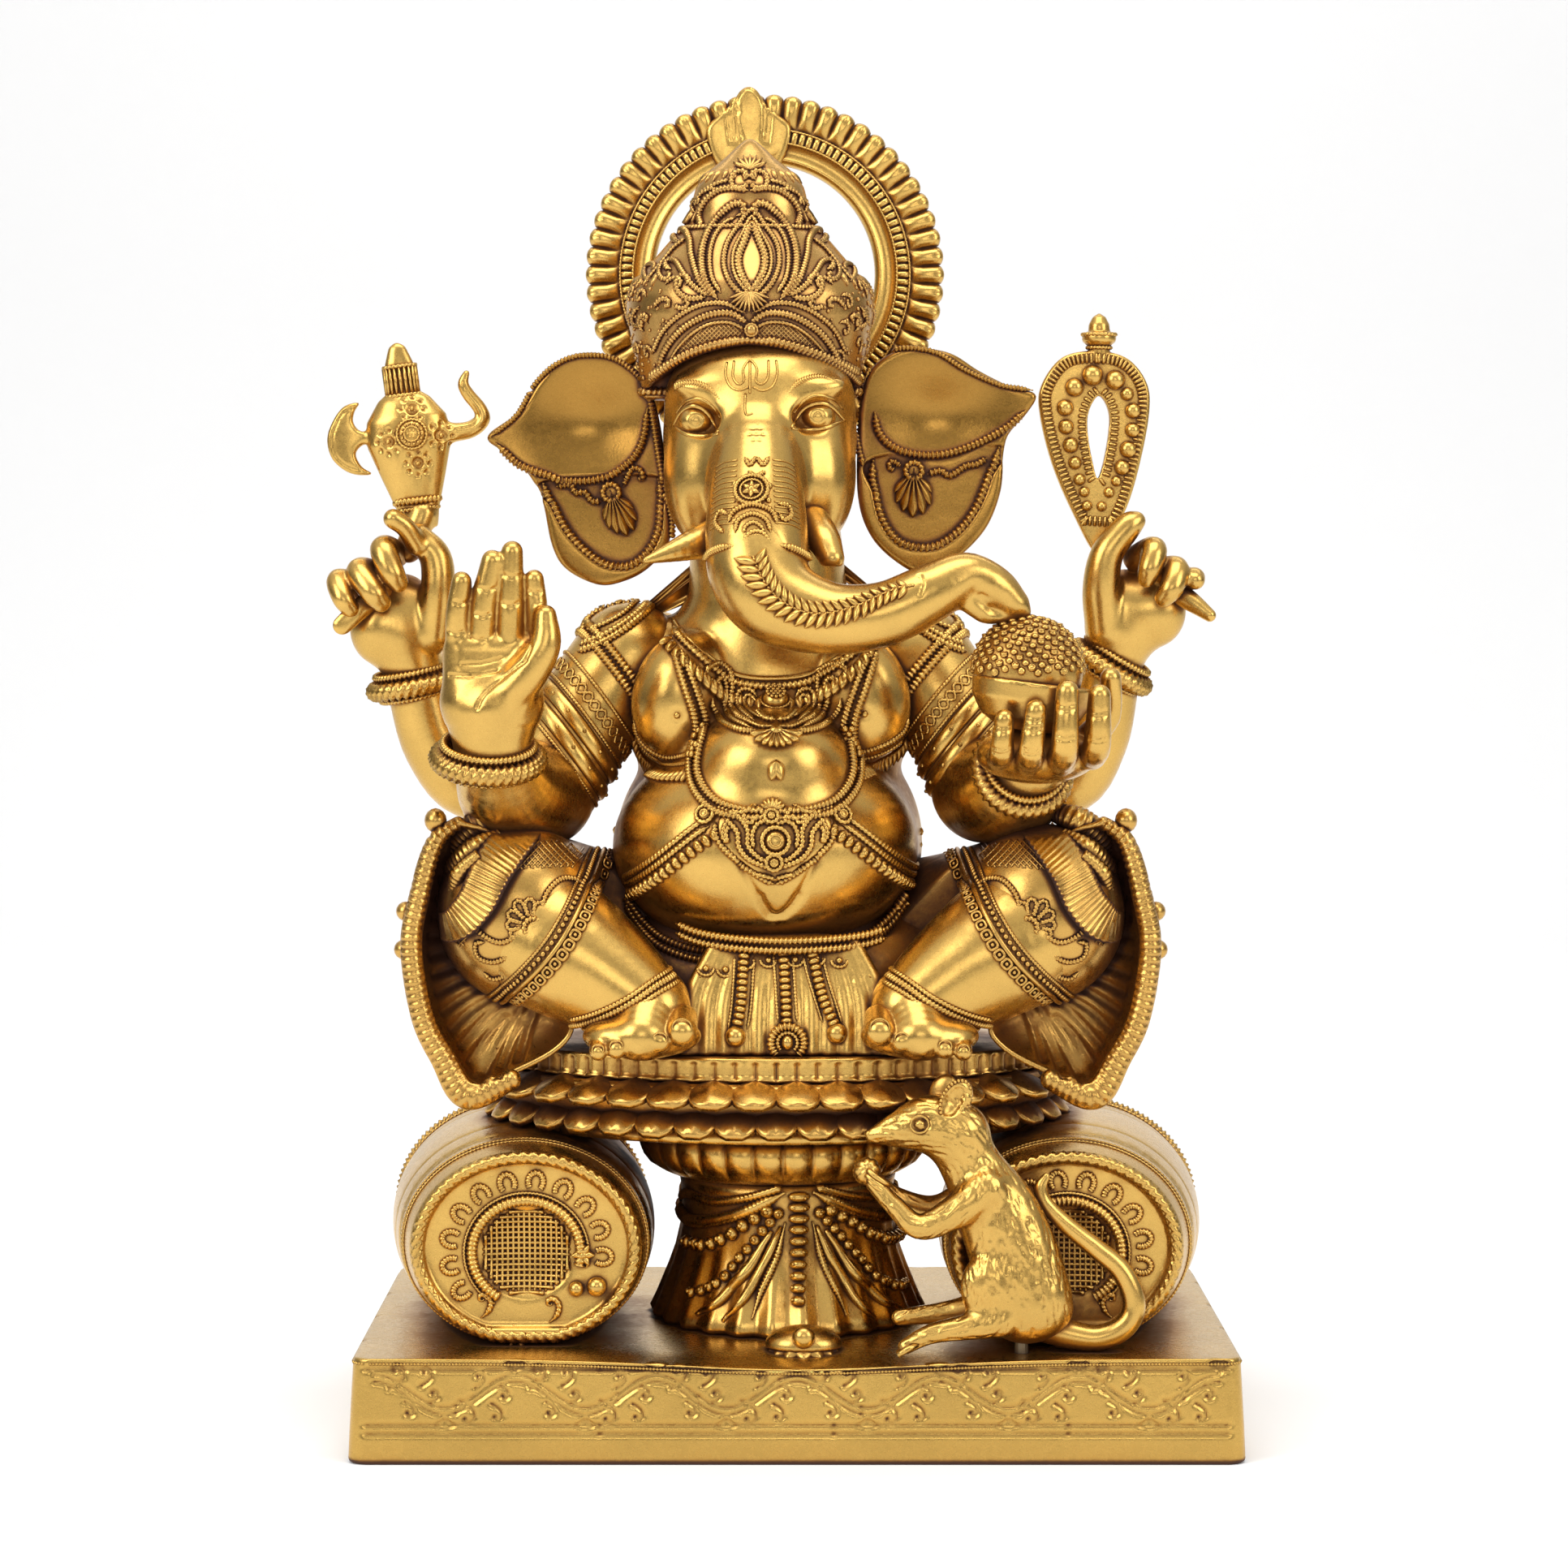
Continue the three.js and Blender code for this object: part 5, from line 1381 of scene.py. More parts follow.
# ---------------------------------------------------------------- arms
UPPER = {"right": [(-76, 0, 346), (-98, -8, 316), (-113, -18, 290)], "left": [(54, 0, 346), (74, -8, 316), (85, -18, 291)]}
FOREARM = {
    "right": [(-116, -20, 286), (-127, -48, 288), (-132, -72, 304)],
    "left": [(86, -20, 288), (96, -46, 290), (103, -64, 301)],
}
for side, sign in (("right", -1), ("left", 1)):
    points = np.array(UPPER[side], float)
    arm = Clay(np.min(points, 0) - 32, np.max(points, 0) + 32, 1.1)
    arm.limb(points, [26, 25, 24])
    arm_shell = arm.soften(1).shell()
    skin = Skin(arm_shell)
    way = unit(points[2] - points[0])
    lean = unit(way + np.array([sign * 0.42, 0.1, 0.1]))
    shells = [arm_shell]
    for share, r, pitch, turns in ((0.10, 2.3, 2.1, 0), (0.17, 2.3, 2.1, 0), (0.34, 1.0, 1.7, 1), (0.52, 1.0, 1.7, 1), (0.60, 3.6, 60, 0),
                                   (0.73, 3.6, 60, 0), (0.82, 1.0, 1.7, 1)):
        centre = points[0] + (points[2] - points[0]) * share
        path, n = skin.band(centre, lean, 0.2)
        at, nn = resampled(np.concatenate([path, path[:1]]), pitch if pitch < 10 else 2, np.concatenate([n, n[:1]]))
        if pitch > 10:
            shells.append(tube(path, r, 9, n, True, flat=0.42))
            at, nn = resampled(np.concatenate([path, path[:1]]), 12, np.concatenate([n, n[:1]]))
            shells.append(copies(BEAD, at + nn * 1.4, 1.0))
        else:
            shells.append(rope(path, r, pitch, 0.2, turns, n, True, sides=8, flat=0.9))
    for share in (0.43,):
        centre = points[0] + (points[2] - points[0]) * share
        path, n = skin.band(centre, lean, 0.0, 120)
        wave = np.sin(np.arange(120) * TAU / 120 * 15)[:, None]
        for phase in (1, -1):
            at, nn = skin.round(centre, lean, path + lean * wave * 2.4 * phase, 0.2)
            shells.append(rope(at, 0.75, 1.5, 0.15, 0, nn, True, sides=6))
    skin_both = Skin(arm_shell, torso_shell)
    for line, r in (
        ([(-98.8, 349.7), (-89.2, 353.4), (-80.4, 358.3), (-71.5, 364.9), (-63.5, 373.4)], 2.3),
        ([(-98.1, 352.7), (-89.2, 356.2), (-80.4, 361.1), (-72.4, 366.9), (-65.3, 374.2)], 2.3),
        ([(-95.2, 359.5), (-87.7, 362), (-78.8, 366.8), (-71.7, 373.7)], 1.6),
        ([(-97.5, 358.2), (-94.1, 365.2), (-87.5, 373.7), (-79, 380.8), (-68.3, 386.6)], 2.3),
    ):
        shells.append(laid(skin_both, line if side == "right" else mirrored(line, -11)[::-1], r, 2.1, lift=0.5))
    piece(f"{side}_upper_arm", shells, cast)

    points = FOREARM[side]
    arm = Clay(np.min(points, 0) - 32, np.max(points, 0) + 32, 1.2)
    arm.limb(points, [25, 24, 18])
    piece(f"{side}_forearm", [arm.soften(1).shell()], smooth_cast)

REAR = {
    "right": [(-66, 24, 346), (-110, 28, 313), (-146, 26, 288), (-166, 21, 305), (-176, 17, 338)],
    "left": [(44, 24, 346), (88, 28, 313), (122, 26, 290), (138, 22, 308), (145, 18, 340)],
}
for side in ("right", "left"):
    points = REAR[side]
    arm = Clay(np.min(points, 0) - 26, np.max(points, 0) + 26, 1.2)
    arm.limb(points, [22, 20, 17.5, 15.5, 14])
    arm_shell = arm.soften(1).shell()
    skin = Skin(arm_shell)
    start, end = np.array(points[1], float), np.array(points[2], float)
    shells = [arm_shell]
    for share, r, pitch in ((-0.25, 1.5, 2.0), (-0.1, 2.4, 2.6), (0.08, 1.5, 2.0)):
        path, n = skin.band(start + (end - start) * share, end - start, 0.2)
        shells.append(rope(path, r, pitch, 0.2, 1, n, True, sides=8))
    piece(f"rear_{side}_arm", shells, smooth_cast)


def bangle(node, centre, axis, major, minor, thin_gap):
    """A fat slanted rope with a thin milled ring above it."""
    centre, axis = np.array(centre, float), unit(axis)
    a = unit(np.cross(axis, [0, 1, 0.01]))
    b = np.cross(axis, a)
    angle = np.linspace(0, TAU, 97)[:-1, None]
    out = np.cos(angle) * a + np.sin(angle) * b
    shells = [
        rope(centre + out * major, minor, 3.4, 0.17, 3, out, True, sides=12),
        rope(centre + axis * thin_gap + out * (major - 1.6), 2.0, 2.0, 0.2, 1, out, True, sides=8),
        rope(centre - axis * thin_gap * 0.8 + out * (major - 2.0), 1.6, 2.0, 0.2, 1, out, True, sides=8),
    ]
    piece(node, shells, cast)


bangle("right_bangle", (-136, -75, 304), (0.05, -0.35, 1), 21.5, 5.2, 6.5)
bangle("left_bangle", (100, -64, 298), (0.2, -0.9, 0.5), 19, 5, 6)
bangle("rear_right_bangle", (-177, 18, 334), (-0.2, -0.1, 1), 17.5, 4.8, 6.2)
bangle("rear_left_bangle", (145, 17, 342), (0.5, -0.12, 0.85), 17.5, 4.8, 6.2)

# ---------------------------------------------------------------- hands


def digit(clay, points, radii, k=1.4):
    clay.limb(points, radii, k, 5)


hand = Clay([-166, -106, 304], [-98, -62, 406], 0.8)
hand.add(block((-155.5, -90, 322), (-112.5, -68, 361), 10))
hand.add(egg((-134, -78, 326), (20, 13, 14)), 8)
hand.limb([(-134, -76, 306), (-134, -78, 326)], [17, 19], 8)
digit(hand, [(-148.5, -83, 354), (-148.5, -86, 368), (-146.5, -88, 382)], [5.6, 5.2, 4.4])
digit(hand, [(-138, -84, 357), (-136.5, -86, 374), (-133, -88, 391)], [6, 5.8, 4.8])
digit(hand, [(-125.5, -84, 358), (-125, -86, 376), (-124.3, -88, 395)], [6, 5.6, 4.7])
digit(hand, [(-114.5, -82, 356), (-114, -84, 370), (-114.8, -86, 383)], [5.4, 5, 4.2])
hand.limb([(-130, -87, 328), (-119, -90, 340), (-110, -92, 354), (-109.5, -92, 367)], [9.5, 9, 7, 4.8], 4)
right_hand_shell = hand.soften(1).shell()
skin = Skin(right_hand_shell)
creases = []
for line in (
    [(-149.2, 372.9), (-146.1, 372.3), (-143.2, 373.2)], [(-152.4, 360.3), (-149.2, 359.3), (-146.1, 359.9)],
    [(-138.5, 379), (-135.1, 378.1), (-131.6, 379)], [(-140, 367.6), (-137.1, 366.8), (-134.1, 367.7)],
    [(-128.1, 384.9), (-124.4, 383.9), (-120.3, 384.8)], [(-128.4, 372.3), (-125.2, 371.6), (-121.8, 372.3)],
    [(-116.6, 377.5), (-114, 376.9), (-111.7, 377.5)], [(-142.7, 357.3), (-139.8, 356.5), (-136.4, 357.1)],
    [(-146.2, 345.7), (-137.8, 346.3), (-129.1, 348.3)], [(-152.3, 340.8), (-140.7, 341), (-130.3, 343.1)],
    [(-139.3, 326.9), (-136.4, 332.4), (-129.1, 339.3), (-118.1, 347.4)], [(-118.1, 348), (-115.8, 353.8), (-117.6, 358.8)],
):
    creases.append(skin.front(line, 0, 0.5)[0])
engrave(right_hand_shell, creases, 0.75, 0.8)
piece("right_hand", [right_hand_shell], smooth_cast)

hand = Clay([72, -128, 292], [142, -56, 348], 0.8)
hand.add(egg((106, -78, 306), (27, 24, 13)))
for path, r in (
    ([(88, -94, 305), (88.5, -110, 309), (89.5, -113, 323)], 5.0),
    ([(101, -97, 304), (101, -114, 309), (103, -117, 327)], 5.4),
    ([(115, -96, 304), (115.5, -114, 311), (116.4, -117, 335)], 5.8),
    ([(129, -90, 306), (130, -107, 312), (130.7, -111, 333)], 5.8),
):
    digit(hand, path, [r * 1.1, r * 1.05, r * 0.85], 2)
hand.limb([(128, -78, 312), (138, -84, 326), (137, -90, 340)], [7, 5.5, 4.6], 2)
left_hand_shell = hand.soften(1).shell()
skin = Skin(left_hand_shell)
creases = []
for x, z in ((88.5, 318), (88, 308), (102, 318), (101, 308), (102.6, 322), (115.4, 327), (115.4, 314), (129.8, 324), (129.8, 313)):
    for gap in (0, 1.9):
        creases.append(skin.front([(x - 3.6, z + gap + 0.4), (x, z + gap - 0.4), (x + 3.6, z + gap + 0.4)], 0, 0.5)[0])
engrave(left_hand_shell, creases, 0.6, 0.6)
piece("left_hand", [left_hand_shell], smooth_cast)

fist = Clay([-218, -16, 330], [-156, 34, 420], 0.8)
fist.add(egg((-181, 14, 362), (17, 15, 23)))
fist.add(egg((-191, 10, 360), (14, 13, 17)), 6)
fist.limb([(-175, 17, 338), (-179, 15, 354)], [14, 15], 6)
fist.limb([(-166, 8, 358), (-164, 4, 376), (-165, 4, 392), (-173, 4, 402)], [9, 8, 7.4, 6], 4)
fist.limb([(-173, 0, 398), (-178, -4, 406), (-183.5, -6, 410)], [5, 4.6, 4.6], 2)
digit(fist, [(-184, 10, 394), (-188, -4, 396), (-184, -9, 386), (-181, -8, 381)], [6.5, 6.4, 5.8, 4.6])
digit(fist, [(-192, 10, 384), (-199, -2, 386), (-193, -9, 377), (-189, -8, 372)], [6.5, 6.4, 5.8, 4.6])
digit(fist, [(-200, 10, 378), (-209, 0, 382), (-206.5, -7, 374), (-203, -6, 369)], [6, 5.4, 5, 4.2])
piece("rear_right_hand", [fist.soften(1).shell()], smooth_cast)

fist = Clay([124, -16, 336], [196, 34, 418], 0.8)
fist.add(egg((151, 14, 366), (17, 15, 21)))
fist.add(egg((164, 10, 368), (15, 13, 17)), 6)
fist.limb([(145, 17, 342), (149, 15, 356)], [14, 15], 6)
fist.limb([(141, 6, 360), (139.5, 2, 378), (142, 0, 394), (151, 0, 406), (155, 0, 409)], [8.5, 8.6, 7.6, 6.4, 4.6], 4)
digit(fist, [(156, 8, 392), (163, -3, 396), (161, -8, 388), (159.5, -7, 383)], [6.2, 6.0, 5.4, 4.4])
digit(fist, [(163, 8, 384), (173, -2, 387), (171, -8, 379), (167.5, -7, 374)], [6.4, 6.2, 5.6, 4.4])
digit(fist, [(172, 8, 378), (181, 0, 383), (182, -4, 382)], [5.6, 5, 4.4])
piece("rear_left_hand", [fist.soften(1).shell()], smooth_cast)

# ---------------------------------------------------------------- emblems
axe = Clay([-222, -8, 352], [-136, 34, 494], 0.8)
body = lathe((-174, 15, 0), [(0, 406), (8, 406), (9.5, 414), (15, 431), (19.6, 446), (18.5, 457), (12, 466), (7.2, 469.5),
             (7.2, 477), (6.6, 478), (6.8, 482), (4, 490), (0, 493)], (1, 0.5))
axe.add(leaned(body, (-170, 417), 0.13))
BLADE = [(-200.4, 463.5), (-208, 461.5), (-213.4, 454), (-215.6, 446.2), (-213.6, 438), (-208, 432.5), (-201.8, 430.2),
         (-194.4, 430.6), (-199.6, 434), (-202.4, 440), (-198, 444.6), (-190, 445.4), (-190, 453.6), (-198.8, 450),
         (-203.4, 454), (-202.8, 459.5)]
axe.add(plate(BLADE, 15, 5, 1.8), 1)
axe.limb([(-160, 15, 449.5), (-150, 15, 451), (-144.2, 15, 455.6), (-145.6, 15, 461), (-150.5, 15, 467), (-153, 15, 472),
          (-151.4, 15, 477)], [4.4, 4, 3.6, 3.2, 3, 2.6, 1.6], 2)
axe.limb([(-172, 14, 412), (-178, 10, 396)], [7, 6.2], 1)
axe.limb([(-190, 4, 377), (-199, -2, 369), (-207, -6, 361.5)], [5.4, 5, 4.4], 1)
axe_shell = axe.soften(1).shell()
skin = Skin(axe_shell)
pits = []
FLOWERS = [(-175.9, 460.4), (-186.8, 445.2), (-162.7, 448.3), (-173.2, 435.4)]
for x, z in FLOWERS:
    for a in np.arange(8) * TAU / 8:
        spot = skin.hit([[x + 5.3 * math.cos(a), 0, z + 5.3 * math.sin(a)]], FRONT)[0]
        pits.append(np.concatenate([spot, spot + [[0.05, 0, 0]]]))
    a = np.linspace(0, TAU, 17)
    pits.append(skin.hit(np.stack([x + 1.9 * np.cos(a), 0 * a, z + 1.9 * np.sin(a)], 1), FRONT)[0])
engrave(axe_shell, pits, 0.95, 1.4)
rims = []
for line in (
    [(-201.5, 461), (-208, 458.5), (-211.6, 452), (-213.2, 446), (-211.4, 439), (-206.6, 434.6), (-201, 432.4)],
    [(-156, 451.2), (-148.6, 452.6), (-146, 456.6), (-148, 461.4), (-152, 467), (-153, 473)],
):
    rims.append(skin.front(line, 0, 0.5)[0])
engrave(axe_shell, rims, 0.6, 0.5)
shells = [axe_shell]
for x, z in FLOWERS:
    at, n = skin.hit([[x, 0, z]], FRONT)
    shells.append(copies(BEAD, at, 1.1))
(x, z), = [(-175.9, 448.7)]
at, n = skin.hit([[x, 0, z]], FRONT)
shells.append(copies(FINE_BEAD, at, [[6.6, 6.6, 2.4]], [axes_at(n[0])]))
shells.append(medallion(at[0] + n[0] * 0.6, n[0], 6.7, 0.9))
shells.append(medallion(at[0] + n[0] * 2.0, n[0], 3.4, 0.6))
seeds = np.array([[k * math.cos(q), k * math.sin(q)] for k, m in ((0, 1), (1.7, 6), (4.8, 14)) for q in np.arange(m) * TAU / m])
shells.append(copies(BEAD, on_plane(axes_at(n[0]), at[0] + n[0] * 1.9, seeds, 0.1), 0.7))
tilt = np.array([-math.sin(0.13), 0, math.cos(0.13)])
foot_of = np.array([-170 - 4 * math.cos(0.13), 15, 417 - 4 * math.sin(0.13)])
for height, r, thick in ((2.0, 9.8, 2.0), (-1.8, 9.2, 1.2), (50.6, 7.8, 1.2), (64.0, 7.4, 1.0)):
    a = np.linspace(0, TAU, 49)[:-1]
    across = np.array([math.cos(0.13), 0, math.sin(0.13)])
    loop = foot_of + tilt * height + r * (np.cos(a)[:, None] * across + 0.62 * np.sin(a)[:, None] * np.array([0, 1.0, 0]))
    shells.append(rope(loop, thick, 2.0, 0.2, 1, None, True, sides=8))
for a in np.arange(20) * TAU / 20:
    across = np.array([math.cos(0.13), 0, math.sin(0.13)])
    ray = 7.4 * math.cos(a) * across + 7.4 * 0.58 * math.sin(a) * np.array([0, 1.0, 0])
    shells.append(tube(foot_of + ray + tilt * np.array([[51.5], [57], [63.5]]), 0.9, 5))
piece("axe", shells, smooth_cast)

NOOSE_OUT = [(137.5, 487), (122, 484), (112.4, 471), (111.8, 458), (117.4, 435.5), (127, 413), (138.4, 393.5), (146, 404),
             (152.6, 417), (158, 436), (162, 458), (161, 472), (152, 483.5)]
NOOSE_SLOT = [(139, 466.5), (134.2, 459), (134, 448), (136.6, 434), (138.4, 428.5), (140.6, 434), (143.2, 448), (143.4, 459)]
noose = Clay([106, -14, 352], [196, 30, 512], 0.8)
noose.add(plate(NOOSE_OUT, 15, 7, 1.6))
noose.carve(plate(NOOSE_SLOT, 15, 30, 0.2))
noose.add(lathe((139, 15, 0), [(0, 482), (5, 482), (5, 489), (7.8, 491.5), (7.8, 495), (5, 496), (4.8, 499), (3, 502.5),
                (0, 504.5)]), 0.6)
noose.limb([(170, 4, 379), (180, -1, 372.5), (188.5, -5, 366)], [5.4, 4.6, 3], 1)
noose_shell = noose.shell()
skin = Skin(noose_shell)
shells = [noose_shell]
BALLS = [(495, 292, 28), (467, 353, 25), (470, 410, 23), (484, 465, 24), (497, 518, 20), (511, 568, 18), (525, 605, 16), (533, 647, 16),
         (549, 256, 32), (617, 270, 30), (653, 312, 20), (671, 362, 24), (670, 420, 23), (657, 478, 26), (639, 532, 24), (622, 573, 16),
         (600, 607, 16), (578, 649, 15)]
for cx, cy, r in BALLS:
    x, z, r = 52 + 0.15265 * cx, 514.8 - 0.15265 * cy, r * 0.1527
    at, n = skin.hit([[x, 0, z]], FRONT)
    shells.append(copies(FINE_BEAD, at, [[r, r, r * 0.9]], [axes_at(n[0])]))
outer = np.array(NOOSE_OUT[:9][::-1] + NOOSE_OUT[9:][::-1], float)
middle_of = np.array([137.0, 448])
ring = smooth_outline(NOOSE_OUT, 10)
ring = ring[ring[:, 1] > 404]
for line, inset, wide in ((ring, 3.4, 4.2), (smooth_outline(NOOSE_SLOT, 10), -2.6, 3.4)):
    for (x, z), heading in zip(line, np.gradient(line, axis=0)):
        pass
    around_line = resampled(np.stack([line[:, 0], np.zeros(len(line)), line[:, 1]], 1), 2.3)
    t = tangents(around_line)
    side_way = unit(np.cross(t, [0, 1.0, 0]))
    toward = unit((middle_of - around_line[:, [0, 2]]))
    flip_way = np.sign((side_way[:, [0, 2]] * toward).sum(1))[:, None]
    side_way = side_way * flip_way
    for p, w in zip(around_line, side_way):
        centre = p + w * inset
        bar = [centre[[0, 2]] - w[[0, 2]] * wide / 2, centre[[0, 2]] + w[[0, 2]] * wide / 2]
        path, n = skin.front(bar, 0.1, 0.6, smooth=False)
        if len(path) > 2 and abs(path[:, 1] - 11.5).max() < 2:
            shells.append(tube(path, 0.85, 5, n, flat=0.8))
for z, r in ((488.5, 5.4), (494.5, 7.6)):
    a = np.linspace(0, TAU, 41)[:-1]
    shells.append(rope(np.stack([139 + r * np.cos(a), 15 + r * np.sin(a), np.full(40, z)], 1), 1.0, 1.8, 0.2, 1, None, True, sides=7))
piece("noose", shells, cast)

# ---------------------------------------------------------------- the offering
bowl = Clay([72, -118, 314], [132, -62, 342], 0.9)
bowl_wall = lathe((102, -90, 0), [(0, 317), (12, 317), (21, 322), (26, 330), (27, 338), (24.5, 338.5), (0, 338.5)], (1, 0.86))
bowl.add(leaned(bowl_wall, (102, 328), -0.14))
piece("bowl", [bowl.shell()], smooth_cast)
heap = Clay([70, -116, 322], [134, -64, 372], 0.9)
heap.add(egg((101, -90, 343), (24, 20.5, 23.5)))
heap_shell = heap.shell()
skin = Skin(heap_shell)
shells = [heap_shell]
golden = math.pi * (3 - math.sqrt(5))
grains = 210
h = 1 - 1.06 * (np.arange(grains) + 0.5) / grains
rays = np.stack([np.sqrt(1 - h**2) * np.cos(golden * np.arange(grains)), np.sqrt(1 - h**2) * np.sin(golden * np.arange(grains)), h], 1)
rays = rays[rays[:, 2] > -0.02]
heap_middle = np.array([101, -90, 343.0])
at, n = skin.hit(heap_middle + rays * 45, -rays)
shells.append(copies(BEAD, at, [[1.9, 1.9, 1.3]], [axes_at(v, (0.1, 0.2, 1)) for v in n]))
for p, v in zip(at[24::2], n[24::2]):
    shells.append(medallion(p + v * 0.9, v, 1.35, 0.5, 5))
piece("sweets", shells, cast)

# ---------------------------------------------------------------- head

head = Clay([-72, -100, 378], [40, 46, 500], 0.85)
head.add(egg((-16.5, -10, 447), (44, 46, 45)))
head.add(egg((-16.5, -23, 465), (42, 34.5, 28)), 8)
head.add(egg((-16.5, -16, 424), (40, 40, 34)), 10)
for x in (-41, 8):
    head.add(egg((x, -33, 428), (18, 23, 31)), 8)
    head.add(egg((x + (1 if x < 0 else -1), -46, 466.5), (15, 7, 5), (0, 0.2 if x < 0 else -0.2, 0)), 7)
TRUNK = [(-17.8, -40, 455), (-17.8, -56, 438), (-17.8, -68, 419), (-17.6, -77, 401), (-16.6, -84, 386), (-9.5, -90, 374.8),
         (3, -94, 368.6), (18.4, -96, 365.6), (38.5, -97, 368), (58.5, -96, 377.2), (73.5, -94, 384.7), (86.5, -92, 380),
         (95, -91, 372.5)]
TRUNK_R = [15, 18.8, 21.2, 22.6, 22, 20.2, 17.5, 15.5, 14.2, 12.8, 10, 8.6, 6.4]
head.limb(TRUNK[:5], TRUNK_R[:5], 13)
head.soften(1)
skin_face = Skin(head.shell())
EYES = ((-44.8, 453.2), (9.4, 455.0))
depth = [skin_face.hit([[x, 0, z]], FRONT)[0][0][1] for x, z in EYES]
for (x, z), y in zip(EYES, depth):
    head.carve(egg((x, y - 4, z), (11.5, 9, 7.2), (0, 0.1 if x < 0 else -0.1, 0)), 3)
head.soften(1)
for (x, z), y in zip(EYES, depth):
    head.add(egg((x, y + 5.4, z), (7.6, 7.2, 6.4)), 0.4)
head_shell = head.shell()
skin_head = Skin(head_shell)
face = lambda pts, lift=0.0, step=0.8: skin_head.front(pts, lift, step)

grooves, marks = [], []
for line in (
    [(-30.9, 478.9), (-31.6, 473.8), (-29.5, 468.3), (-25.4, 466.3), (-21.4, 467.7)],
    [(-9.1, 479.7), (-8.6, 473.8), (-10.8, 468), (-15.2, 466.1), (-19.3, 467.7)],
    [(-27.8, 479.5), (-28.2, 472.4), (-25.8, 469), (-23.4, 470.7), (-23.7, 475.8), (-20.7, 479.9), (-17.6, 475.8), (-18, 470.4), (-15.2, 469), (-12.7, 472.4), (-12.5, 479.7)],
    [(-20.7, 479.5), (-20.7, 464.9)],
    [(-22.7, 464.9), (-22.6, 455.8), (-19.5, 455.8)],
):
    marks.append(line)
for k in range(13):
    drop = 13.5 * k * 0.17
    spread = 1 + 0.012 * k
    for line in ([(-35.5, 432), (-31.8, 434.2), (-26, 435.0)], [(-10.5, 435.2), (-4.6, 434.4), (-0.8, 432.4)]):
        marks.append([(-17.8 + (x + 17.8) * spread, z - drop) for x, z in line])
dots = [(0, 0)] + [(2.9 * math.cos(a), 2.9 * math.sin(a)) for a in np.arange(6) * TAU / 6]
pits = [face([(-17.8 + x, 446.6 + z), (-17.7 + x, 446.6 + z)], 0, 0.05)[0] for x, z in dots]
for x, z in EYES:
    a = np.linspace(0, TAU, 25)
    for r in (2.2, 0.3):
        at = skin_head.hit(np.stack([x + r * np.cos(a), np.zeros(25), z + r * np.sin(a)], 1), FRONT)[0]
        grooves.append(at)
        pits.append(at)
engrave(head_shell, pits, 0.75, 0.6)

shells = [head_shell]
for line in marks:
    path, n = face(line, 0.05)
    shells.append(tube(path, 0.52, 5, n))
for line, r in (
    ([(-56, 467.3), (-50.6, 469.7), (-44.1, 469.7), (-37.7, 466.3), (-31.9, 459.8)], 1.7),
    ([(-4.7, 462.6), (-0.6, 468.7), (5.5, 472.1), (12.6, 472.7), (19.8, 469)], 1.7),
):
    path, n = face(line, -0.2)
    shells.append(rope(path, r, 1.25, 0.25, 0, n, sides=8, flat=0.6, taper=0.3))
for line, r in (
    ([(-55, 451.3), (-51.3, 457.1), (-45.3, 459.8), (-39.4, 456.1), (-34.6, 447.6)], 1.35),
    ([(-54.3, 450.7), (-49.9, 447.6), (-43.8, 446.2), (-34.6, 446.9)], 1.1),
    ([(-54, 456.4), (-49.6, 461.4), (-43.8, 462.9), (-37.7, 459.8), (-33.9, 454.4)], 0.8),
    ([(-2.3, 449.6), (2.1, 457.5), (8.9, 460.9), (15.3, 459.5), (21.5, 453.4)], 1.35),
    ([(-2, 449.3), (5.1, 449), (12.6, 450), (21.1, 453.4)], 1.1),
    ([(-1.3, 456.4), (3.4, 462), (9.4, 464.3), (16.7, 462.6), (20.8, 458.5)], 0.8),
):
    path, n = face(line, 0.0)
    shells.append(tube(path, r * (0.35 + 0.65 * np.sin(np.pi * np.linspace(0.05, 0.95, len(path)))), 7, n))

strip = lambda pts, lift=0.4: face(pts, lift)
for line, r, pitch in (
    ([(-40.1, 391.6), (-36.8, 394.9), (-30.9, 396.9), (-24.1, 397.6)], 1.5, 1.5),
    ([(-11, 397.9), (-5, 397.3), (0.4, 395.2), (5.7, 391.9)], 1.5, 1.5),
    ([(-29.9, 407.4), (-26.9, 412.7), (-19.3, 415.4), (-11.4, 412.7), (-8.4, 407)], 1.3, 1.5),
    ([(-26.9, 403.2), (-25.2, 408.7), (-19.3, 411.4), (-13.4, 408.7), (-11.4, 403.2)], 1.1, 1.5),
    ([(-23.2, 402.6), (-22.2, 406), (-18.8, 407.7), (-15.4, 405.7), (-14.4, 402.6)], 0.9, 1.5),
    ([(-31.9, 403.2), (-35.3, 407.4), (-33.3, 412.4), (-29.9, 411.1)], 1.0, 1.5),
    ([(-8.4, 415.8), (-4, 414.8), (-2.6, 410.7), (-5.8, 408.7), (-8, 411.7)], 1.1, 1.5),
    ([(-22.7, 436.1), (-20.5, 432.7), (-17.7, 435.7), (-14.8, 432.7), (-12.1, 436.4)], 0.9, 1.5),
    ([(-21.2, 430), (-17.7, 427.6), (-13.8, 430)], 0.9, 1.5),
):
    path, n = strip(line)
    shells.append(rope(path, r * 1.3, pitch, 0.2, 0, n, sides=7, flat=0.95, taper=0.08))
for (x, z), r in (([(-19.8, 421.9)][0], 7.2), ([(-17.5, 398.6)][0], 5.4)):
    at, n = skin_head.hit([[x, 0, z]], FRONT)
    shells.append(medallion(at[0] + n[0] * 0.4, n[0], r, 1.2))
    shells.append(medallion(at[0] + n[0] * 0.6, n[0], r * 0.68, 0.7, 1.3))
    shells += rosette(at[0] + n[0] * 0.5, n[0], r * 0.6, 6)
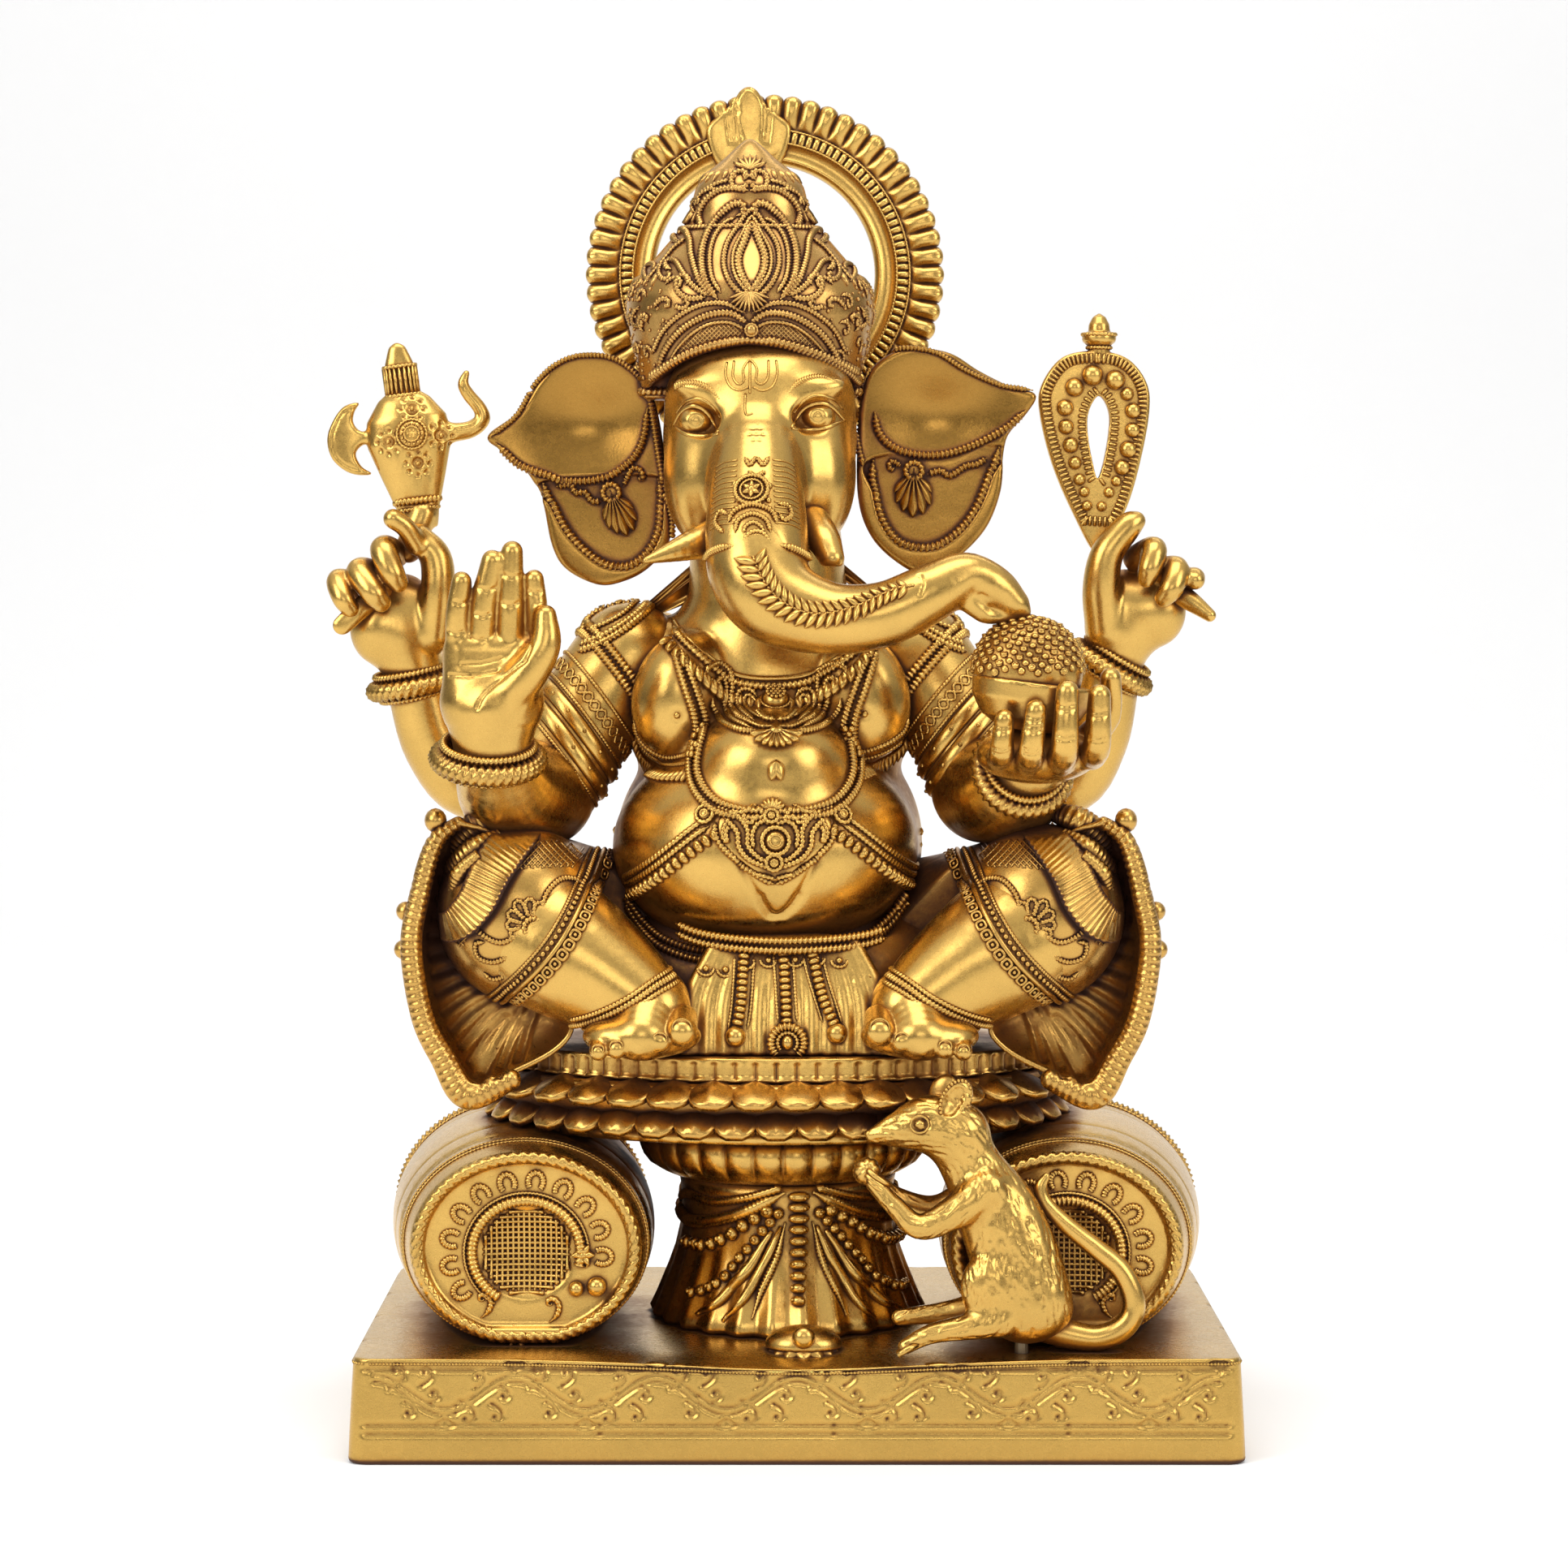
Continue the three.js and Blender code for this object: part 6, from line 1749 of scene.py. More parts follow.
for (x, z), r in (([(-26.9, 424.3)][0], 1.6), ([(-12.1, 423.6)][0], 1.6), ([(-25.2, 417.2)][0], 1.4),
                  ([(-12.4, 417.2)][0], 1.4)):
    at, n = skin_head.hit([[x, 0, z]], FRONT)
    shells.append(copies(BEAD, at, r))
piece("head", shells, smooth_cast)

# ---------------------------------------------------------------- trunk and tusks
trunk = Clay([-46, -118, 350], [112, -50, 414], 0.85)
trunk.limb(TRUNK[3:], TRUNK_R[3:])
trunk.limb([(84, -92.5, 380), (91, -91.5, 374), (99.5, -91, 368.6)], [8, 5.2, 2.6], 3)
trunk.limb([(72, -95, 377), (78, -94.5, 370.5), (84, -93, 366.8), (99, -91, 366.4)], [6, 4.4, 3.4, 1.8], 2.5)
trunk.limb([(80, -100, 376), (88, -100, 371.6), (97, -99, 368.6)], [1.3, 1.3, 0.9], 0.8, carve=True)
trunk_shell = trunk.soften(1).shell()
skin_trunk = Skin(trunk_shell)
shells = [trunk_shell]
stem, n = skin_trunk.front([(-19, 392.9), (-15.2, 384), (-8.9, 375.7), (0, 370.1), (9.1, 368.4), (18.2, 369.4), (26.8, 371.9), (35.1, 375.7), (43.4, 379), (50.6, 380.7)], 0.2, 0.8)
shells.append(rope(stem, 0.8, 1.6, 0.2, 1, n, sides=6))
at, nn = resampled(stem, 3.7, n)
t = tangents(at)
below, above = leaf(10.2, 4.6, 1.6, 0.3, 1.0, 0.4), leaf(8.4, 3.8, 1.2, 0.3, 0.9, 0.3)
for k in range(1, len(at) - 1):
    across = np.cross(nn[k], t[k])
    for sign, shape in ((-1, below), (1, above)):
        way = unit(t[k] * -0.75 + across * sign * (-1 if across[2] > 0 else 1) * -1)
        size = 1.0 - 0.35 * (k / len(at))
        spot = skin_trunk.hit([at[k] + way * 3.2 * size], FRONT)
        out = unit(spot[1][0])
        way = unit(way - out * (way @ out))
        axes = np.stack([np.cross(way, out), way, out], -1)
        shells.append(copies(shape, [at[k] + out * 0.2], size, [axes]))
lines = []
for cx, cy in ((1172, 660), (1184, 664)):
    lines.append(skin_trunk.front([(53.3, 384.8), (54.6, 380.7), (53.3, 376.5)], 0, 0.8)[0])
engrave(trunk_shell, lines, 0.8, 0.4)
piece("trunk", shells, smooth_cast)

tusk = Clay([-74, -92, 380], [-24, -40, 418], 0.8)
tusk.limb([(-33, -54, 402.5), (-46, -64, 398), (-66.5, -76, 391)], [9, 6.8, 1.6])
piece("right_tusk", [tusk.soften(1).shell()], smooth_cast)
tusk = Clay([-2, -88, 380], [28, -44, 418], 0.8)
tusk.limb([(7, -54, 407), (12, -66, 400), (15.5, -73, 392)], [8.6, 7.4, 5.6])
tusk.carve(block((4, -94, 376), (30, -50, 388.5), 0.5))
piece("left_tusk", [tusk.soften(1).shell()], smooth_cast)

# ---------------------------------------------------------------- ears
EAR = {
    "right": [(-140.8, 447.4), (-126, 459), (-117, 472.5), (-107, 482.4), (-94.6, 485.6), (-81, 483), (-70, 475), (-64, 462),
              (-60, 440), (-58, 416), (-58, 399), (-68, 387), (-80, 381), (-91, 380), (-105, 387), (-111.5, 398), (-115.8, 418),
              (-122.8, 431), (-133, 440)],
    "left": [(109, 466.6), (97, 470.5), (83, 477.5), (72, 484.5), (62, 487.2), (50, 487.6), (38, 482), (31, 472), (28, 450),
             (28, 420), (34, 402), (46, 390), (58, 385), (72, 391), (86, 405), (93, 422), (94.5, 438), (96.5, 448), (105, 458)],
}
EAR_LINES = {
    "right": {
        "top": [(-139, 447), (-126.4, 457.3), (-117.7, 471.3), (-106.8, 481), (-94.5, 484), (-82.3, 482), (-72.8, 475.5), (-67.9, 468.9)],
        "under": [(-136.6, 444.4), (-124.3, 433.9), (-113.8, 429.7), (-103.3, 427.2), (-92.8, 427.5), (-81.9, 431.1), (-73.5, 438.1), (-69, 448.2), (-67.6, 460.5)],
        "loop": [(-115.6, 426.8), (-111.2, 414.9), (-105.1, 403.5), (-96.6, 394.3), (-87.5, 388.3), (-77, 387.3), (-68.3, 392.5), (-62.3, 402.7), (-60.9, 414.9), (-62.7, 429)],
        "inner": [(-107.5, 420.9), (-103, 411.4), (-96.3, 402.3), (-88.4, 395.7)],
        "strip": [(-67.2, 467.8), (-64.8, 453.5), (-63, 441.2), (-60.4, 425.4), (-57.8, 411.4), (-57.4, 401.6)],
        "scroll": [(-109.4, 424.6), (-103, 425.4), (-100.7, 421.9), (-96.3, 421.9), (-93.1, 418.1), (-88.4, 418.1)],
        "curl": [(-78.8, 424.6), (-76.7, 429.8), (-73.9, 432.8), (-70.4, 431.6), (-70, 428.6), (-72.5, 428.2)],
        "rose": [(-84.4, 421.9)][0],
        "fan": (0, -0.25, 0.95),
    },
    "left": {
        "top": [(31.6, 472.7), (36.8, 481.9), (49.1, 486.8), (64, 485), (77.1, 477.6), (92.9, 470.5), (107.3, 467.5)],
        "under": [(35.4, 458.7), (37.5, 449.1), (44.5, 442.1), (56.1, 438.8), (69.1, 439.5), (82.4, 444), (95.7, 451.4), (104.1, 459.4)],
        "loop": [(92.5, 443.3), (88.7, 429), (82.4, 413.5), (73.3, 402.3), (61.4, 396), (47.3, 398.1), (38.9, 407.9), (35.1, 421.9), (34.7, 437.4)],
        "inner": [(84.1, 432.5), (79.9, 420.2), (72.2, 409.7), (63.1, 403.5)],
        "strip": [(30.9, 471), (27.4, 460.5), (28.1, 446.5), (30.2, 433.9)],
        "scroll": [(59.6, 430.4), (65.7, 431.8), (70.1, 429.7), (77.1, 433.9), (82.4, 434.9), (86.8, 437.7)],
        "curl": [(47.7, 433.9), (43.8, 436.3), (42.1, 433.9), (44.5, 431.8)],
        "rose": [(53.5, 431.8)][0],
        "fan": (0, -0.75, 0.7),
    },
}
for side, sign, mid in (("right", -1, (-94, 452)), ("left", 1, (64, 455))):
    ear = Clay([-146 if sign < 0 else 20, -26, 372], [-52 if sign < 0 else 116, 26, 494], 0.9)

    def bend(x, z, mid=mid):
        bowl = np.exp(-(((x - mid[0]) / 27) ** 2 + ((z - mid[1]) / 22) ** 2))
        return 9.5 * bowl - 3.6

    ear.add(plate(EAR[side], 0, 6, 2.4, bend))
    lines = EAR_LINES[side]
    panel = lines["loop"]
    ear.carve(plate(panel, -5.4, 6.4, 0.8))
    ear_shell = ear.soften(1).shell()
    skin = Skin(ear_shell)
    shells = [ear_shell]
    for key, r, pitch, lean in (("top", 1.5, 1.7, 0), ("under", 2.2, 2.1, 0), ("loop", 2.5, 2.4, 1), ("strip", 1.9, 1.9, 0),
                                ("scroll", 1.9, 1.9, 0), ("curl", 1.6, 1.7, 0)):
        shells.append(laid(skin, lines[key], r, pitch, lean, 0.9, 1.0))
    x, z = lines["rose"]
    at, n = skin.hit([[x, 0, z]], FRONT)
    centre = at[0] + [0, -3.0, 0]
    out = np.array([0.0, -1.0, 0.0])
    shells.append(medallion(centre, out, 3.7, 1.7, 1.9))
    shells.append(copies(FINE_BEAD, [centre + [0, 1.6, 0]], [[5, 2.2, 5]]))
    lean, first, last = lines["fan"]
    angles = np.linspace(first, last, 7)
    drop = leaf(21, 5.8, 2.4, -0.4, 1.6, 0.8, tip=1.9, rows=14)
    sizes = [0.62, 0.78, 0.9, 1.0, 0.95, 0.82, 0.6]
    shells.append(fan(drop, centre + [0, 1.4, 0], (0, 0, -1), out, angles, sizes))
    piece(f"{side}_ear", shells, ear_cast)

# ---------------------------------------------------------------- crown
CX, CY = -21.0, -8.0
crown = Clay([-86, -66, 462], [44, 48, 592], 0.95)
crown.add(lathe((CX, CY, 0), [(0, 464), (48.5, 464), (50, 475), (53, 488), (56, 502), (56, 510), (53.5, 516), (48, 522), (42, 529),
                (36, 536), (29.5, 542), (26.5, 546), (26.5, 552), (24.5, 560), (19, 567), (12, 572.5), (5.5, 578.5), (0, 583)], (1, 0.78)))
BRIM = [(-68, 468.5), (-64.5, 471), (-57, 476), (-48, 480.6), (-36, 484.6), (-24, 486.6), (-18, 486.6), (-6, 484.6), (6, 480.6), (16, 476.4), (24, 472.4), (30, 468)]
under = smooth_outline([(-90, 450), (-90, 466), *BRIM, (60, 464), (60, 450)])
crown.carve((np.array([-90, -90, 440.0]), np.array([60, 10, 490.0]), lambda x, y, z: np.maximum(outline_distance(under, x, z), y + 14)))
crown_shell = crown.soften(2).shell()
skin_crown = Skin(crown_shell)
shells = [crown_shell]


def crowned(pts, r, pitch=1.8, lean=0, taper=0.05, lift=0.5, flat=0.85, closed=False, mirror=False):
    """A milled rope laid on the crown's front, and its mirror image where asked."""
    for flip in ((False, True) if mirror else (False,)):
        line = [(2 * CX - 0.4 - x, z) for x, z in pts] if flip else pts
        path, n = skin_crown.front(line, lift, 0.8, closed)
        shells.append(rope(path, r, pitch, 0.2, lean, n, closed, sides=8, flat=flat, taper=0 if closed else taper))


crowned([(-20.1, 548.1), (-26.5, 540), (-31.2, 531.7), (-32.3, 522), (-28.4, 512.9), (-20.1, 507.1), (-12.1, 512.6), (-8, 522), (-8.8, 531.7), (-13.8, 540)], 1.6, 1.7, closed=True)
crowned([(-20.1, 544.7), (-24, 537.3), (-27.9, 529), (-28.2, 520.7), (-25.4, 514.3), (-20.1, 509.3), (-14.6, 514.3), (-11.6, 520.7), (-11.8, 529), (-16, 537.3)], 1.2, 1.7, closed=True)
crowned([(-20.1, 541.1), (-23.5, 533.1), (-26, 525.5), (-24.6, 517.9), (-20.1, 511.5), (-15.4, 517.9), (-14.1, 525.5), (-16.5, 533.1)], 2.3, 2.0, closed=True, flat=0.6)
at, n = skin_crown.hit([[CX - 0.2, 0, 524.5]], FRONT)
almond = leaf(23, 7.2, 2.2, 0, 1.4, 0.6, tip=1.0, rows=16, cols=11)
shells.append(fan(almond, at[0] + [0, -1.2, -11.0], (0, 0, 1), n[0], [0]))
for pts, r in (
    ([(-35.1, 506.7), (-40.7, 515.2), (-42.3, 526.3), (-40.1, 536.7), (-35.1, 544.9), (-28.7, 550.4), (-24.3, 550.4), (-24, 546.5), (-27.1, 545.2)], 2.3),
    ([(-33.7, 509.7), (-37.6, 516.6), (-38.7, 526.3), (-36.8, 535.2), (-32.3, 541.8), (-27.1, 544.6)], 1.4),
    ([(-36.5, 507.6), (-43.2, 515.4), (-46.8, 526.5), (-47.9, 534.8), (-50.7, 539.8), (-54.6, 539.2), (-55.1, 535.6), (-52.3, 534.5)], 1.9),
    ([(-38.6, 508.4), (-45.5, 512.6), (-50.8, 519.5), (-54.1, 524.8), (-57.7, 525.3), (-58.3, 522.3), (-55.8, 520.9)], 1.7),
    ([(-40.3, 508), (-47.2, 507.4), (-52.5, 510.5), (-53.3, 515.7), (-50.3, 518), (-47.8, 515.7), (-49.4, 513.5)], 1.7),
    ([(-49.5, 535.4), (-55.1, 531.2), (-60.6, 524.2), (-66.2, 517.3)], 1.4),
    ([(-21.6, 556.7), (-27.7, 557.9), (-34.9, 557), (-41.1, 552.3), (-43.6, 546.2), (-42.5, 540.6)], 1.9),
    ([(-21.3, 560.1), (-24.9, 557.6), (-28.8, 559.2), (-28.6, 564), (-24.7, 565.6), (-22.2, 563.7), (-23.8, 561.5)], 1.7),
    ([(-30, 561.5), (-36.1, 559.9), (-42.5, 556.2), (-45.6, 551)], 1.4),
    ([(-21.5, 496.1), (-28.5, 500.6), (-38.2, 500.3), (-47.9, 496.1), (-54.8, 490.3), (-59.5, 483.4), (-61.4, 477)], 2.0),
    ([(-22.7, 500.8), (-31.3, 504.9), (-41.6, 504.7), (-51.8, 500.2), (-59.6, 493.3), (-64.6, 483.6)], 1.5),
    ([(-22.7, 493.6), (-29.9, 496.7), (-38.7, 496.1), (-46.5, 492), (-52.6, 486.2), (-56.4, 480.3)], 1.0),
):
    crowned(pts, r, 1.8, mirror=True)
crowned([(x, z + 2.4) for x, z in BRIM], 2.2, 2.2, 1, lift=0.2)
for pts in ([(-65.9, 473.1), (-57.6, 478.4), (-46.5, 483.9), (-35.4, 487.3), (-24, 489.5)], [(-15.2, 489.5), (-4.9, 487.5), (7.5, 483.9), (18.6, 479.8), (27.8, 475.6)]):
    crowned(pts, 2.4, 2.3, 1)
for turn in np.linspace(-1.1, 1.1, 7):
    at, n = skin_crown.hit([[CX, 0, 566.5]], FRONT)
    shells.append(fan(leaf(8.5, 2.6, 1.0, 0.5, 0.8), at[0] + [0, -0.2, 0], (0, 0, 1), n[0], [turn]))
for turn in np.linspace(-1.25, 1.25, 11):
    at, n = skin_crown.hit([[CX, 0, 510]], FRONT)
    shells.append(fan(leaf(9.5, 2.3, 1.1, 0.3, 0.9), at[0] + [0, -0.6, 0], (0, 0, -1), n[0], [turn]))
for z, r in ((486.6, 3.7), (493.6, 2.7)):
    at, n = skin_crown.hit([[CX + 0.9, 0, z]], FRONT)
    shells.append(copies(FINE_BEAD, at + n * 1.0, [[r, r, r * 1.1]]))
at, n = skin_crown.hit([[CX + 0.9, 0, 493.6]], FRONT)
shells.append(medallion(at[0] + n[0] * 2.2, n[0], 2.6, 0.8, 1.3))

# cross-hatched panels under the two arches
arch = np.array([(-22.7, 493.6), (-29.9, 496.7), (-38.7, 496.1), (-46.5, 492), (-52.6, 486.2), (-56.4, 480.3), (-54.8, 479.5), (-46.5, 483.9), (-35.4, 487.3), (-24, 489.5)], float)
for flip in (False, True):
    outline = arch.copy()
    if flip:
        outline[:, 0] = 2 * CX - 0.4 - outline[:, 0]
    shells += hatching(skin_crown, outline, 2.1, 0.42)


def crown_loop(z, lift, arc=(0, TAU), steps=160):
    a = np.linspace(*arc, steps)
    out = np.stack([np.cos(a), np.sin(a) * 0.78, np.zeros(steps)], 1) * 70
    return skin_crown.round(np.array([CX, CY, z]), [0, 0, 1.0], np.array([CX, CY, z]) + out, lift)


for z, r, pitch in ((467.5, 2.2, 2.4), (473.5, 1.2, 1.8), (540.5, 1.5, 2.0)):
    path, n = crown_loop(z, 0.3, (-0.1 * np.pi, 1.1 * np.pi) if z < 500 else (0, TAU))
    shells.append(rope(path, r, pitch, 0.2, 1, n, sides=8))
for z, r, arc in ((516.5, 2.3, (-0.2 * np.pi, 1.2 * np.pi)), (563.5, 1.9, (0, TAU))):
    path, n = crown_loop(z, 0.2, arc, 240)
    at, nn = resampled(path, r * 2.5, n)
    up = np.array([0, 0, 1.0])
    axes = [axes_at(v, up) for v in nn]
    shells.append(copies(leaf(8, r * 2.2, 1.6, -0.8, 1.4, 0.4, tip=1.2, rows=9, cols=7), at - up * 3 + nn * 0.4, 1.0, axes))
curl_seeds = [(a, z) for z in (484, 497, 509) for a in np.arange(-0.24, 1.26, 0.13) * np.pi]
curl_seeds += [(a + 0.2, z) for z in (528,) for a in np.arange(0.0, 1.0, 0.17) * np.pi]
for k, (a, z) in enumerate(curl_seeds):
    r = 56.0
    flat = spiral((0, 0), 0.9 * (k % 3) + 0.4, 21, 1.5 * (1 if k % 2 else -1), 22)
    ang = a + flat[:, 0] / r
    points = np.stack([CX + 70 * np.cos(ang), CY + 70 * 0.78 * np.sin(ang), z + flat[:, 1]], 1)
    centre = points * [0, 0, 1] + [CX, CY, 0]
    toward = unit(centre - points)
    at, n = skin_crown.hit(points, toward)
    if len(at) == len(points) and np.isfinite(at).all():
        shells.append(rope(at + n * 0.3, 1.25, 1.6, 0.2, 0, n, sides=6, taper=0.15))
for dx, z, length, turn in ((31, 533, 20, 0.6), (38, 525, 22, -0.9), (45, 516, 22, 0.9), (37, 514, 18, 2.2), (49, 505, 22, -0.7),
                            (42, 504, 18, 2.0), (33, 505, 16, -2.4), (24, 548, 15, 0.9), (47, 494, 18, 0.8), (20, 556, 13, 2.2)):
    curl = spiral((0, 0), turn, length, 1.35 if turn > 0 else -1.35, 20)
    line = [(CX + dx + u, z + w) for u, w in curl]
    crowned(line, 1.45, 1.7, mirror=True, taper=0.12)
path, n = crown_loop(543.5, 0.0, (0, TAU), 240)
at, nn = resampled(np.concatenate([path, path[:1]]), 6.2, np.concatenate([n, n[:1]]))
keep = (at[:, 1] > CY - 12)
shells.append(copies(leaf(21, 6.0, 2.2, -3.2, 1.2, 0.8, tip=1.1, rows=12), at[keep] + nn[keep] * 0.2, 1.0, [axes_at(v) for v in nn[keep]]))
rng = np.random.default_rng(3)
a = rng.uniform(-0.3 * np.pi, 1.3 * np.pi, 420)
z = rng.uniform(474, 520, 420)
points = np.stack([CX + 70 * np.cos(a), CY + 55 * np.sin(a), z], 1)
at, n = skin_crown.hit(points, unit(points * [0, 0, 1] + [CX, CY, 0] - points))
shells.append(copies(BEAD, at, rng.uniform(0.6, 1.1, (420, 1))))
piece("crown", shells, rosy_cast)

# ---------------------------------------------------------------- halo
HX, HY, HZ = -14.5, 50.0, 524.0
SPOKES = 58
loop = [(52, 55), (51.2, 52), (51.6, 48.5), (53, 46.4), (54.4, 46.6), (56, 48), (60.5, 47.4), (61.6, 46.2), (62.4, 45.6), (65, 45.4),
        (66.8, 46), (67.6, 48.2), (68.6, 47.6), (70.5, 46.6), (74, 45.9), (78, 45.5), (81, 45.6), (82.8, 46.8), (83.6, 49), (83.6, 52),
        (82.6, 54.6), (76, 55.2), (64, 55.2)]
loop = np.array(loop, float)
around = SPOKES * 20
theta = TAU * np.arange(around) / around
spoke = theta + 0.22 * np.sin(theta - np.pi / 2) * 0
ridge = abs(np.cos(SPOKES * spoke / 2)) ** 0.55
tooth = (np.cos(116 * theta) > -0.72).astype(float)
r, y = loop[:, 0][:, None], loop[:, 1][:, None]
outer = np.clip((r - 68) / 4, 0, 1)
facing = np.clip((54 - y) / 4, 0, 1)
r = r - 2.2 * (1 - ridge) * np.clip((r - 78) / 4, 0, 1)
y = y + 3.4 * (1 - ridge) * outer * facing
y = y + 1.5 * (1 - tooth) * (abs(loop[:, 0][:, None] - 64.4) < 2.6)
co = np.stack([HX + r * np.cos(theta), y + 0 * theta, HZ + r * np.sin(theta)], -1).reshape(-1, 3)
i, j = np.meshgrid(np.arange(len(loop)), np.arange(around), indexing="ij")
k, up = (j + 1) % around, (i + 1) % len(loop)
quads = np.stack([i * around + j, up * around + j, up * around + k, i * around + k], -1).reshape(-1, 4)
ring_shell = Shell(co, quads)
pits = []
for s in range(SPOKES):
    a = TAU * (s) / SPOKES
    centre = np.array([HX + 80.4 * math.cos(a), 45.6, HZ + 80.4 * math.sin(a)])
    pits.append(centre + np.array([[0, 0, 0], [0.1, 0, 0.1]]))
engrave(ring_shell, pits, 0.95, 1.1)
a = np.linspace(0, TAU, 181)[:-1]
around_ring = lambda r, y: np.stack([HX + r * np.cos(a), np.full(180, y), HZ + r * np.sin(a)], 1)
shells = [ring_shell, rope(around_ring(61.4, 46.2), 0.8, 1.6, 0.2, 1, closed=True, sides=6), rope(around_ring(67.4, 46.6), 0.7, 1.6, 0.2, 1, closed=True, sides=6)]
tip = Clay([-50, 40, 572], [8, 58, 614], 0.8)
LEAF = [(-42, 590), (-36, 598), (-30, 603), (-26, 609), (-22, 611), (-18, 609), (-14, 603), (-8, 598), (-2, 591), (-8, 574), (-22, 570), (-36, 574)]
tip.add(plate(LEAF, 48.5, 7, 2.2))
tip_shell = tip.soften(1).shell()
skin = Skin(tip_shell)
lines = [skin.front([(-26.7, 598.9), (-27.5, 605.1), (-22.9, 610.4), (-16.8, 606.6), (-15, 598.9), (-15.9, 586.5)], 0, 0.8)[0],
         skin.front([(-28.4, 599.6), (-25.5, 586.5)], 0, 0.8)[0]]
for cx in (770, 785, 800, 905, 920):
    top = [(cx, 150), (cx + (850 - cx) * 0.18, 265)]
    lines.append(skin.front([(-145 + p * 0.1456, 623.4 - q * 0.1456) for p, q in top], 0, 0.8)[0])
engrave(tip_shell, lines, 0.75, 0.7)
piece("halo", [*shells, tip_shell], cast)

# ---------------------------------------------------------------- bolsters
BOLSTER_Z, SQUASH = 89.0, 0.84


def bolster_radius(y):
    return 50.5 + 9.5 * (1 - (y / 92) ** 2)


def bolster_x(y, sign):
    return sign * (119 + 6.5 * (y + 92) / 92)


def bolster_loop(y, sign, share=1.0, lift=0.0, steps=120, cut=47.5):
    """Points round the barrel at y, above the plinth, with the outward directions there."""
    r = bolster_radius(y) * share + lift
    angle = np.linspace(-0.5 * np.pi, 1.5 * np.pi, steps)
    x, z = bolster_x(y, sign) + r * np.cos(angle), BOLSTER_Z + r * SQUASH * np.sin(angle)
    path = np.stack([x, np.full(steps, float(y)), np.maximum(z, cut + lift)], 1)
    out = np.stack([np.cos(angle), np.zeros(steps), np.sin(angle) / SQUASH], 1)
    return path, unit(out)


def horseshoe(size, bar):
    a = np.linspace(-0.22 * np.pi, 1.22 * np.pi, 22)
    path = np.stack([np.cos(a) * size * 0.8, np.sin(a) * size, np.zeros(22)], 1)
    return rope(path, bar, 1.3, 0.17, 0, np.array([[0, 0, 1.0]] * 22), sides=7, flat=0.85)


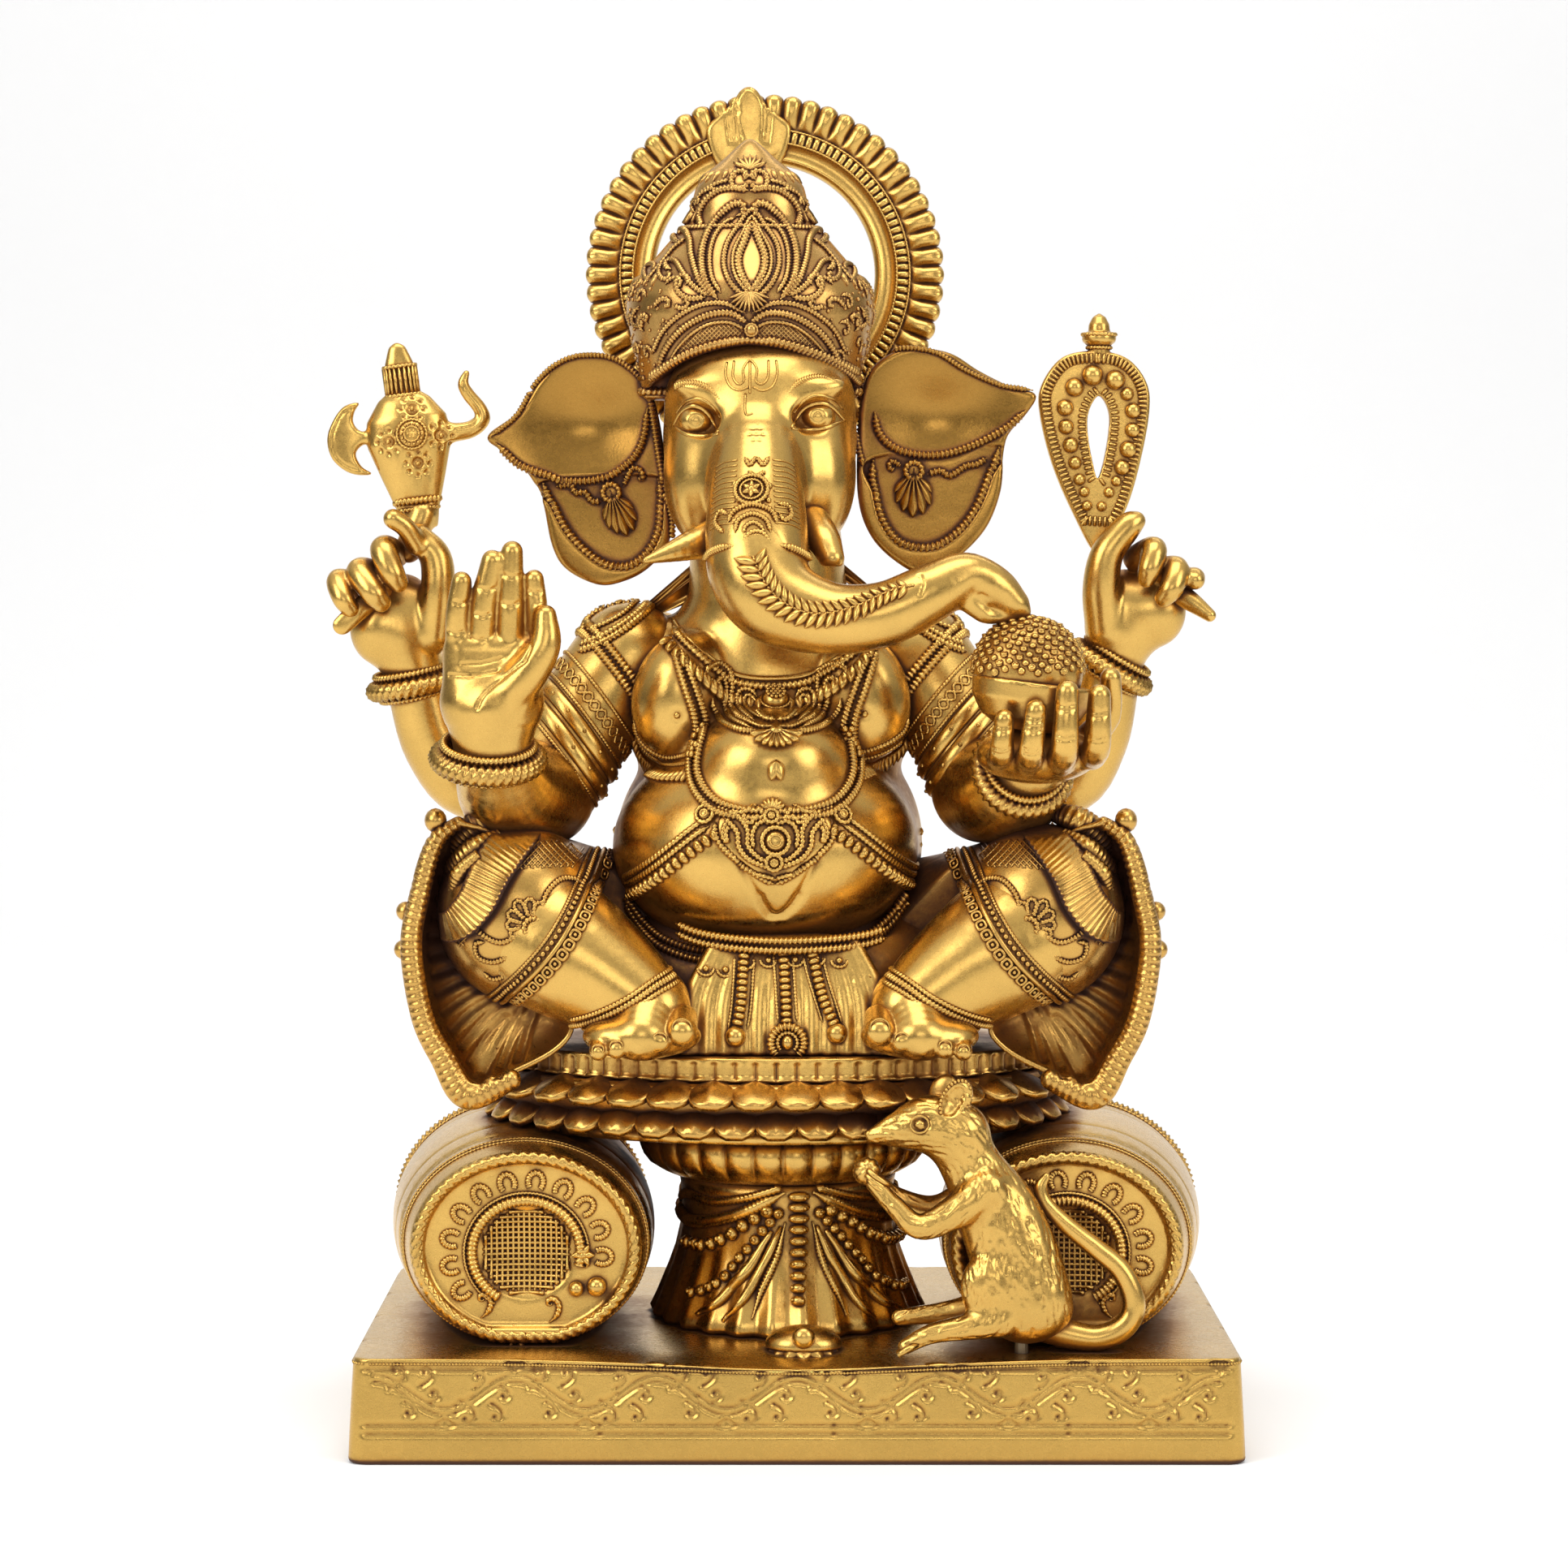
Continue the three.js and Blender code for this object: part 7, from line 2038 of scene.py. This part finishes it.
shoe = horseshoe(4.1, 1.7)
for side, sign in (("right", -1), ("left", 1)):
    barrel = Clay([sign * 126 - 64, -97, 44], [sign * 126 + 64, 97, 144], 1.25)

    def roll(x, y, z, sign=sign):
        rho = np.sqrt((x - bolster_x(y, sign)) ** 2 + ((z - BOLSTER_Z) / SQUASH) ** 2) - bolster_radius(y)
        flat = abs(y) - 92
        a, b = np.maximum(rho * 0.9 + 3, 0), np.maximum(flat + 3, 0)
        body = np.sqrt(a**2 + b**2) + np.minimum(np.maximum(rho * 0.9 + 3, flat + 3), 0) - 3
        return np.maximum(body, 46.6 - z)

    barrel.add((np.array([sign * 126 - 62, -95, 45]), np.array([sign * 126 + 62, 95, 142]), roll))
    shells = []
    for end in (-1, 1):
        y = 92.0 * end
        cx = bolster_x(y, sign)

        def panel(x, yy, z, cx=cx, y=y, end=end):
            rho = np.sqrt((x - cx) ** 2 + ((z - BOLSTER_Z) / SQUASH) ** 2)
            return np.maximum(np.maximum(rho - 45, (y - 3.5 * end - yy) * end), 54 - z)

        barrel.carve((np.array([cx - 46, y - 6, 52]), np.array([cx + 46, y + 6, 130]), panel), 1.5)
        disc = np.array([cx, y - 4 * end, BOLSTER_Z - 2])
        barrel.carve(egg(disc + [0, 1.5 * end, 0], (21, 7, 20)), 2)
        border, out = bolster_loop(y - 1.5 * end, sign, 0.945, 0, 150, 50.0)
        shells.append(rope(border, 3.1, 4.4, 0.20, 3 * sign, out, sides=10))
        face = axes_at([0, end, 0])
        a = np.linspace(-0.08, 1.33, 60) * np.pi if sign < 0 else np.linspace(-0.33, 1.08, 60) * np.pi
        ring = disc + np.stack([np.cos(a) * 24, np.full(60, 1.2 * end), np.sin(a) * 23], 1)
        shells.append(rope(ring, 2.7, 2.1, 0.13, 0, np.array([[0, end, 0.0]] * 60), sides=10))
        shells.append(rope(ring + unit(ring - disc) * 3.4, 0.8, 1.6, 0.25, 1, sides=6))
        for k, b in enumerate(np.linspace(-0.02, 1.18, 11) * np.pi):
            b = b if sign < 0 else np.pi - b
            out = np.array([math.cos(b), 0, math.sin(b)])
            spot = disc + out * [33.5, 0, 31.5] + [0, 0.6 * end, 0]
            axes = np.stack([np.cross(out, [0, end, 0.0]), out, [0, end, 0.0]], -1)
            shells.append(copies(shoe, [spot], 1.0, [axes]))
        for k in np.arange(-18, 19, 2.4):
            reach = math.sqrt(max(19.5**2 - k * k, 4))
            deep = disc[1] - end * (4.7 - 3.5 * (k / 20) ** 2)
            for p, q in (((k, -reach), (k, reach)), ((-reach, k), (reach, k))):
                line = np.linspace([cx + p[0], deep, disc[2] + p[1]], [cx + q[0], deep, disc[2] + q[1]], 12)
                bow = np.linspace(-1, 1, 12) ** 2
                line[:, 1] += end * 3.2 * bow
                shells.append(tube(line, 0.75, 5))
        flower = disc + [-sign * 25, 1.8 * end, -1]
        petals = [leaf(5.2, 3.4, 1.2, 0.6)] * 6
        for k, petal in enumerate(petals):
            b = TAU * k / 6
            out = np.array([math.cos(b), 0, math.sin(b)])
            axes = np.stack([np.cross(out, [0, end, 0.0]), out, [0, end, 0.0]], -1)
            shells.append(copies(petal, [flower], 1.0, [axes]))
        shells.append(copies(FINE_BEAD, [flower, disc + [-sign * 22, 2 * end, -16], disc + [-sign * 31, 2 * end, -15]], [[2], [3.4], [4.4]]))
        for x, z, curl in ((-20, -29, 1), (-6, -32, -1), (10, -31, 1)):
            flat = spiral((x, z), 0.6 * curl, 26, 1.25 * curl)
            path = disc + np.stack([flat[:, 0] * -sign, np.full(len(flat), 1.0 * end), flat[:, 1]], 1)
            shells.append(rope(path, 1.5, 1.8, 0.15, 1, sides=7, taper=0.25))
    for y, r, pitch in ((-74, 0.8, 1.8), (-70, 0.8, 1.8), (48, 1.3, 2.2), (52.5, 2.6, 2.6), (57, 1.3, 2.2)):
        path, out = bolster_loop(y, sign, 1.0, r * 0.2, 170)
        shells.append(rope(path, r, pitch, 0.2, 1, out, sides=7))
    shell = barrel.soften(1).shell()
    grooves = []
    for y in (-62, -58.5, -40, 20, 36, 70):
        path, _ = bolster_loop(y, sign, 1.0, 0, 200)
        grooves.append(path[path[:, 2] > 50])
    engrave(shell, grooves, 1.1, 0.7)
    piece(f"bolster_{side}", [shell, *shells], cast)

# ---------------------------------------------------------------- pedestal, capital and lotus seat
fold = lambda a, r, z: 1.4 * np.cos(26 * a) * np.clip((96 - z) / 40, 0, 1)
ped_profile = [(0, 46.6), (61, 46.6), (62, 49), (59.5, 54), (57, 60), (54, 68), (51, 77), (49, 87), (48.4, 97), (49, 106),
               (50, 111.8), (0, 111.8)]
pedestal = turned_mesh((-4, 0), ped_profile, (1, 1.25), 320, fold)
skin_pedestal = Skin(pedestal)
shells = [pedestal]


def laid_on(skin, xz, toward, lift, step=1.0, per=8):
    xz = spline(np.asarray(xz, float), per)
    path = resampled(np.stack([xz[:, 0], np.zeros(len(xz)), xz[:, 1]], 1), step)
    at, n = skin.hit(path, [0, toward, 0])
    return at + n * lift, n


def ringed_beads(path, normals, r, spacing):
    """Beads, each with a sunk ring round a smaller bead on its face."""
    at, n = resampled(path, spacing, normals)
    a = unit(np.cross(n, [0.31, 0.17, 0.93]))
    axes = np.stack([a, np.cross(n, a), n], -1)
    return [
        copies(BEAD, at, [r, r, r * 0.75], axes),
        copies(BEAD, at + n * r * 0.62, [r * 0.42, r * 0.42, r * 0.4], axes),
    ]


for toward in (1, -1):
    for m in (-1, 1):
        s = lambda pts, m=m: [(1 + m * x, z) for x, z in pts]
        path, n = laid_on(skin_pedestal, s([(6, 110), (22, 101), (36, 95), (49, 92), (55, 96)]), toward, 1.4)
        shells.append(rope(path, 3.0, 2.2, 0.12, 0, n, sides=9, flat=0.8, taper=0.1))
        path, n = laid_on(skin_pedestal, s([(8, 112), (22, 107), (38, 103), (50, 104), (54, 98)]), toward, 1.0)
        shells.append(rope(path, 2.2, 2.2, 0.15, 0, n, sides=8, flat=0.8, taper=0.1))
        path, n = laid_on(skin_pedestal, s([(14, 101), (23, 95), (32, 88), (41, 83), (50, 82)]), toward, 1.2)
        shells += ringed_beads(path, n, 3.3, 6.9)
        path, n = laid_on(skin_pedestal, s([(9, 100), (16, 92), (24, 82), (32, 72), (40, 65), (48, 62)]), toward, 1.0)
        shells += ringed_beads(path, n, 2.7, 5.2)
        path, n = laid_on(skin_pedestal, s([(6, 96), (10, 80), (17, 64), (21, 54)]), toward, 0.8)
        shells.append(rope(path, 1.9, 1.7, 0.2, 0, n, sides=7, taper=0.3))
        path, n = laid_on(skin_pedestal, s([(8, 94), (15, 78), (25, 62), (34, 52)]), toward, 0.2)
        shells.append(tube(path, 2.2 * np.sin(np.pi * np.linspace(0.08, 0.92, len(path))) + 0.4, 8, n))
        path, n = laid_on(skin_pedestal, s([(12, 92), (22, 76), (34, 62), (46, 53)]), toward, 0.2)
        shells.append(tube(path, 2.6 * np.sin(np.pi * np.linspace(0.08, 0.92, len(path))) + 0.4, 8, n))
    for k, z in enumerate(np.linspace(108, 62, 10)):
        at, n = skin_pedestal.hit([[1, 0, z]], [0, toward, 0])
        wide = 5.2 - 0.16 * k
        shells.append(copies(FINE_BEAD, at + n * 1.2, [[wide, 2.35, 2.6]], [axes_at(n[0])]))
        for dx in (-wide * 0.5, wide * 0.5):
            shells.append(copies(BEAD, at + n * 3.2 + [dx, 0, 0], 0.9))
piece("pedestal", shells, cast)

flutes = lambda a, r, z: 2.6 * (abs(np.cos(15 * a)) ** 0.6 - 0.8) * np.clip((z - 113) / 5, 0, 1) * (r > 5)
cap_profile = [(0, 112.2), (53, 112.2), (57, 114), (61.5, 117), (64.5, 121), (65.8, 125), (65.8, 129), (64, 132), (61, 133.6), (0, 133.6)]
piece("pedestal_capital", [turned_mesh((-6, 0), cap_profile, (1, 1.15), 480, flutes)], cast)

ribs = lambda a, r, z: 1.0 * (abs(np.cos(38 * a)) ** 0.5 - 0.8) * (r > 100)
ring_profile = [(0, 134), (117, 134), (119, 134.6), (119.6, 136.8), (119, 139), (117, 139.6), (0, 139.6)]
piece("seat_ring", [turned_mesh((-9, 0), ring_profile, (1, 0.73), 720, ribs)], cast)

DEPTH = 0.73
dish_profile = [(0, 140), (112, 140), (119, 142), (126, 145.5), (131, 150), (134, 155), (134, 160), (131, 161.6), (0, 161.6)]
shells = [turned_mesh((-9, 0), dish_profile, (1, DEPTH), 360)]


def around_seat(count, radius, z, turn=0.0):
    """Evenly spaced places round the oval seat, with the way out at each."""
    fine = np.linspace(0, TAU, 2001)
    loop = np.stack([radius * np.cos(fine), radius * DEPTH * np.sin(fine), np.zeros(2001)], 1)
    s = along(loop)
    at = (np.arange(count) + turn) / count * s[-1]
    a = np.interp(at, s, fine)
    place = np.stack([-9 + radius * np.cos(a), radius * DEPTH * np.sin(a), np.full(count, float(z))], 1)
    out = unit(np.stack([np.cos(a) * DEPTH, np.sin(a), np.zeros(count)], 1))
    return place, out


def skirt(shape, count, radius, z, lean, turn=0.0):
    """Petals round the seat. Their tips point outwards, tipped down by lean."""
    place, out = around_seat(count, radius, z, turn)
    up = np.array([0, 0, 1.0])
    tip = out * math.cos(lean) - up * math.sin(lean)
    face = out * math.sin(lean) + up * math.cos(lean)
    axes = np.stack([np.cross(tip, face), tip, face], -1)
    return copies(shape, place, 1.0, axes)


shells.append(skirt(leaf(21, 21.5, 2.8, -1.2, 2.6, 0.8, tip=1.0, rows=14, cols=13, blunt=0.34), 38, 123, 161, 0.34))
shells.append(skirt(leaf(22, 20.5, 2.6, -1.0, 2.4, 0.6, tip=1.0, rows=12, cols=11, blunt=0.34), 38, 116, 152, 0.6, 0.5))
piece("lotus_dish", shells, deep_cast)

rib = lambda a, r, z: 3.2 * (abs(np.cos(43 * a)) ** 0.45 - 0.75) * ((z > 163) & (z < 171.5) & (r > 100))
rim_profile = [(0, 162), (125, 162), (127.6, 162.6), (127.8, 163.6), (126.4, 164.2), (126.4, 166), (126.4, 168.6), (126.4, 170.6),
               (127.2, 171.6), (127, 172.6), (125, 173), (0, 173)]
piece("rim_plate", [turned_mesh((-9, 0), rim_profile, (1, DEPTH), 1040, rib)], cast)

# ---------------------------------------------------------------- plinth
HALF_X, HALF_Y, CORNER = 195.0, 125.0, 8.0


def plinth_loop():
    """The plinth's outline, anticlockwise seen from above, with finer steps along the front."""
    def run(a, b, step):
        n = max(int(np.hypot(*(np.array(b) - a)) / step), 2)
        return np.linspace(a, b, n, endpoint=False)

    def bend(cx, cy, start):
        a = np.linspace(start, start + np.pi / 2, 10, endpoint=False)
        return np.stack([cx + CORNER * np.cos(a), cy + CORNER * np.sin(a)], 1)

    x, y, c = HALF_X, HALF_Y, CORNER
    return np.concatenate([
        run((-x + c, -y), (x - c, -y), 0.8), bend(x - c, -y + c, -np.pi / 2),
        run((x, -y + c), (x, y - c), 1.1), bend(x - c, y - c, 0),
        run((x - c, y), (-x + c, y), 1.1), bend(-x + c, y - c, np.pi / 2),
        run((-x, y - c), (-x, -y + c), 1.1), bend(-x + c, -y + c, np.pi),
    ])


loop = plinth_loop()
mid_front = np.exp(-((loop[:, 0] / 75) ** 2)) * (loop[:, 1] < -110)
levels = [(0.94, 39), (0.955, 39), (0.96, 30), (0.96, 1.5), (0.962, 0), (0.992, 0), (0.998, 0.8), (1, 2)]
levels += [(1 - 0.012 * (z / 46) ** 1.2, z) for z in np.arange(3, 44.6, 0.85)]
levels += [(0.9878, 45), (0.9865, 45.6), (0.984, 45.95), (0.975, 46), (0.95, 46), (0.9, 46), (0.8, 46), (0.6, 46), (0.3, 46)]
rows = []
for share, z in levels:
    dip = 4.6 * mid_front * np.clip((z - 20) / 26, 0, 1) * np.clip((share - 0.86) / 0.1, 0, 1)
    rows.append(np.stack([loop[:, 0] * share, loop[:, 1] * share, z - dip], 1))
rows = np.array(rows)
count = len(loop)
i, j = np.meshgrid(np.arange(len(rows) - 1), np.arange(count), indexing="ij")
k = (j + 1) % count
quads = np.stack([i * count + j, i * count + k, (i + 1) * count + k, (i + 1) * count + j], -1).reshape(-1, 4)
co = np.concatenate([rows.reshape(-1, 3), [[0, 0, 39], [0, 0, 46]]])
j = np.arange(count)
k = (j + 1) % count
last = (len(rows) - 1) * count
tris = np.concatenate([np.stack([k, j, np.full(count, len(co) - 2)], 1), np.stack([last + j, last + k, np.full(count, len(co) - 1)], 1)])
slab = Shell(co, quads, tris)


def vine(width):
    """Flat lines of a running vine along a face this wide, centred on 0: its wave, its scrolls and its small fans."""
    lines, half = [], 30.5
    count = int((width - 10) // half)
    start = -count * half / 2
    x = np.linspace(start, -start, count * 14)
    phase = (x - start) / half * np.pi
    for gap in (-1.5, 1.5):
        lines.append(np.stack([x, 30.5 + 7.2 * np.cos(phase) + gap], 1))
    for k in range(count):
        mid, flip = start + half * (k + 0.5), 1 if k % 2 == 0 else -1
        for sx, sz, turn, length in ((-9, 3.0, 0.9, 26), (5, 4.6, 1.0, 20), (-2, -3.5, -1.0, 17), (9, -4.5, 1.0, 15)):
            line = spiral((sx, sz), 0.5 * turn, length, turn, 18)
            line[:, 1] *= flip
            lines.append(line * [1, 0.85] + [mid, 30.5])
        for a in np.linspace(-0.8, 0.8, 7):
            foot = np.array([start + half * (k + 1), 30.5 - flip * 10.5])
            way = np.array([math.sin(a), -flip * math.cos(a) * 0.8])
            lines.append(np.linspace(foot + way, foot + way * 5.0, 4))
    for z in (17.2, 13.6, 41.6):
        lines.append(np.stack([np.linspace(start - 4, -start + 4, 60), np.full(60, z)], 1))
    return lines


grooves = []
for width, out in ((2 * HALF_X, (0, -1)), (2 * HALF_Y, (1, 0)), (2 * HALF_X, (0, 1)), (2 * HALF_Y, (-1, 0))):
    side_way = np.array([-out[1], out[0]], float)
    reach = HALF_Y if out[0] == 0 else HALF_X
    for line in vine(width):
        lean = 1 - 0.012 * (np.clip(line[:, 1], 0, 46) / 46) ** 1.2
        ground = side_way * line[:, :1] + np.array(out, float) * (reach * lean)[:, None]
        path = np.column_stack([ground, line[:, 1]])
        for first in range(0, len(path) - 1, 16):
            grooves.append(path[first : first + 17])
engrave(slab, grooves, 1.05, 1.25)
edge_path = np.concatenate([rows[-10], rows[-10][:1]])
shells = [slab, rope(edge_path[::3], 0.75, 1.5, 0.35, 0, sides=5, closed=False)]
piece("plinth", shells, pale_cast, share=1.0, most=188000)

# lotus medallion at the foot of the drapery
shells = []
dome = egg((3, -98, 48), (17, 13, 8.5))
boss = Clay([-22, -116, 44], [28, -80, 62], 0.8)
boss.add(dome)
boss.keep_above(46.5)
shells.append(boss.shell())
for a in np.linspace(-1.15, 1.15, 7):
    way = unit([math.sin(a), -math.cos(a) * 0.8, -0.35])
    face = unit(np.array([math.sin(a) * 0.25, -0.35, 1.0]))
    face = unit(face - way * (face @ way))
    axes = np.stack([np.cross(way, face), way, face], -1)
    shells.append(copies(leaf(18, 11, 1.8, -3.0, 1.6, 0.7, tip=1.1), [[3, -97, 52.8]], 1.0, [axes]))
shells.append(copies(FINE_BEAD, [[3, -110, 53]], [[5, 4, 5]]))
piece("drapery_boss", shells, cast)

# ---------------------------------------------------------------- mouse
MY = -107.0
body = Clay([24, -128, 45], [124, -88, 172], 0.8)
body.limb([(100, MY, 70), (95, MY, 88), (88, MY, 106), (78, MY, 124), (70, MY, 138)], [20, 19.5, 18, 14, 12.5], flat=(1, 0.78))
body.limb([(70, MY, 142), (58, MY, 146), (46, MY, 144), (33, MY, 141.2)], [14, 13, 8.5, 3.4], 4, flat=(1, 0.9))
body.add(egg((100, MY, 64), (20, 13, 11)), 4)
body.add(egg((87, MY - 8, 76), (16, 9, 17.5), (0, 0.1, 0)), 2.5)
body.limb([(88, MY - 9, 62), (74, MY - 10, 59), (58, MY - 11, 56), (47, MY - 11, 50.5)], [8, 5.8, 4.4, 3.4], 3)
body.limb([(84, MY + 8, 64), (64, MY + 8, 62), (45, MY + 8, 60)], [8, 5, 3.6], 3)
body.limb([(82, MY - 8, 119), (68, MY - 11, 109), (53, MY - 12, 103), (42, MY - 9, 112), (33.5, MY - 6, 121)], [9, 7.4, 5.6, 4.4, 3.8], 3)
body.limb([(82, MY + 8, 119), (62, MY + 9, 108), (44, MY + 6, 113), (33, MY + 3, 122)], [8, 6, 4.6, 3.8], 3)
body.add(egg((69, MY - 6, 157.5), (7, 4, 10), (0, 0.55, 0.35)), 1.5)
body.carve(egg((67.5, MY - 9.5, 157.2), (4.4, 3, 7.2), (0, 0.55, 0.35)), 0.8)
body.add(egg((64, MY + 8, 159), (6.5, 3, 8.5), (0, 0.4, -0.3)), 1.5)
body.carve(egg((53, MY - 11.5, 147.6), (4.4, 2.4, 4)), 1)
body.add(egg((53, MY - 9.6, 147.4), (2.9, 2.6, 2.7)), 0.3)
body.keep_above(46.4)
mouse_shell = body.soften(1).shell()
skin_mouse = Skin(mouse_shell)
strokes = []
rng = np.random.default_rng(7)
flow = [((76, 150), (0.55, -1)), ((60, 147), (1, -0.1)), ((42, 142), (1, 0.12)), ((88, 128), (0.45, -1)), ((98, 104), (0.3, -1)),
        ((78, 100), (0.1, -1)), ((106, 80), (0.15, -1)), ((88, 78), (0.2, -1)), ((66, 108), (-1, -0.5)), ((45, 110), (-0.6, 1)),
        ((70, 58), (-1, -0.15)), ((72, 88), (0.05, -1))]
spots = np.array([f[0] for f in flow], float)
ways = unit(np.array([f[1] for f in flow], float))
for _ in range(1500):
    p = np.array([rng.uniform(28, 122), rng.uniform(50, 166)])
    w = np.exp(-((spots - p) ** 2).sum(1) / 220) + 1e-9
    way = unit((w[:, None] * ways).sum(0) / w.sum())
    way = np.array([way[0] * math.cos(t := rng.normal(0, 0.16)) - way[1] * math.sin(t), way[0] * math.sin(t) + way[1] * math.cos(t)])
    toward = 1 if rng.random() < 0.72 else -1
    line = np.array([[p[0] + way[0] * q, -107, p[1] + way[1] * q] for q in (0, 1.9, 3.8)])
    hits = [skin_mouse.tree.ray_cast(Vector((x, MY - 60 * toward, z)), Vector((0, toward, 0)))[0] for x, _, z in line]
    if all(h is not None for h in hits):
        strokes.append(np.array(hits, float))
engrave(mouse_shell, [s for s in strokes if np.ptp(s[:, 1]) < 4], 0.5, 0.42)
eye = np.array([53.0, MY - 11.0, 147.4])
a = np.linspace(0, TAU, 33)[:-1]
shells = [mouse_shell, tube(eye + np.stack([4.0 * np.cos(a), 0.35 * np.cos(a) - 0.2, 3.7 * np.sin(a)], 1), 0.55, 6, closed=True)]
rim_at = np.array([68.6, MY - 8.2, 157.6])
m = turned((0, 0.55, 0.35))
rim = rim_at + np.stack([6.2 * np.cos(a), np.full(32, 0.0), 9.2 * np.sin(a)], 1) @ m.T
shells.append(beads(rim, 0.85, 1.75, closed=True))
shells.append(copies(BEAD, [[31, MY, 142]], [[1.6, 2.6, 1.6]]))
for dz, dx in ((0, 0), (2.2, 0.6), (-2.2, 0.8)):
    shells.append(tube(spline([(40 + dx, MY - 8, 118 + dz), (34 + dx, MY - 10, 122 + dz), (30 + dx, MY - 8, 125 + dz)], 4), 1.3, 6))
for dz in (-1.6, 0, 1.6):
    shells.append(tube(spline([(52, MY - 12 + dz, 52), (47, MY - 13 + dz * 1.6, 49.6), (43.5, MY - 13 + dz * 1.8, 47.6)], 4), 1.4, 6))
piece("mouse", shells, cast)

TAIL = [(110, -102, 56), (120, -103, 53), (132, -104, 51.8), (143, -105, 57), (147.3, -105, 67), (142, -105, 81), (130.4, -105, 91.4),
        (117.4, -104.5, 101.8), (108.6, -104, 110.9), (106.4, -104, 118), (109, -104, 123)]
tail = Clay([98, -116, 45], [156, -92, 130], 0.8)
tail.limb(TAIL, [7, 6.4, 5.8, 5.4, 5.1, 4.8, 4.4, 3.9, 3.4, 2.9, 1.8], 0, 8)
piece("mouse_tail", [tail.soften(1).shell()], smooth_cast)

sweet = Clay([20, -122, 116], [42, -98, 138], 0.6)
sweet.add(egg((30.4, MY - 3, 126), (6.2, 6.2, 6.2)))
ball_shell = sweet.shell()
shells = [ball_shell]
lines = []
for b in np.linspace(0, np.pi, 4, endpoint=False):
    ring = np.stack([6.2 * np.cos(a) * math.cos(b), 6.2 * np.cos(a) * math.sin(b), 6.2 * np.sin(a)], 1) @ turned((1.1, 0.3, 0)).T
    lines.append(np.array([30.4, MY - 3, 126]) + np.concatenate([ring, ring[:1]]))
engrave(ball_shell, lines, 0.7, 0.5)
piece("mouse_sweet", shells, cast)

# ---------------------------------------------------------------- hidden fixings keep their CAD shape
for name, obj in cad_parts.items():
    if not obj.hide_render:
        obj.data.materials.clear()
        obj.data.materials.append(old_cast if name == "halo_bracket" else steel)

# ---------------------------------------------------------------- camera, floor and light
camera = bpy.data.objects.new("camera", bpy.data.cameras.new("camera"))
bpy.context.scene.collection.objects.link(camera)
camera.location, camera.rotation_euler = (-0.0056, -2.0, 0.3936), (math.radians(87), 0, 0)
camera.data.lens, camera.data.sensor_width = 100.4, 36
bpy.context.scene.camera = camera

paper = bpy.data.materials.new("white_paper")
paper.use_nodes = True
paper_shader = paper.node_tree.nodes["Principled BSDF"]
paper_shader.inputs["Base Color"].default_value = (0.93, 0.93, 0.93, 1)
paper_shader.inputs["Roughness"].default_value = 0.85
paper_grain = node_of(paper.node_tree, "ShaderNodeTexNoise", {"Scale": 900.0})
paper_bump = node_of(
    paper.node_tree, "ShaderNodeBump", {"Height": paper_grain.outputs["Fac"], "Strength": 0.05, "Distance": 0.0002}
)
paper.node_tree.links.new(paper_bump.outputs[0], paper_shader.inputs["Normal"])
sweep = [(-5000, 0)] + [(2400 + 700 * math.sin(a), 700 - 700 * math.cos(a)) for a in np.linspace(0, math.pi / 2, 16)]
sweep.append((3100, 3600))
rows = np.array([[[x, y, z] for x in (-5000, 5000)] for y, z in sweep], float)
index = np.arange(len(sweep) - 1)[:, None] * 2 + np.array([[0, 1, 3, 2]])
floor = mesh_object("floor", Shell(rows.reshape(-1, 3), index), paper)


def softbox(name, place, size, power, aim=(0, 0, 0.32), colour=(1, 1, 1)):
    light = bpy.data.lights.new(name, "AREA")
    light.shape, light.size, light.size_y = "RECTANGLE", *size
    light.energy, light.color = power, colour
    obj = bpy.data.objects.new(name, light)
    bpy.context.scene.collection.objects.link(obj)
    obj.location = place
    obj.rotation_euler = (Vector(aim) - Vector(place)).to_track_quat("-Z", "Y").to_euler()


softbox("box_left", (-1.5, -1.3, 1.25), (1.1, 1.3), 19)
softbox("box_right", (1.6, -1.2, 1.1), (1.0, 1.3), 13)
softbox("box_top", (0, -0.5, 2.0), (1.6, 1.0), 16)
softbox("box_front", (0.1, -2.6, 0.9), (1.2, 0.7), 6)
softbox("box_backdrop", (0, 1.3, 2.6), (3.4, 0.8), 26, (0, 2.9, 0.7))
world = bpy.data.worlds.new("room")
bpy.context.scene.world = world
world.use_nodes = True
background = world.node_tree.nodes["Background"]
direction = node_of(world.node_tree, "ShaderNodeTexCoord").outputs["Generated"]
height = node_of(world.node_tree, "ShaderNodeSeparateXYZ", {"Vector": direction}).outputs["Z"]
sky = node_of(world.node_tree, "ShaderNodeValToRGB", {"Fac": height})
sky.color_ramp.elements[0].position, sky.color_ramp.elements[0].color = 0.0, (0.22, 0.21, 0.2, 1)
sky.color_ramp.elements[1].position, sky.color_ramp.elements[1].color = 0.75, (1, 1, 1, 1)
world.node_tree.links.new(sky.outputs[0], background.inputs["Color"])
background.inputs["Strength"].default_value = 0.75
bpy.context.scene.view_settings.view_transform = "Standard"
